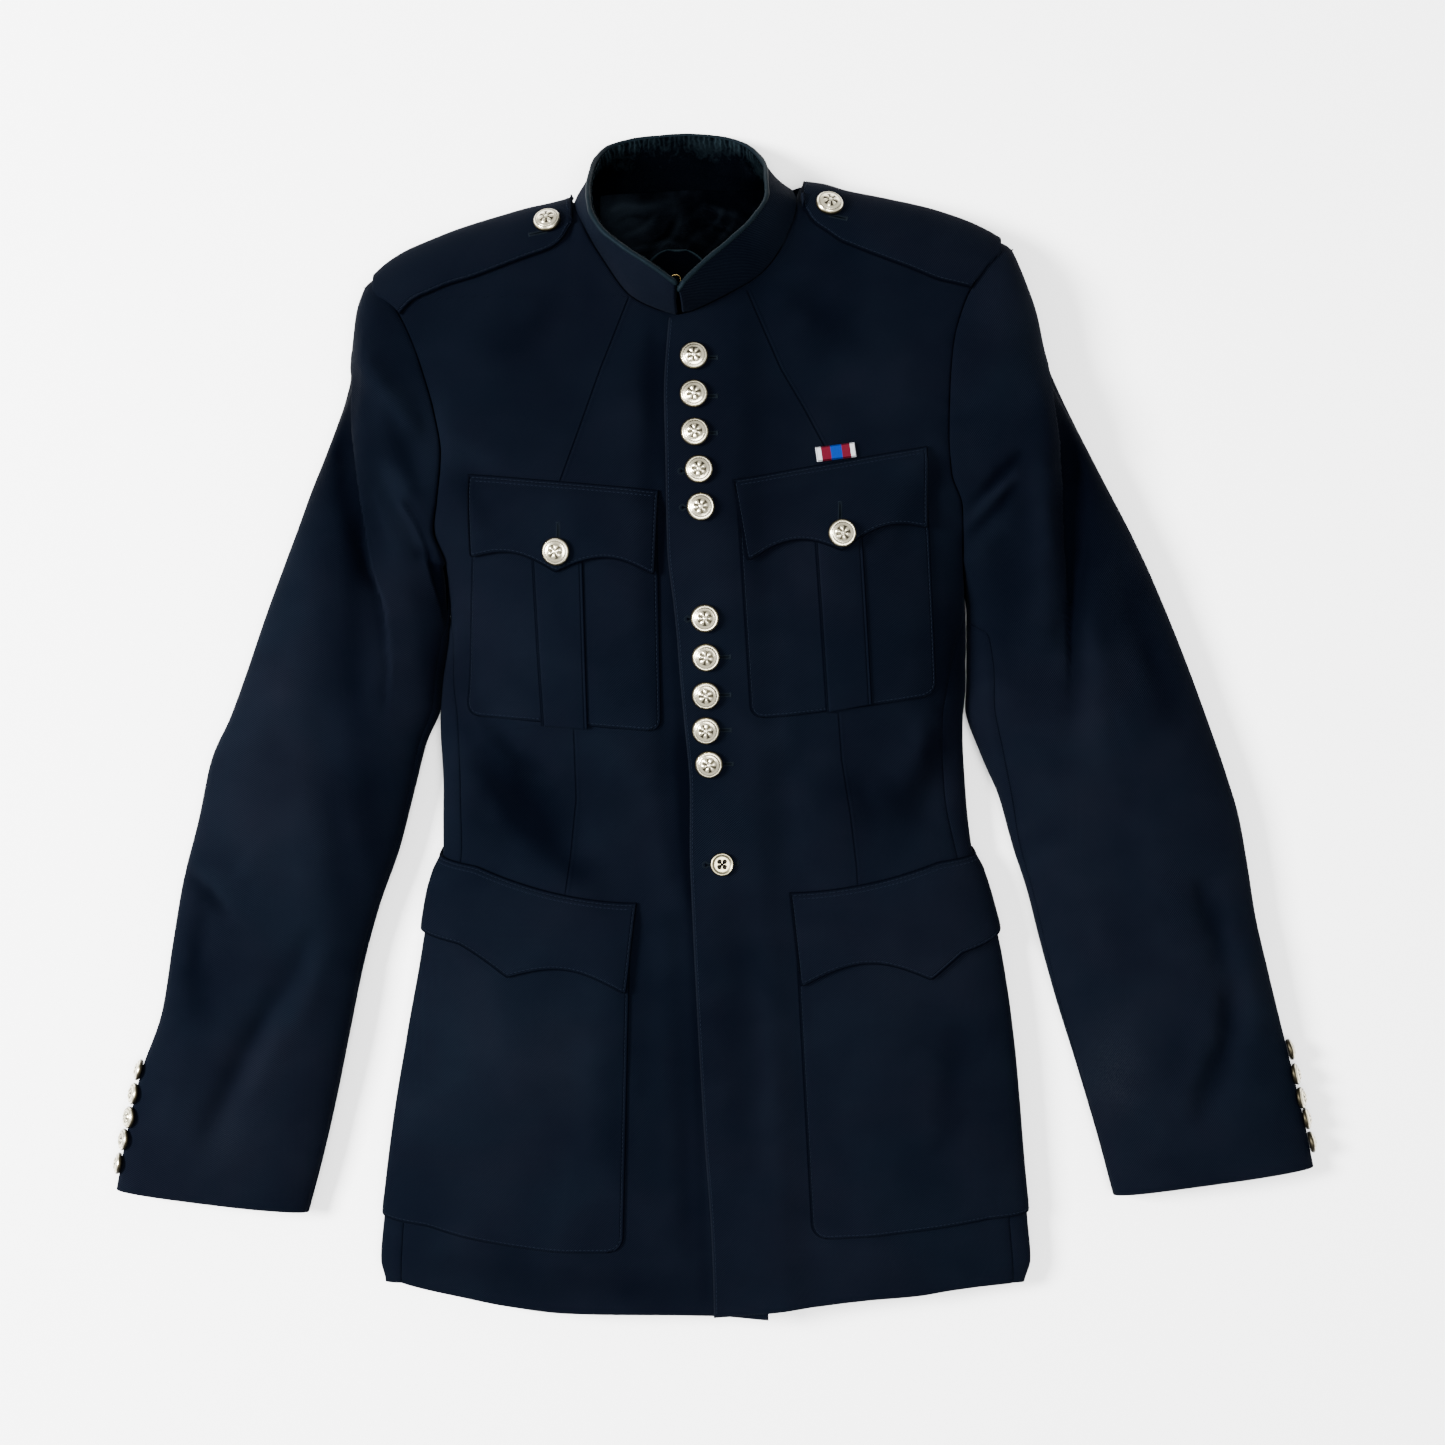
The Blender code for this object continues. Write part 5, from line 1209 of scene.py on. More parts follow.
def stepped(x, y):
    """The sharp folds' height at a place, and how much painted shade lies beside them, from 0 to 1."""
    total, dark = np.zeros(np.shape(x)), np.zeros(np.shape(x))
    for path, front_way, ridge, drop, ridge_width, drop_width, lies in SLEEVE_STEPS[1:]:
        away, along = path_distance(path, x, y, lies)
        line = np.array([place(*p, lies) for p in path])
        line_x = np.interp(-y, -line[:, 1], line[:, 0])
        signed = away * np.where((x - line_x) * front_way > 0, 1.0, -1.0)
        fade = eased(along / 0.10) * eased((1 - along) / 0.40)
        over = ridge * np.exp(-np.clip(signed, 0, None) / ridge_width)
        under = -drop * np.exp(-np.clip(-signed, 0, None) / drop_width)
        share = eased((signed + 0.9) / 1.8)
        near = bell(np.clip(away - 4, 0, None), 30)
        total = total + fade * near * (share * over + (1 - share) * under)
        # Painted shade on the lower layer beside each fold
        dark = dark + fade * (1 - share) * np.exp(-np.clip(-signed, 0, None) / (drop_width * 1.1))
    return total, np.clip(dark, 0, 1)


def turned(points, hint):
    """Unit vectors square to a grid, on the side that the hint points to where the grid faces it most."""
    normal = unit(np.cross(np.gradient(points, axis=0), np.gradient(points, axis=1)))
    lean = (normal * np.asarray(hint, float)).sum(axis=-1)
    strongest = lean.flat[np.argmax(np.abs(lean))]
    return normal * (1 if strongest > 0 else -1)


def lifted(base, normals, height):
    """A surface moved along its normals by a height, and kept above the floor."""
    surface = base + normals * height[..., None]
    surface[..., 2] = np.maximum(surface[..., 2], 0.0)
    return surface


def grid_quads(index):
    """The faces of a grid, from the numbers of its points."""
    return np.stack([index[:-1, :-1], index[:-1, 1:], index[1:, 1:], index[1:, :-1]], axis=-1).reshape(-1, 4)


def ring_faces(rings, sides):
    """The faces between rings of points, going round."""
    index = np.arange(rings * sides).reshape(rings, sides)
    following = np.roll(index, -1, axis=1)
    return np.stack([index[:-1], following[:-1], following[1:], index[1:]], axis=-1).reshape(-1, 4).tolist()


def edge_distance(points, sides="tblr"):
    """How far each point of a grid is from the nearest of these sides: top, bottom, left and right."""
    across = np.linalg.norm(np.diff(points, axis=1), axis=-1)
    down = np.linalg.norm(np.diff(points, axis=0), axis=-1)
    left = np.concatenate([np.zeros((len(points), 1)), np.cumsum(across, axis=1)], axis=1)
    top = np.concatenate([np.zeros((1, points.shape[1])), np.cumsum(down, axis=0)], axis=0)
    found = {"l": left, "r": left[:, -1:] - left, "t": top, "b": top[-1:] - top}
    return np.minimum.reduce([found[side] for side in sides])


def to_metres(points):
    return (np.asarray(points, float) - np.array([MIDDLE_X, MIDDLE_Y, 0])) * METRES


def piece(name, points, faces, looks, own_node=True, kinds=None, values=None, uv=None, outward=True):
    """A mesh piece from points in table millimetres, with values kept at its points for its material.

    It rides with the jacket, in place of the solid of the same name if it has one of its own."""
    mesh = bpy.data.meshes.new(name)
    points = np.array(points, float)
    points[:, 2] = np.maximum(points[:, 2], 0.0)
    mesh.from_pydata(to_metres(points).tolist(), [], [list(map(int, face)) for face in faces])
    for look in looks:
        mesh.materials.append(LOOKS[look])
    if kinds is not None:
        mesh.polygons.foreach_set("material_index", np.asarray(kinds, dtype=np.int32))
    for key, value in (values or {}).items():
        layer = mesh.attributes.new(key, "FLOAT", "POINT")
        layer.data.foreach_set("value", np.asarray(value, np.float32))
    if uv is not None:
        layer = mesh.uv_layers.new(name="grain")
        corner = np.zeros(len(mesh.loops), np.int32)
        mesh.loops.foreach_get("vertex_index", corner)
        layer.data.foreach_set("uv", np.asarray(uv, np.float32)[corner].ravel())
    if outward:
        work = bmesh.new()
        work.from_mesh(mesh)
        bmesh.ops.recalc_face_normals(work, faces=work.faces)
        work.to_mesh(mesh)
        work.free()
    mesh.shade_smooth()
    made = bpy.data.objects.new(name, mesh)
    bpy.context.collection.objects.link(made)
    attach(made, "root")
    if own_node:
        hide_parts(name)


def shell(name, points, normals, thick, edges, looks, uv, values):
    """A closed thin shell of cloth, with one look outside and one inside.

    Its edges are rounded: edges gives their width at top, right, bottom and left."""
    rows, across = points.shape[:2]
    count = rows * across
    index = np.arange(count).reshape(rows, across)
    rim = np.concatenate([index[0, :-1], index[:-1, -1], index[-1, :0:-1], index[:0:-1, 0]])
    flat_points, flat_normals = points.reshape(-1, 3), normals.reshape(-1, 3)
    out = np.zeros((count, 3))
    width = np.zeros(count)
    borders = (
        (index[0], index[1]), (index[:, -1], index[:, -2]), (index[-1], index[-2]), (index[:, 0], index[:, 1]),
    )
    for (ids, beside), edge in zip(borders, edges):
        out[ids] += unit(flat_points[ids] - flat_points[beside])
        width[ids] = np.maximum(width[ids], edge)
    edge_line, away, up = flat_points[rim], unit(out[rim]), flat_normals[rim]
    wide = width[rim][:, None]
    outer = flat_points.copy()
    outer[rim] -= away * wide
    inner = outer - flat_normals * thick
    loops = [rim]
    extra = []
    for turn in np.radians([45, 0, -45]):
        extra.append(edge_line - away * wide * (1 - math.cos(turn)) + up * thick / 2 * (math.sin(turn) - 1))
        loops.append(2 * count + len(rim) * (len(extra) - 1) + np.arange(len(rim)))
    loops.append(rim + count)
    quads = grid_quads(index)
    strips = [
        np.stack([a, np.roll(a, -1), np.roll(b, -1), b], axis=1) for a, b in zip(loops[:-1], loops[1:])
    ]
    under = quads[:, ::-1] + count
    kinds = np.concatenate([np.zeros(len(quads) + len(strips) * len(rim)), np.ones(len(under))])

    def whole(value):
        """A value at each point of the grid, or one for all, given to the points of the whole shell."""
        value = np.full(count, value) if np.ndim(value) == 0 else np.asarray(value, float).reshape(count, -1)
        full = np.concatenate([value, value, value[np.tile(rim, 3)]])
        return full[:, 0] if full.ndim == 2 and full.shape[1] == 1 else full

    piece(
        name, np.concatenate([outer, inner, *extra]), np.concatenate([quads, *strips, under]), looks,
        kinds=kinds, values={key: whole(value) for key, value in values.items()}, uv=whole(uv),
    )


def fine_smooth(rows, columns_of, at):
    """A smooth line through some columns of a table, at these rows."""
    knots = np.arange(rows, dtype=float)
    return np.stack([smooth(knots, column, at) for column in columns_of], axis=-1)


def armhole_at(side, at):
    table = SLEEVE[side]
    return fine_smooth(len(table["loft"]), (table["inner_x"], table["inner_y"]), at)


def neck_line(side, count):
    """The front's neck edge, from its front edge to the shoulder, drawn through the collar's seam."""
    seam = (COLLAR["seam_x"], COLLAR["seam_y"])
    rows = len(seam[0])
    first, last = (1, NECK_POINT_RIGHT) if side == RIGHT else (rows - 2, NECK_POINT_LEFT)
    at = np.linspace(first, last, count)
    corner = np.array([*NECK_START[side], fine_smooth(rows, seam, at[:1])[0]])
    return np.concatenate([spread(corner, np.linspace(0, 1, 9)[:-1]), fine_smooth(rows, seam, at)])


SHOULDER_CLEAR = 54.0


def shoulder_fine(side, count):
    """The shoulder seam, from the neck to the armhole."""
    table = SLEEVE[side]
    begin = max(SHOULDER_START[side], SHOULDER_CLEAR) if side == LEFT else SHOULDER_START[side]
    x = np.linspace(begin, table["inner_x"][0], count)
    y = smooth(SHOULDER["x"], SHOULDER["y"], x)
    y = y + (table["inner_y"][0] - y[-1]) * np.linspace(0, 1, count) ** 4
    return np.stack([x, y], axis=1)


def side_line(side, seam, fine, counts):
    """The armhole and, below it, the seam to the hem: drawn with fine steps, then evenly spaced."""
    hole = armhole_at(side, np.linspace(0, HEAD_ROWS - 1, fine[0]))
    first = SEAM_STATIONS[0] if seam == "front" else SEAM_STATIONS[1]
    y = np.linspace(first, SEAM_STATIONS[-1], fine[1])
    below = np.stack([seam_x(f"{SIDE_NAME[side]}_{seam}", y), y], axis=1)
    return np.concatenate([
        even(hole, counts[0])[:-1],
        even(np.concatenate([hole[-1:], below]), counts[1]),
    ])


def even(line, count):
    """Points along a line, evenly spaced."""
    return spread(line, np.linspace(0, 1, count))


def rounded_line(rows, count):
    """A smooth line through a short table of places."""
    rows = np.asarray(rows, float)
    run = lengths(rows)
    return np.stack([smooth(run, rows[:, k], np.linspace(0, 1, count)) for k in range(2)], axis=1)


def painted_light_at(x, y, height=0.0, on="all"):
    """The painted light (above 0) and painted shade (below 0) at a place, from -1 to 1: by the table above, with
    painted highlights on ridges, painted shade in troughs and painted shade up the chest.
    """
    total = 0.20 * np.asarray(height, float) - 0.26 * eased((y - PAINTED_SHADE_ABOVE) / PAINTED_SHADE_OVER)
    for where, path, width, amount in PAINTED_LIGHT[1:]:
        if where not in ("all", on):
            continue
        away, along = path_distance(path, x, y, SLEEVE_LIES if on.startswith("sleeve") else LYING)
        uneven = 1 + 0.25 * np.sin(7 * along + path[0][0])
        total = total + amount * faded(along, 0.04, 0.5) * bell(away, width * uneven)
    return np.clip(total, -1, 1)


# Where the cloth is made paler, by places in the photograph
PALE_PATCHES = (
    ("px", "py", "width", "amount"),
    (1115, 1080, 20, 0.35),
    (215, 1150, 16, 0.2),
    (560, 1060, 22, 0.15),
    (900, 1000, 22, 0.12),
)


def paleness_at(x, y):
    """How far the cloth is made paler, from 0 to 1."""
    total = np.zeros(np.shape(x))
    for px, py, width, amount in PALE_PATCHES[1:]:
        cx, cy = place(px, py)
        total += amount * np.exp(-((x - cx) ** 2 + ((y - cy) * 0.6) ** 2) / width**2)
    return np.clip(total, 0, 1)


def dart_values(side, x, y):
    """The side-signed distance to the nearest dart and how far it holds, for the dart's groove."""
    lateral, mask = np.full(np.shape(x), FAR_OFF), np.zeros(np.shape(x))
    for which, path, depth in DARTS[1:]:
        if which != side:
            continue
        line = np.array([place(*p) for p in path])
        line_x = np.interp(y, line[::-1, 1], line[::-1, 0])
        off = x - line_x
        high, low = line[0, 1], line[-1, 1]
        hold = depth * eased((high + 2 - y) / 4) * eased((y - low + 4) / 16)
        nearer = hold > mask
        lateral = np.where(nearer, off, lateral)
        mask = np.where(nearer, hold, mask)
    return np.clip(lateral, -FAR_OFF, FAR_OFF), mask


def seam_dip(points, sides, depth=0.5, width=2.6):
    """The dip of the cloth at its seams."""
    return -depth * bell(edge_distance(points, sides), width)


def pucker(points, sides, x, y):
    """Small gathers beside a seam."""
    wave = np.sin((x + 1.7 * y) / 4.6) * np.sin((y - 0.6 * x) / 13 + 1)
    return 0.13 * wave * bell(edge_distance(points, sides), 9)


def grain_uv(x, y, turn=0.0):
    """The cloth's own two ways at each point, in metres."""
    c, s = math.cos(turn), math.sin(turn)
    return np.stack([(x * c + y * s) * METRES, (y * c - x * s) * METRES], axis=-1)


TREES = {}


def keep_tree(name, points):
    """A search tree over a grid, so that stitches and buttons can be laid on it."""
    index = np.arange(points.shape[0] * points.shape[1]).reshape(points.shape[:2])
    TREES[name] = BVHTree.FromPolygons(points.reshape(-1, 3).tolist(), grid_quads(index).tolist())


def front(side):
    name = f"front_{SIDE_NAME[side]}"
    top = np.concatenate([even(neck_line(side, 40), 46), even(shoulder_fine(side, 60), 66)])
    end = side_line(side, "front", (90, 160), (72, 132))
    hem = rounded_line([*(RIGHT_HEM if side == RIGHT else LEFT_HEM)[1:], end[-1]], 200)
    bottom = spread(hem, lengths(top))
    bottom[-1] = end[-1]
    y = np.linspace(top[0, 1], bottom[0, 1], 160)
    edge_line = np.stack([seam_x("under_edge" if side == RIGHT else "over_edge", y), y], axis=1)
    edge_line[0], edge_line[-1] = top[0], bottom[0]
    plan = relaxed(coons(top, bottom, spread(edge_line, lengths(end)), end))
    x, y = plan[..., 0], plan[..., 1]
    base = raised(x, y, front_height(side))
    height = creased("body", x, y) * eased(edge_distance(base, "t") / 26 + 0.25)
    height = height + seam_dip(base, "tr") + pucker(base, "r", x, y)
    surface = lifted(base, turned(base, UP), height)
    keep_tree(name, surface)
    if side == LEFT:
        sewn(name, surface, "l", (STITCH_INSET,), "front")
    lateral, hold = dart_values(side, x, y)
    shell(
        name, surface, turned(surface, UP), CLOTH, (SEAM_EDGE, SEAM_EDGE, FREE_EDGE, FREE_EDGE),
        ("cloth", "satin"), grain_uv(x, y),
        {
            "edge": edge_distance(surface, "bl"), "dart": lateral, "dart_hold": hold,
            # The last value is the cloth's painted light and shade
            "paleness": paleness_at(x, y), "nap_and_painted_light": painted_light_at(x, y, height, name),
        },
    )


def side_body(side):
    word = SIDE_NAME[side]
    name = f"side_body_{word}"
    y = np.linspace(SEAM_STATIONS[0], SEAM_STATIONS[-1], 130)[:, None]
    start = ring_angle(side, seam_x(f"{word}_front", y), y)
    lowest_x, lowest_y = SLEEVE[side]["inner_x"][HEAD_ROWS - 1], SLEEVE[side]["inner_y"][HEAD_ROWS - 1]
    first = np.clip((SEAM_STATIONS[0] - y) / (SEAM_STATIONS[0] - SEAM_STATIONS[1]), 0, 1)
    back_y = np.where(first < 1, lowest_y + (SEAM_STATIONS[1] - lowest_y) * first, y)
    back_x = np.where(
        first < 1,
        lowest_x + (seam_x(f"{word}_back", np.full_like(y, SEAM_STATIONS[1])) - lowest_x) * first,
        seam_x(f"{word}_back", y),
    )
    middle, half, _, edge = section(back_y)
    reach = half - side * (back_x - middle) - edge * UNDER_ROUND
    curled = 90 + np.degrees(np.arccos(np.clip(-reach / (edge * UNDER_ROUND), 0, 1)))
    end = np.where(reach > 0, 180 + reach, curled)
    fold = np.minimum(end - 2, 168)
    top = start + (90 - start) * np.linspace(0, 1, 18)[None]
    under = 90 + (fold - 90) * np.linspace(0, 1, 12)[None, 1:]
    flat = fold + (end - fold) * np.linspace(0, 1, 15)[None, 1:]
    angle = np.concatenate([top, under, flat], axis=1)
    y = y + (back_y - y) * np.clip((angle - 90) / (end - 90), 0, 1)
    base = ring_point(side, y, angle)
    x = base[..., 0]
    hint = (side * 0.6, 0, 1)
    fade = eased((150 - angle) / 50)
    height = creased("body", x, y) * fade + seam_dip(base, "l") + pucker(base, "l", x, y) * fade
    surface = lifted(base, turned(base, hint), height)
    keep_tree(name, surface)
    uv = np.stack([side * edge_distance(base, "l") * METRES, y * METRES], axis=-1)
    shell(
        name, surface, turned(surface, hint), CLOTH, (SEAM_EDGE, SEAM_EDGE, FREE_EDGE, SEAM_EDGE),
        ("cloth", "satin"), uv,
        # The last value is the cloth's painted light and shade
        {"edge": edge_distance(surface, "b"), "paleness": paleness_at(x, y), "nap_and_painted_light": painted_light_at(x, y, height)},
    )


def back(side):
    name = f"back_{SIDE_NAME[side]}"
    seam = (COLLAR["seam_x"], COLLAR["seam_y"])
    last = NECK_POINT_RIGHT + 1 if side == RIGHT else NECK_POINT_LEFT - 1
    neck = fine_smooth(len(seam[0]), seam, np.linspace(COLLAR_BACK, last, 30)) - [0, NECK_SEAM]
    top = np.concatenate([even(neck, 24), even(shoulder_fine(side, 60), 34)])
    end = side_line(side, "back", (60, 90), (34, 54))
    middle = rounded_line([top[0], *BACK_SEAM[1:]], 100)
    along, bend_y = BACK_HEM_BEND
    hem = rounded_line([middle[-1], (neck[0, 0] + side * along, bend_y), end[-1]], 60)
    bottom = spread(hem, lengths(top))
    start = spread(middle, lengths(end))
    bottom[-1], start[-1], start[0] = end[-1], bottom[0], top[0]
    plan = relaxed(coons(top, bottom, start, end))
    x, y = plan[..., 0], plan[..., 1]
    base = raised(x, y, body_under)
    height = -0.35 * np.clip(rumple(x, y) + 0.5, 0, 1) + seam_dip(base, "lr")
    surface = lifted(base, turned(base, DOWN), height)
    shell(
        name, surface, turned(surface, DOWN), BACK_CLOTH, (SEAM_EDGE, SEAM_EDGE, FREE_EDGE, SEAM_EDGE),
        ("cloth", "satin"), grain_uv(-x, y), {"edge": edge_distance(surface, "b"), "paleness": 0.0},
    )


def sleeve(side):
    """Both halves of a sleeve, from the armhole to the open cuff."""
    table = SLEEVE[side]
    last = len(table["loft"]) - 1
    row = np.linspace(0, last, 200)[:, None]
    seam = smooth(np.arange(last + 1.0), table["seam"], row)
    middle_x, middle_y = table["outer_x"] + table["inner_x"], table["outer_y"] + table["inner_y"]
    lean = math.atan2(middle_x[-1] - middle_x[0], middle_y[0] - middle_y[-1])
    for kind in ("sleeve_top", "sleeve_under"):
        name = f"{kind}_{SIDE_NAME[side]}"
        if kind == "sleeve_top":
            ring = seam + (1 - seam) * np.linspace(0, 1, 92)[None]
            hint, way = UP, 1
        else:
            ring = 1 + (1 + np.where(seam > 0, seam, 0)) * np.linspace(0, 1, 34)[None]
            hint, way = DOWN, -1
        base = sleeve_point(side, row, ring)
        x, y = base[..., 0], base[..., 1]
        if kind == "sleeve_top":
            folded, dark = stepped(x, y)
            height = (creased("sleeve", x, y) + folded) * eased(edge_distance(base, "t") / 30 + 0.2)
            near = bell(edge_distance(base, "l"), 14) * (row < HEAD_ROWS - 1)
            height = height * (1 - near) + creased("body", x, y) * near
            height = height * eased(edge_distance(base, "r") / 11 + 0.15)
            height = height + seam_dip(base, "l") + pucker(base, "l", x, y)
            # Painted light and shade, darkened further by painted shade beside the sharp folds
            nap_and_painted_light = np.clip(painted_light_at(x, y, height - folded, name) - 0.95 * dark, -1, 1)
        else:
            height = 0.3 * rumple(x, y) * eased((ring - 1.9) / 0.1)
            height = height + seam_dip(base, "lr", 0.25) * (row > HEAD_ROWS)
            height = height - 0.25 * np.clip(rumple(x, y) + 0.3, 0, 1) * eased(edge_distance(base, "lr") / 20)
            # Painted light and shade on the sleeve's underside
            nap_and_painted_light = painted_light_at(x, y, height, name)
        surface = lifted(base, turned(base, hint), height)
        keep_tree(name, surface)
        shell(
            name, surface, turned(surface, hint), CLOTH, (SEAM_EDGE, THIN_EDGE, FREE_EDGE, SEAM_EDGE),
            ("cloth", "satin"), grain_uv(way * x, y, way * lean),
            {"edge": edge_distance(surface, "b"), "paleness": paleness_at(x, y), "nap_and_painted_light": nap_and_painted_light},
        )


def patch_at(side, corners, sag_top, bottom_line, wrap, u, v, corner=0.0, height_mm=150.0, width_mm=130.0):
    """Ring angles and heights of a piece that lies on a front, at shares u across and v down it."""
    top_in, top_out = corners[:2]
    v = v[:, None] + 0 * u[None]
    into_corner = np.clip(corner - (1 - v) * height_mm, 0, corner)
    share = (corner - np.sqrt(np.clip(corner**2 - into_corner**2, 0, None))) / width_mm
    u = share + (1 - share * (1 if wrap else 2)) * u[None]
    flat_end = FLAT_SHARE if wrap else 1.0
    turn_end = flat_end + (1 - flat_end) * (SIDE_STEPS - WRAP_STEPS) / SIDE_STEPS

    def top_line(at):
        x = top_in[0] + (top_out[0] - top_in[0]) * at
        return x, top_in[1] + (top_out[1] - top_in[1]) * at - sag_top * 4 * at * (1 - at)

    def plan(at):
        (top_x, top_y), low = top_line(at), bottom_line(at.ravel())
        low_x, low_y = low[:, 0].reshape(at.shape), low[:, 1].reshape(at.shape)
        return (1 - v) * top_x + v * low_x, (1 - v) * top_y + v * low_y

    x, y = plan(u)
    angle = ring_angle(side, x, y)
    if wrap:
        start = ring_angle(side, *plan(flat_end + 0 * u))
        turning = start + (90 - start) * (u - flat_end) / (turn_end - flat_end)
        past = 90 + wrap * (u - turn_end) / (1 - turn_end)
        angle = np.where(u <= flat_end, angle, np.where(u <= turn_end, turning, past))
    return y, angle


def crowded(count, ends=0.5):
    """Shares from 0 to 1, closer together at both ends."""
    t = np.linspace(0, 1, count)
    return t - ends * np.sin(2 * np.pi * t) / (2 * np.pi)


def laid_on(side, y, angle):
    """Points and normals of the dressed front where a piece lies on it."""
    base = ring_point(side, y, angle)
    normals = ring_normal(side, y, angle)
    height = creased("body", base[..., 0], y) * eased((130 - angle) / 40)
    return base + normals * height[..., None], normals


def overlay(name, side, y, angle, lift, thick, edges, sides):
    """A piece of cloth sewn on the front along these sides: pocket, pleat or flap."""
    base, normals = laid_on(side, y, angle)
    near = edge_distance(base, sides)
    x = base[..., 0]
    lift = np.asarray(lift, float) + 0.22 * np.sin(x / 9 + y / 21) * bell(near - 7, 6)
    lift = lift - 0.22 * bell(near - STITCH_INSET, 1.1) + 0.12 * np.sin(x / 17 + 1) * np.sin(y / 23)
    surface = lifted(base, normals, lift + thick)
    keep_tree(name, surface)
    y = base[..., 1]
    shell(
        name, surface, turned(surface, (side * 0.4, 0, 1)), thick, edges, ("cloth_sewn", "cloth"),
        grain_uv(x, y, math.radians(-2 * side)),
        {
            "edge": edge_distance(surface, sides), "paleness": paleness_at(x, y),
            # The last value is the cloth's painted light and shade
            "nap_and_painted_light": painted_light_at(x, y, creased("body", x, y)),
        },
    )
    return surface


def pockets():
    """The four patch pockets and the box pleats of the upper two."""
    for name, side, top_in, top_out, bottom_in, bottom_out, sag, wrap in POCKETS[1:]:
        across, down, corner = (62, 78, 11.0) if wrap else (46, 58, 9.0)
        sag_top, sides = (HIP_POCKET_SAG, "lb") if wrap else (0, "lbr")
        y, angle = patch_at(
            side, (top_in, top_out), sag_top, straight_bottom(bottom_in, bottom_out, sag), wrap,
            crowded(across), crowded(down), corner, top_in[1] - bottom_in[1], abs(bottom_out[0] - bottom_in[0]),
        )
        edges = (SEAM_EDGE, PATCH_EDGE, PATCH_EDGE, PATCH_EDGE)
        surface = overlay(name, side, y, angle, 0.25, PATCH_WALL, edges, sides)
        sewn(name, surface, sides, (STITCH_INSET,))
    for name, side, top_in, top_out, bottom_in, bottom_out in PLEATS[1:]:
        bottom = straight_bottom(bottom_in, bottom_out, 0)
        y, angle = patch_at(side, (top_in, top_out), 0, bottom, 0, crowded(18), crowded(50))
        edges = (SEAM_EDGE, PATCH_EDGE, SEAM_EDGE, PATCH_EDGE)
        overlay(name, side, y, angle, PATCH_WALL + 0.45, PLEAT_WALL, edges, "lr")


def flaps():
    """The four scalloped flaps, lifted clear of the pockets below their top seam."""
    for row in FLAPS[1:]:
        name, side, top_in, top_out, bottom_in, bottom_out, point, arch_in, arch_out, sag, wrap = row
        v = crowded(26)
        y, angle = patch_at(
            side, (top_in, top_out), sag, flap_bottom(bottom_in, bottom_out, point, arch_in, arch_out), wrap,
            crowded(76), v, 3.0, 52.0, abs(bottom_out[0] - bottom_in[0]),
        )
        clear = PATCH_GAP + PATCH_WALL + GAP + (GAP if wrap else PLEAT_WALL + GAP)
        lift = FLAP_LIFT + (clear - FLAP_LIFT) * eased(v / FLAP_RISE)[:, None] * np.ones(y.shape[1])
        edges = (PATCH_EDGE, FREE_EDGE, FREE_EDGE, FREE_EDGE)
        surface = overlay(name, side, y, angle, lift, FLAP_WALL - 0.2, edges, "tblr")
        sewn(name, surface, "lb" if wrap else "lbr", (STITCH_INSET,))
        sewn(name, surface, "t", (STITCH_INSET, 5.0), "top")


def boundary(points, sides):
    """The outline of a grid along the named sides, in order."""
    parts = {"l": points[:, 0], "b": points[-1], "r": points[::-1, -1], "t": points[0, ::-1]}
    order = "lbrt" if "b" in sides else "rtl"
    return np.concatenate([parts[s] for s in order if s in sides])


def inset(points, sides, distance, tree):
    """The line on a grid that keeps this distance from the named sides."""
    line = boundary(points, sides)
    run = run_along(line)
    keep = np.concatenate([[True], np.diff(run) > 1e-6])
    line, run = line[keep], run[keep]
    at = np.linspace(0, run[-1], max(int(run[-1] / 1.5), 8))
    line = np.stack([np.interp(at, run, line[:, k]) for k in range(3)], axis=1)
    whole = boundary(points, "lbrt")
    way = unit(np.gradient(line, axis=0))
    middle = points[len(points) // 2, points.shape[1] // 2]
    found = []
    for spot, ahead in zip(line, way):
        _, normal, _, _ = tree.find_nearest(spot.tolist())
        found.append(unit(np.cross(ahead, np.array(normal))))
    found = np.array(found)
    if ((middle - line) * found).sum(axis=1).mean() < 0:
        found = -found
    moved = line + found * distance
    gap = np.linalg.norm(moved[:, None] - whole[None, ::2], axis=2).min(axis=1)
    return moved[gap > 0.9 * distance]


# A length of thread: how far along it is from its middle, how thick and how high it lies, in its radius
THREAD_STATIONS = (
    ("along", "thick", "lift"),
    (-0.5, 0.0, -0.7),
    (-0.4, 0.75, -0.1),
    (0.0, 1.0, 0.45),
    (0.4, 0.75, -0.1),
    (0.5, 0.0, -0.7),
)


def thread_mesh(name, starts, ends, normals, radius, kind="thread", rise=0.25):
    """Stitches as small rounded lengths of thread from start to end, bowed up in the middle."""
    starts, ends, normals = (np.asarray(v, float) for v in (starts, ends, normals))
    size = np.linalg.norm(ends - starts, axis=1, keepdims=True)
    way = unit(ends - starts)
    beside = unit(np.cross(normals, way))
    up = np.cross(way, beside)
    turns = np.linspace(0, 2 * np.pi, 6, endpoint=False)
    circle = np.cos(turns)[None, :, None] * beside[:, None] + np.sin(turns)[None, :, None] * up[:, None]
    rings = []
    for along, thick, lift in THREAD_STATIONS[1:]:
        spot = ((starts + ends) / 2 + way * size * along + up * radius * (lift + rise))[:, None]
        rings.append(spot + radius * thick * circle if thick else spot)
    points = np.concatenate(rings, axis=1)
    each = points.shape[1]
    tips, quads = [], []
    for j in range(6):
        k = (j + 1) % 6
        tips += [(0, 1 + j, 1 + k), (each - 1, 13 + k, 13 + j)]
    for ring in (1, 7):
        for j in range(6):
            k = (j + 1) % 6
            quads.append((ring + j, ring + 6 + j, ring + 6 + k, ring + k))
    shift = (np.arange(len(points)) * each)[:, None, None]
    faces = []
    for part in (tips, quads):
        faces += (np.array(part) + shift).reshape(-1, len(part[0])).tolist()
    piece(name, points.reshape(-1, 3), faces, (kind,), own_node=False, outward=False)


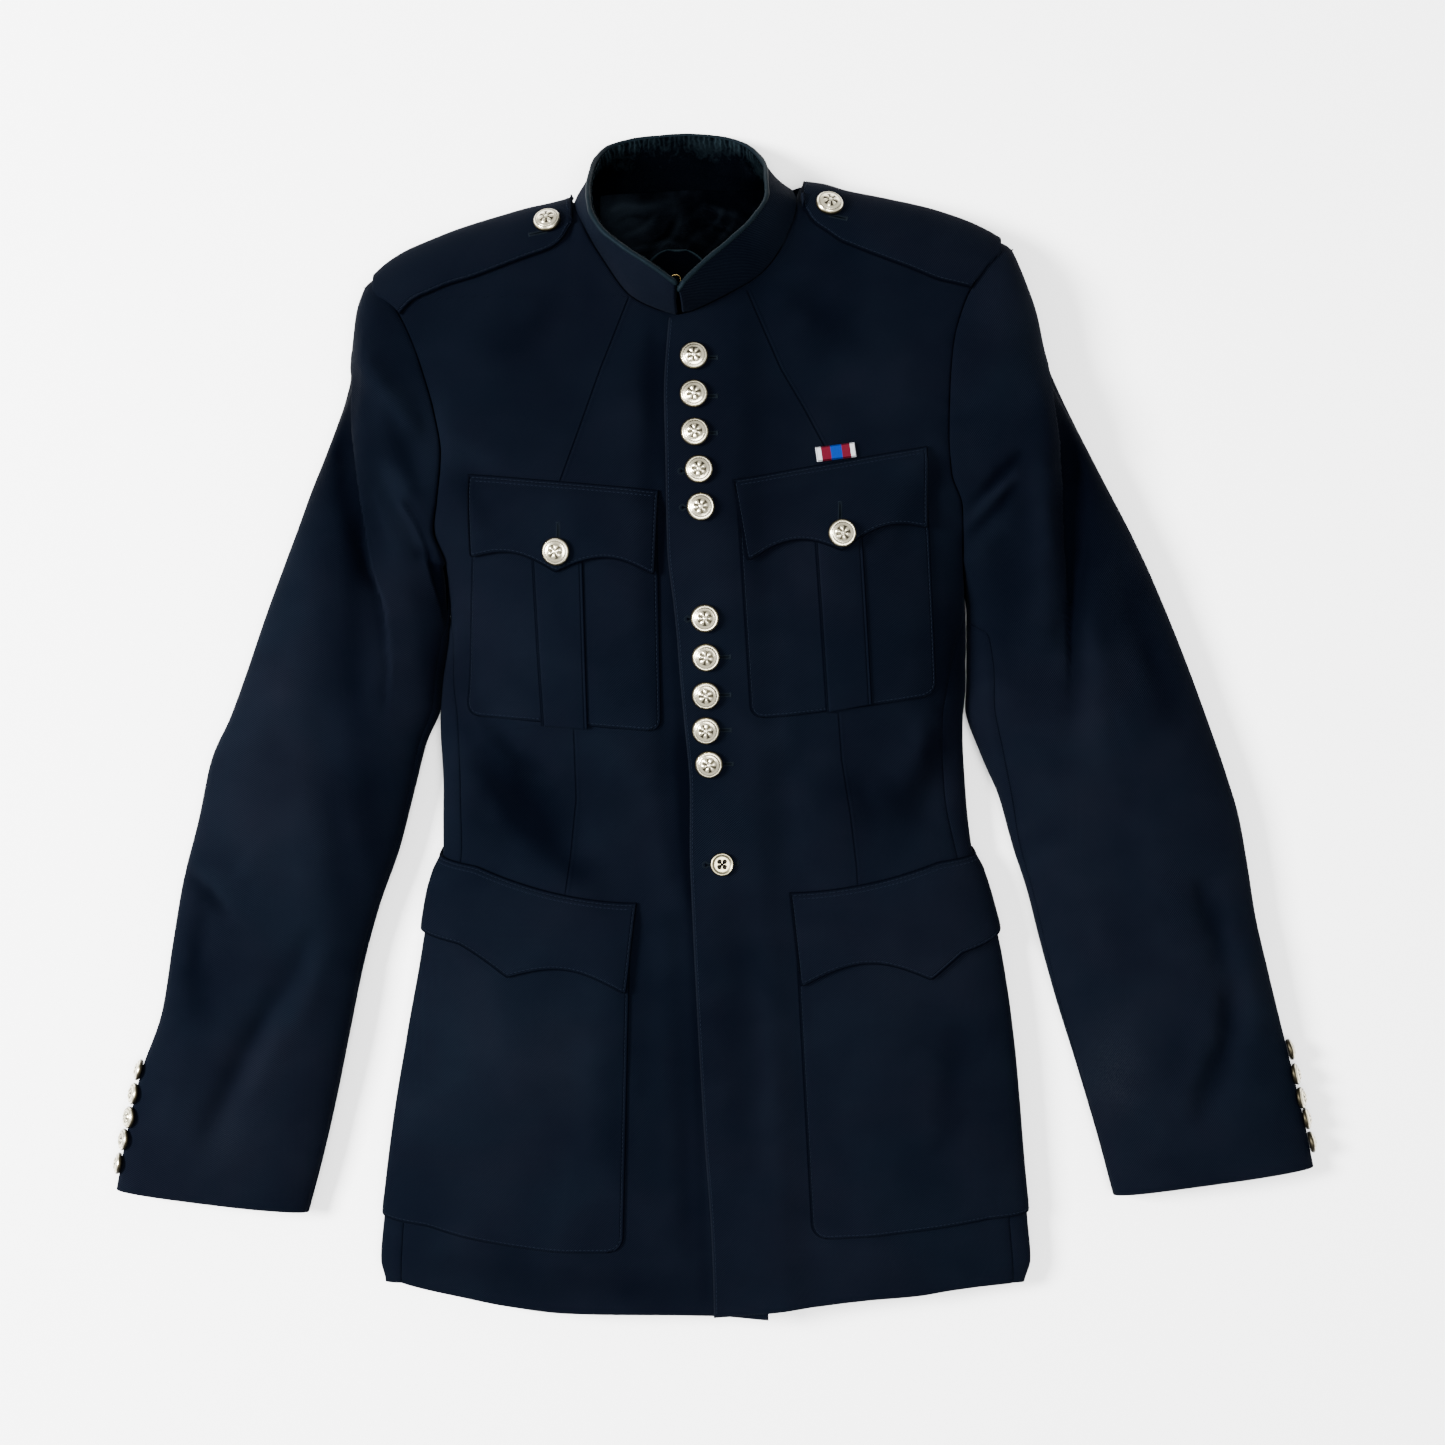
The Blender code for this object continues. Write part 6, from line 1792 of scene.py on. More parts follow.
def stitches_on(line, tree, pitch=STITCH_PITCH, length=STITCH_LENGTH):
    """Starts, ends and normals of a row of stitches along a line that lies on a surface."""
    run = run_along(line)
    count = max(int(run[-1] / pitch), 1)
    starts, ends, normals = [], [], []
    for t in (np.arange(count) + 0.15) * run[-1] / count:
        a, b = ([np.interp(at, run, line[:, k]) for k in range(3)] for at in (t, t + length))
        near_a, normal, _, _ = tree.find_nearest(a)
        near_b, _, _, _ = tree.find_nearest(b)
        a, b = np.array(near_a), np.array(near_b)
        if 0.4 * length < np.linalg.norm(b - a) < 1.5 * length:
            starts.append(a)
            ends.append(b)
            normals.append(np.array(normal))
    return starts, ends, normals


def sewn(name, points, sides, distances, word="edge"):
    """Rows of topstitching on a piece, at these distances from its edges."""
    tree = TREES[name]
    starts, ends, normals = [], [], []
    for distance in distances:
        line = inset(points, sides, distance, tree)
        a, b, n = stitches_on(line, tree)
        starts += a
        ends += b
        normals += n
    normals = np.array(normals)
    middle = points[len(points) // 2, points.shape[1] // 2]
    outward = turned(points, (0, 0, 1))[len(points) // 2, points.shape[1] // 2]
    _, at_middle, _, _ = tree.find_nearest(middle.tolist())
    if np.dot(np.array(at_middle), outward) < 0:
        normals = -normals
    thread_mesh(f"stitches_{word}_{name}", starts, ends, normals, STITCH_RADIUS)


STRAP_END_CLEAR = 1.2


def strap(side):
    """A shoulder strap, from the front over the shoulder line to the back."""
    name = f"epaulette_{SIDE_NAME[side]}"
    rows = np.array([(x, reach) for which, x, reach in STRAPS[1:] if which == side], float)
    count = len(rows)
    at = np.concatenate([np.linspace(0, 2, 22)[:-1], np.linspace(2, count - 1, 48)])
    xs = smooth(np.arange(float(count)), rows[:, 0], at)
    reaches = smooth(np.arange(float(count)), rows[:, 1], at)
    near = np.linspace(1, 0.05, 34)
    stretch = np.sqrt(1 + shoulder_slope(xs) ** 2)
    height = front_height(side)
    hole = armhole_at(side, np.linspace(0, HEAD_ROWS - 1, 60))
    end_y = smooth(SHOULDER["x"], SHOULDER["y"], xs[-1]) - near * reaches[-1] * stretch[-1]
    end_x = np.interp(-end_y, -hole[:, 1], hole[:, 0]) - side * STRAP_END_CLEAR
    share = np.clip((xs - xs[0]) / (xs[-1] - xs[0]) * 2 - 1, 0, 1)
    x_grid = xs[:, None] + share[:, None] ** 1.5 * (end_x - xs[-1])[None]
    line_y = smooth(SHOULDER["x"], SHOULDER["y"], x_grid)
    y_grid = line_y - near[None] * (reaches * stretch)[:, None]
    front_part = np.stack([x_grid, y_grid, height(x_grid, y_grid)], axis=-1)
    turn = np.radians(np.linspace(0, STRAP_WRAP, 10))[None]
    inward = SHOULDER_EDGE * UNDER_ROUND * (1 - np.cos(turn)) * stretch[:, None]
    back_part = np.stack(
        np.broadcast_arrays(x_grid[:, -1:], line_y[:, -1:] - inward, SHOULDER_EDGE * (1 - np.sin(turn))), axis=-1
    )
    base = np.concatenate([front_part, back_part], axis=1)
    hint = np.array([0, 0.8, 0.6])
    x, y = base[..., 0], base[..., 1]
    lift = STRAP_GAP * 0.6 - 0.25 * bell(edge_distance(base, "ltr") - STITCH_INSET, 1.1) + 0.5 * rumple(x, y)
    surface = lifted(base, turned(base, hint), lift + STRAP_WALL)
    keep_tree(name, surface)
    shell(
        name, surface, turned(surface, hint), STRAP_WALL, (FREE_EDGE, FREE_EDGE, SEAM_EDGE, FREE_EDGE),
        ("cloth_sewn", "cloth"), grain_uv(x, y, math.radians(12 * side)),
        # Painted shade on the straps, darker on the right one
        {"edge": edge_distance(surface, "ltr"), "paleness": paleness_at(x, y), "nap_and_painted_light": -0.32 if side == RIGHT else -0.12},
    )
    starts, ends, found = stitches_on(inset(surface, "lt", STITCH_INSET, TREES[name]), TREES[name])
    found = np.array(found)
    found *= np.sign((found * hint).sum(axis=1, keepdims=True))
    thread_mesh(f"stitches_edge_{name}", starts, ends, found, STITCH_RADIUS)


# How far the collar's ends go on past the table's rows, and how deep its foot sits in the fronts
COLLAR_END_REACH = 0.5
COLLAR_TUCK = 0.6


def collar_fine(count):
    """The collar's foot, its way up, its height and its way in, at many rows."""
    rows = len(COLLAR["seam_x"])
    at = np.linspace(0, rows - 1, count)
    x, y = COLLAR["seam_x"], COLLAR["seam_y"]
    index = np.arange(rows)
    at_back = (index > NECK_POINT_RIGHT) & (index < NECK_POINT_LEFT)
    side = np.where(index <= COLLAR_BACK, RIGHT, LEFT)
    top = np.where(side == RIGHT, body_top(x, y), front_height(LEFT)(x, y))
    z = np.where(at_back, body_under(x, y) + 0.2, top + 0.1 - COLLAR_TUCK)
    foot = (x - np.where(at_back, 0, 0.3) * side, y + np.where(at_back, 0.4, 0), z)
    lower = fine_smooth(rows, foot, at)
    upper = fine_smooth(rows, [COLLAR[name] for name in ("top_x", "top_y", "top_z")], at)
    for end, beside in ((0, 1), (-1, -2)):
        for line in (lower, upper):
            line[end] += unit(line[end] - line[beside]) * COLLAR_END_REACH
    rise = upper - lower
    tall = np.linalg.norm(rise, axis=1, keepdims=True)
    up = rise / tall
    run = np.gradient(lower, axis=0) + np.gradient(upper, axis=0)
    inward = unit(np.cross(up, run))
    inward *= np.sign(((np.array(COLLAR_MIDDLE) - (lower + upper) / 2) * inward).sum(axis=1, keepdims=True))
    return at, lower, up, tall, inward


def collar():
    """The stand collar, its gathered facing and the piping along its top edge."""
    at, lower, up, tall, inward = collar_fine(230)
    reach = (tall - 1.1 * EDGING_RADIUS)[:, None]

    def stood(levels):
        """The collar's middle layer at some levels from its foot up, swelling outwards halfway."""
        swell = COLLAR_SWELL * eased(lower[:, 2:] / 30)[:, None] * np.sin(np.pi * levels)
        return lower[:, None] + up[:, None] * reach * levels - inward[:, None] * swell

    def collar_uv(levels):
        return np.stack(np.broadcast_arrays(run[:, None], levels[..., 0] * reach[..., 0]), axis=-1) * METRES

    levels = np.linspace(0, 1, 15)[None, :, None]
    wave = 0.25 * np.sin(1.9 * at + 0.4)[:, None, None] * np.sin(np.pi * levels)
    wave = wave + 0.12 * np.sin(4.7 * at)[:, None, None] * levels
    outer = stood(levels) - inward[:, None] * wave
    outward = -inward[:, None] * np.ones((1, 15, 1))
    run = run_along((lower + outer[:, -1]) / 2)
    shell(
        "collar", outer, outward, COLLAR_WALL, (SEAM_EDGE, 0.2, SEAM_EDGE, SEAM_EDGE), ("cloth", "cloth"),
        # The outer collar is lightened a little with painted light
        collar_uv(levels), {"edge": FAR_OFF, "paleness": 0.0, "nap_and_painted_light": 0.15},
    )
    levels = np.linspace(0, 1, 26)[None, :, None]
    t = run[:, None, None]
    pull = 0.5 + 0.5 * np.sin(t / 17 + 1.3 * np.sin(t / 41))
    drawn = np.sin(t / 1.9 + 0.9 * np.sin(t / 9) + 1.4 * levels)
    gathers = 0.42 * drawn * levels**2 * pull
    gathers = gathers + 0.5 * np.sin(t / 4.9 + 2.5 * levels + np.sin(t / 13)) * np.sin(np.pi * levels) ** 1.5
    gathers = gathers + 0.55 * np.sin(3 * np.pi * levels + t / 23) * np.sin(np.pi * levels)
    pleats = 0.5 + 0.5 * drawn
    gather = (0.35 + 0.65 * pull) * eased((levels - 0.70) / 0.26) * (0.6 + 0.4 * pleats)
    # Painted sheen on the facing: highlights on the gathers near the top, highlight patches, and painted shade
    # low down in the collar
    painted_sheen = 0.34 * pleats * pull * eased((levels - 0.66) / 0.3) + 0.12 * eased((levels - 0.55) / 0.4)
    highlight_patches = np.sin(t / 13 + 2.2 * levels + 0.6) * np.sin(t / 29 + 1.0) * np.sin(np.pi * levels)
    painted_low_shade = 0.30 * eased((0.52 + 0.10 * np.sin(t / 11) - levels) / 0.12)
    painted_sheen = np.clip(painted_sheen + 0.55 * np.clip(highlight_patches, 0, 1) - 0.06 - painted_low_shade, -0.6, 1)
    faced = stood(levels) + inward[:, None] * (COLLAR_WALL + FACING_GAP * 0.6 + 0.35 + FACING_WALL + gathers)
    faced = faced + up[:, None] * FACING_START * (1 - levels) * 0.35
    normals = turned(faced, inward[len(inward) // 2])
    lean = (normals * inward[:, None]).sum(axis=-1, keepdims=True)
    normals = normals * np.where(lean.mean() < 0, -1, 1)
    shell(
        "collar_facing", faced, normals, FACING_WALL, (0.5, THIN_EDGE, 0.5, THIN_EDGE), ("facing", "facing"),
        collar_uv(levels), {"edge": FAR_OFF, "nap_and_painted_light": painted_sheen, "gather": gather},
    )
    centre = lower + up * (tall - EDGING_RADIUS) + inward * COLLAR_WALL / 2
    turns = np.linspace(0, 2 * np.pi, 14, endpoint=False)
    wide = EDGING_RADIUS * (1 + 0.05 * np.sin(7.3 * at) + 0.03 * np.sin(17 * at))[:, None, None]
    circle = np.cos(turns)[None, :, None] * up[:, None] + 1.12 * np.sin(turns)[None, :, None] * inward[:, None]
    tube_piece("collar_edging", centre[:, None] + wide * circle, "piping", run)


def tube_piece(name, points, look, run=None):
    """A closed tube from rings of points, with rounded ends."""
    sides = points.shape[1]
    centre = points.mean(axis=1)
    caps = []
    for end, beside in ((0, 1), (-1, -2)):
        way = unit(centre[end] - centre[beside])
        radius = np.linalg.norm(points[end] - centre[end], axis=1).mean()
        ring = centre[end] + (points[end] - centre[end]) * 0.72 + way * radius * 0.7
        caps.append((ring, centre[end] + way * radius))
    rings = np.concatenate([caps[0][0][None], points, caps[1][0][None]])
    every = np.concatenate([rings.reshape(-1, 3), caps[0][1][None], caps[1][1][None]])
    total = len(rings)
    faces = ring_faces(total, sides)
    for j in range(sides):
        k = (j + 1) % sides
        faces.append((total * sides, k, j))
        faces.append((total * sides + 1, (total - 1) * sides + j, (total - 1) * sides + k))
    uv = None
    if run is not None:
        along = np.concatenate([[run[0]], run, [run[-1]]])
        uv = np.stack([np.repeat(along, sides), np.tile(np.arange(sides) * 0.8, total)], axis=1) * METRES
        uv = np.concatenate([uv, uv[:1], uv[-1:]])
    piece(name, every, faces, (look,), uv=uv)


# How far the lining goes in under the collar's seam
LINING_TUCK = 0.8


def lining():
    """The satin lining that shows in the neck, creased, with a pleat down its middle."""
    x, depth = np.meshgrid(np.linspace(LINING_RIGHT, LINING_LEFT, 96), np.linspace(0, 1, 76))
    at_back = slice(NECK_POINT_RIGHT + 1, NECK_POINT_LEFT)
    seam_y = np.interp(x, COLLAR["seam_x"][at_back], COLLAR["seam_y"][at_back])
    y = seam_y + LINING_TUCK - (LINING_START + LINING_TUCK + LINING_DEPTH) * depth
    hold = np.sin(np.pi * np.clip(depth, 0.02, 0.98)) ** 0.5
    warp = x + 7 * np.sin(y / 19) + 4 * np.sin(y / 7.3 + x / 15)
    raised_by = 0.35 * np.abs(np.sin(warp / 6.2 + y / 9 + 1)) ** 0.8 + 0.3 * np.abs(np.sin(y / 6.5 + warp / 14))
    folded = np.zeros(np.shape(x))
    for path, width, rise in LINING_FOLDS[1:]:
        away, along = path_distance(path, x, y, LINING_LIES)
        folded = folded + rise * faded(along, 0.04, 0.7) * bell(away, width)
    raised_by = np.clip(raised_by + 1.1 + folded, 0.15, 4)
    # A painted highlight spot on the lining, brighter on raised folds, with painted shade to the right and lower
    # down
    shine_x, shine_y = place(622, 216, LINING_LIES)
    painted_shine = 0.55 * bell(x - shine_x, 15) * bell(y - shine_y, 12) + 0.05 + 0.26 * folded
    painted_shine = painted_shine - 0.16 * eased((x - shine_x - 40) / 10) - 0.2 * eased((shine_y - 24 - y) / 10)
    pleat_top_x, pleat_top_y = place(684, 225, LINING_LIES)
    pleat_x = pleat_top_x + (y - pleat_top_y) * 0.02
    pleat = 0.8 * eased((x - pleat_x) / 1.6) * eased((pleat_x + 12 - x) / 11)
    start = WALL + 4 * GAP + LINING_RISE * 4 * depth * (1 - depth)
    height = start + LINING_WALL + raised_by * hold + pleat
    surface = lifted(raised(x, y, body_under), height_normal(body_under, x, y), height)
    shell(
        "back_lining", surface, turned(surface, UP), LINING_WALL * 0.8, (THIN_EDGE,) * 4, ("satin", "satin"),
        grain_uv(x, y), {"edge": FAR_OFF, "nap_and_painted_light": painted_shine},
    )


def tab_and_hook():
    """The half-round guard inside the collar's front and the wire hook on it."""
    width = crowded(56, 0.7)[None, :] * 2 - 1
    depth = np.linspace(0, 1, 26)[:, None]
    middle_x, front_y, front_z = TAB["front"]
    x = middle_x + TAB["half_width"] * width * np.sqrt(np.clip(1 - (0.96 * depth) ** 2, 0, 1))
    y = front_y + TAB["length"] * depth + TAB["side_set_back"] * np.abs(width) ** 1.2 * (1 - depth)
    z = front_z - TAB["drop"] * depth + 0.35 * np.cos(3 * width) * np.sin(np.pi * depth)
    surface = np.stack([x, y, z], axis=-1) + np.array([0, 0.3, 0.95]) * TAB["thick"]
    keep_tree("collar_tab", surface)
    rim = edge_distance(surface, "lrb")
    shell(
        "collar_tab", surface, turned(surface, UP), TAB["thick"], (SMALL_EDGE,) * 4, ("facing", "cloth"),
        grain_uv(x, y, 0.6),
        # Painted shade over the tab, with a painted highlight along its rim
        {"edge": rim, "paleness": 0.0, "gather": 0.0, "nap_and_painted_light": -0.35 + 1.15 * bell(rim, 2.0)},
    )
    turn = np.linspace(math.radians(-30), math.radians(210), 40)
    ray = np.stack([np.cos(turn), np.sin(turn), 0 * turn], axis=1)
    centre = np.array(HOOK["middle"]) + HOOK["radius"] * ray
    turns = np.linspace(0, 2 * np.pi, 10, endpoint=False)
    circle = np.cos(turns)[None, :, None] * ray[:, None] + np.sin(turns)[None, :, None] * np.array(UP)
    tube_piece("collar_hook", centre[:, None] + 0.36 * HOOK["wire"] * circle, "brass")


def polar(name, place_at, normal, width, rings, sectors, height, look, turn=0.0):
    """A turned form with relief: height gives, for radius shares and angles, its level and how dark it is with
    patina and painted shade.
    """
    normal = unit(np.asarray(normal, float))
    first = unit(np.cross([0, 1, 0], normal))
    second = np.cross(normal, first)
    turns = np.linspace(0, 2 * np.pi, sectors, endpoint=False)
    radius = np.concatenate([[0.62, 0.86, 0.975], rings])
    levels, marks = height(rings[:, None], turns[None] + turn)
    levels = np.concatenate([np.array([0.0, 0.004, 0.045])[:, None] * np.ones((1, sectors)), levels])
    # The foot rings and the middle underneath are fully dark: painted shade under the button
    marks = np.concatenate([np.ones((3, sectors)), marks])
    ray = first * np.cos(turns)[:, None] + second * np.sin(turns)[:, None]
    points = place_at + ray * (radius * width / 2)[:, None, None] + normal * (levels * width)[..., None]
    centre_level, centre_mark = height(np.zeros((1, 1)), np.zeros((1, 1)))
    top = place_at + normal * centre_level[0, 0] * width
    total = len(radius)
    last = (total - 1) * sectors
    faces = ring_faces(total, sectors)
    for j in range(sectors):
        k = (j + 1) % sectors
        faces.append((last + j, last + k, total * sectors))
        faces.append((k, j, total * sectors + 1))
    every = np.concatenate([points.reshape(-1, 3), top[None], place_at[None]])
    marks = np.concatenate([marks.ravel(), centre_mark.ravel(), [1.0]])
    piece(name, every, faces, (look,), values={"patina_and_shade": marks})


def crest(radius, turn):
    """A domed button: a bright rim, a dark ring, a plain field and a six-petalled flower."""
    dome = 0.135 + 0.175 * np.clip(1 - radius**2, 0, 1) ** 0.8
    rim = 0.020 * bell(radius - 0.86, 0.05)
    rope = 0.008 * bell(radius - 0.70, 0.04) * (0.5 + 0.5 * np.cos(26 * turn + 14 * radius))
    petal = 0.5 + 0.5 * np.cos(6 * turn) + 0 * radius
    petal = petal**1.3 * np.sin(np.pi * np.clip((radius - 0.16) / 0.40, 0, 1)) ** 0.7
    boss = 0.028 * bell(radius, 0.11)
    relief = rim + rope + 0.030 * petal + boss
    gaps = np.clip(1.15 - 1.9 * petal, 0, 1) * eased((0.58 - radius) / 0.08) * eased((radius - 0.10) / 0.08)
    ring = bell(radius - 0.77, 0.045) * (0.75 + 0.25 * np.cos(26 * turn))
    # Painted shade on one side of the dome
    side = 0.35 * eased((radius - 0.45) / 0.2) * np.clip(np.cos(turn - 2.3), 0, 1) ** 2
    patina_and_shade = np.clip(0.04 + 1.10 * gaps + 1.0 * ring + side, 0, 1)
    # Painted shade on the button's outer edge
    patina_and_shade = np.maximum(patina_and_shade, 1.3 * eased((radius - 0.90) / 0.05))
    return dome + relief, patina_and_shade


def crest_button(name, place_at, normal, width, turn=0.0, sectors=72):
    rings = np.concatenate([np.linspace(1.0, 0.86, 8), np.linspace(0.84, 0.64, 11), np.linspace(0.61, 0.04, 18)])
    polar(name, place_at, normal, width, rings, sectors, crest, "silver", turn)


def four_hole(radius, turn):
    """A flat button: a rolled rim round a sunk plate with four holes."""
    level = 0.12 + 0.055 * bell(radius - 0.88, 0.11) - 0.012 * eased((0.76 - radius) / 0.06)
    x, y = radius * np.cos(turn), radius * np.sin(turn)
    hole = np.zeros(np.broadcast(radius, turn).shape)
    for sx in (-1, 1):
        for sy in (-1, 1):
            away = np.hypot(x - sx * 0.225, y - sy * 0.225)
            hole = np.maximum(hole, eased((0.19 - away) / 0.05))
    level = level - 0.10 * hole
    # Painted shade in the four holes, and patina round the sunk plate
    patina_and_shade = np.maximum(1.7 * hole, 0.75 * bell(radius - 0.70, 0.06))
    # Painted shade on the button's outer edge
    patina_and_shade = np.maximum(patina_and_shade, 1.3 * eased((radius - 0.91) / 0.05))
    return level + 0 * turn, patina_and_shade + 0 * turn


def dropped(tree, spot):
    """What lies under a place, seen from above: the spot and its normal, or None where there is nothing."""
    hit, normal, _, _ = tree.ray_cast(Vector((float(spot[0]), float(spot[1]), ABOVE_ALL)), Vector(DOWN))
    return None if hit is None else (np.array(hit), np.array(normal) * np.sign(normal[2]))


def seen(name, px, py):
    """The spot on a dressed piece that a place of the photograph shows, in table millimetres."""
    spot = place(px, py)
    for _ in range(3):
        found = dropped(TREES[name], spot)
        if found:
            spot = place(px, py, found[0][2])
    return spot


def buttonhole(name, tree, centre, way, length, eye, gap=1.0):
    """A worked buttonhole: thread side by side along both lips of a slit, with a bar or an eyelet at its end."""
    centre, way = np.asarray(centre, float), unit(np.asarray(way, float))
    beside = np.array([-way[1], way[0]])
    end = centre + way * (length / 2)
    starts, ends, normals = [], [], []

    def add(a, b):
        first, last = dropped(tree, a), dropped(tree, b)
        if first and last:
            starts.append(first[0])
            ends.append(last[0])
            normals.append(first[1])

    for t in np.arange(-length / 2, length / 2 + 0.01, HOLE_PITCH):
        for lip in (-1, 1):
            add(centre + way * t + beside * lip * 0.15, centre + way * t + beside * lip * (gap + 0.55))
    if eye:
        for turn in np.linspace(-2.3, 2.3, 13):
            out = way * math.cos(turn) + beside * math.sin(turn)
            add(end + out * 1.35, end + out * 2.7)
    else:
        for t in np.linspace(-0.5, 0.5, 4):
            spot = end + way * (0.35 + 0.3 * t)
            add(spot - beside * 1.9, spot + beside * 1.9)
    if starts:
        thread_mesh(name, starts, ends, normals, HOLE_THREAD, "hole_thread", 0.15)
        # The eyelet and the slit are dark pieces of painted shade, where the opening would show
        if eye:
            a, b = (dropped(tree, end + way * shift)[0] for shift in (-0.5, 0.5))
            thread_mesh(f"{name}_eye", [a], [b], [normals[0]], HOLE_EYE, "slit", -0.35)
        middle, last = (starts[0] + starts[1]) / 2, dropped(tree, end)[0]
        thread_mesh(f"{name}_slit", [middle], [last], [normals[0]], HOLE_SLIT, "slit", -0.2)


def button_place(on, x, y, lift, reach=7.0):
    """Where a button stands on a piece, and the piece's average lie under it."""
    places = ((x, y), (x + reach, y), (x - reach, y), (x, y + reach), (x, y - reach))
    found = [dropped(TREES[on], spot) for spot in places]
    normal = unit(np.mean([spot[1] for spot in found if spot], axis=0))
    return found[0][0] + normal * lift, normal


def buttons():
    """The front, flat, breast, strap and cuff buttons."""
    for i, (x, y) in enumerate(FRONT_BUTTONS[1:]):
        spot, normal = button_place("front_left", x, y, 0.25)
        crest_button(f"front_button_{i + 1:02d}", spot, normal, FRONT_BUTTON, 0.21 * i)
    spot, normal = button_place("front_left", *FLAT_BUTTON_PLACE, 0.3)
    rings = np.concatenate([np.linspace(1.0, 0.70, 16), np.linspace(0.68, 0.03, 26)])
    polar("flat_button", spot, normal, FLAT_BUTTON, rings, 72, four_hole, "flat_silver")
    top = spot + normal * 0.135 * FLAT_BUTTON
    # Real thread through the holes, in the near-black painted shade look of the buttonhole openings
    pairs = (((-1, -1), (1, 1)), ((-1, 1), (1, -1)), ((-0.9, -1.1), (1.1, 0.9)))
    a, b = ([top + np.array([*pair[k], 0.0]) * 1.75 for pair in pairs] for k in (0, 1))
    thread_mesh("flat_button_thread", a, b, [normal] * 3, 0.55, "slit", -0.45)
    for side, x, y in BREAST_BUTTONS:
        spot, normal = button_place(f"breast_flap_{SIDE_NAME[side]}", x, y, 0.3)
        crest_button(f"breast_button_{SIDE_NAME[side]}", spot, normal, FRONT_BUTTON, 0.3 * side)
    for side, x, y in STRAP_BUTTONS:
        spot, normal = button_place(f"epaulette_{SIDE_NAME[side]}", x, y, -0.2, 5.0)
        crest_button(f"epaulette_button_{SIDE_NAME[side]}", spot, normal, FRONT_BUTTON, 0.9)
    for side, rings, heights in CUFF_BUTTON_ROWS:
        table = SLEEVE[side]
        for i, (ring, y) in enumerate(zip(rings, heights)):
            row = float(np.interp(-y, -table["outer_y"], np.arange(len(table["outer_y"]))))
            normal = sleeve_normal(side, np.array(row), np.array(ring))
            spot = sleeve_point(side, row, ring) + normal * GAP
            crest_button(f"cuff_button_{SIDE_NAME[side]}_{i + 1}", spot, normal, CUFF_BUTTON, 0.4 * i, 60)


# Buttonholes: where the photograph shows each one's middle, and whether it ends in an eyelet or a bar
HOLE_MARKS = (
    ("on", "px", "py", "way", "length", "eyelet"),
    ("front_left", 706, 357.5, (1, 0), 14.5, False),
    ("front_left", 706, 396, (1, 0), 14.5, False),
    ("front_left", 706, 433, (1, 0), 14.5, False),
    ("front_left", 690.5, 471, (-1, 0), 12.5, True),
    ("front_left", 692, 507.5, (-1, 0), 12.5, True),
    ("front_left", 697, 619, (-1, 0), 12.5, True),
    ("front_left", 719, 657, (1, 0), 14.5, False),
    ("front_left", 719.5, 695, (1, 0), 14.5, False),
    ("front_left", 720, 730, (1, 0), 14.5, False),
    ("front_left", 722, 764, (1, 0), 14.5, False),
    ("front_left", 714.5, 865, (-1, 0), 12, True),
    ("front_left", 729, 864, (1, 0), 12, False),
    ("breast_flap_right", 558, 535, (0.02, 1), 16, False),
    ("breast_flap_left", 840, 514, (0.02, 1), 16, False),
    ("epaulette_right", 538, 233, (-1, -0.2), 12, False),
    ("epaulette_left", 838, 217, (1, -0.2), 12, False),
)


def ribbon():
    """The ribbon bar above the left breast pocket, lying close to the front's own form."""
    width, tall, thick = RIBBON["size"]
    tilt = math.radians(RIBBON["tilt"])
    u = np.linspace(-0.5, 0.5, 60)[None, :]
    v = np.linspace(0.5, -0.5, 16)[:, None]
    x = RIBBON["middle"][0] + u * width * math.cos(tilt) - v * tall * math.sin(tilt)
    y = RIBBON["middle"][1] + u * width * math.sin(tilt) + v * tall * math.cos(tilt)
    on = TREES["front_left"]
    z = np.array([dropped(on, spot)[0][2] for spot in zip(x.flat, y.flat)]).reshape(x.shape)
    base = np.stack([x, y, z], axis=-1)
    share = u[..., None] + 0.5
    base = 0.3 * base + 0.7 * (base[:, :1] * (1 - share) + base[:, -1:] * share)
    swell = 0.35 * (1 - (2 * v) ** 2) + 0 * u
    surface = lifted(base, turned(base, UP), 2 * GAP + thick + swell)
    uv = np.stack(np.broadcast_arrays(u + 0.5, v + 0.5), axis=-1)
    shell(
        "ribbon_bar", surface, turned(surface, UP), thick, (SMALL_EDGE,) * 4, ("ribbon", "ribbon"),
        uv, {"edge": FAR_OFF},
    )


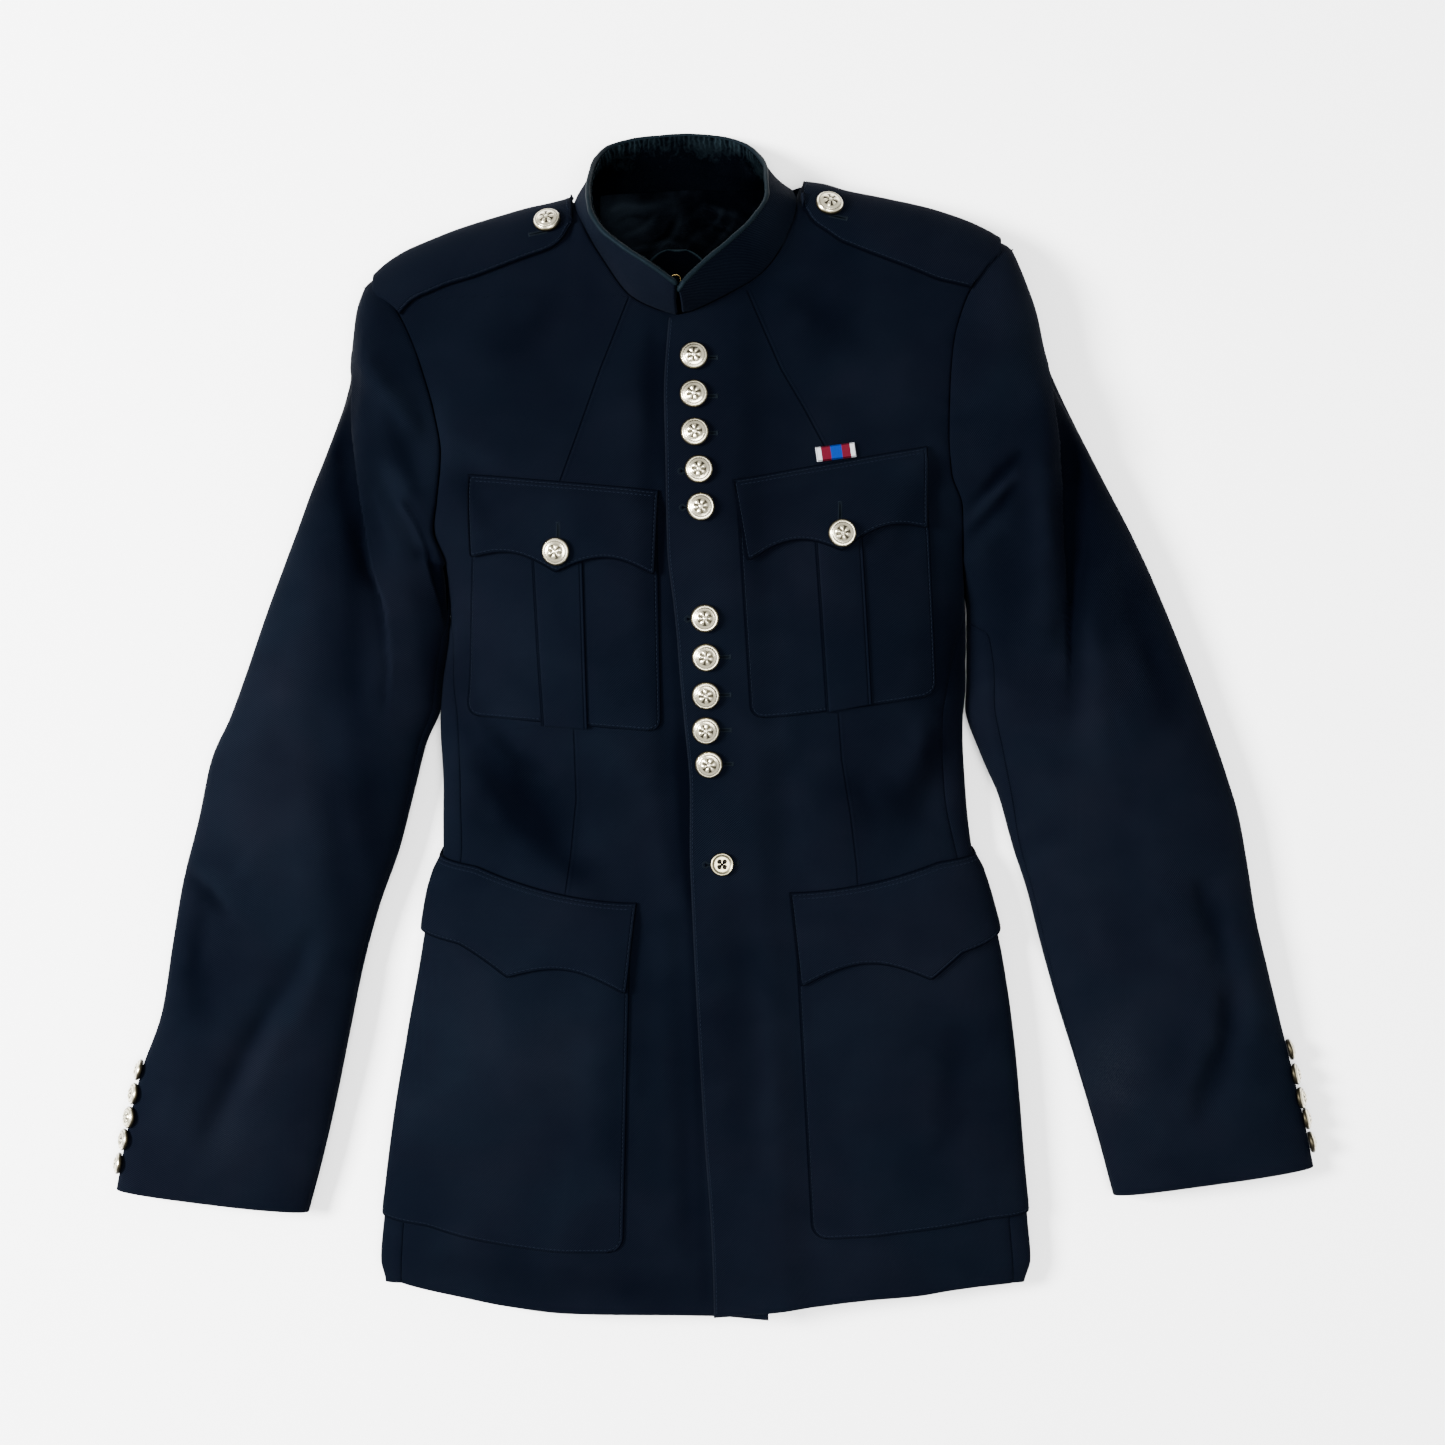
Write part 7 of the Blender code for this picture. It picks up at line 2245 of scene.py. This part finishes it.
# The studio, in metres and watts
WORLD_STRENGTH = 1.15
LAMPS = (
    ("name", "place", "size", "watts"),
    ("key", (-2.4, 0.3, 1.9), 0.9, 560),
    ("overhead", (0.35, -0.2, 2.8), 1.6, 190),
)
FLOOR_SIZE = 6.0
FLOOR_Z = -0.0006
SENSOR = 36


def studio():
    """A plain pale floor, soft light from above and the camera straight over the jacket."""
    bpy.ops.mesh.primitive_grid_add(x_subdivisions=8, y_subdivisions=8, size=FLOOR_SIZE, location=(0, 0, FLOOR_Z))
    floor = bpy.context.object
    floor.name = "studio_floor"
    floor.data.materials.append(floor_look())
    world = bpy.context.scene.world or bpy.data.worlds.new("studio")
    bpy.context.scene.world = world
    world.use_nodes = True
    world.node_tree.nodes["Background"].inputs[0].default_value = (1.0, 1.0, 1.0, 1)
    world.node_tree.nodes["Background"].inputs[1].default_value = WORLD_STRENGTH
    for name, place_at, size, watts in LAMPS[1:]:
        data = bpy.data.lights.new(name, "AREA")
        data.size = size
        data.energy = watts
        lamp = bpy.data.objects.new(name, data)
        lamp.location = place_at
        lamp.rotation_euler = (Vector((0, 0, 0.03)) - Vector(place_at)).to_track_quat("-Z", "Y").to_euler()
        bpy.context.collection.objects.link(lamp)
    data = bpy.data.cameras.new("photo_camera")
    data.sensor_width = SENSOR
    data.lens = SENSOR * CAMERA_HEIGHT / (2 * PHOTO_MIDDLE * PHOTO_MM * METRES)
    data.clip_start = 0.01
    camera = bpy.data.objects.new("photo_camera", data)
    camera.location = (-MIDDLE_X * METRES, -MIDDLE_Y * METRES, CAMERA_HEIGHT)
    bpy.context.collection.objects.link(camera)
    bpy.context.scene.camera = camera


def build():
    for side in (LEFT, RIGHT):
        front(side)
        side_body(side)
        back(side)
        sleeve(side)
        strap(side)
    pockets()
    flaps()
    collar()
    lining()
    tab_and_hook()
    buttons()
    ribbon()
    for i, (on, px, py, way, length, eye) in enumerate(HOLE_MARKS[1:]):
        buttonhole(f"buttonhole_{i + 1:02d}", TREES[on], seen(on, px, py), way, length, eye)


build()
studio()
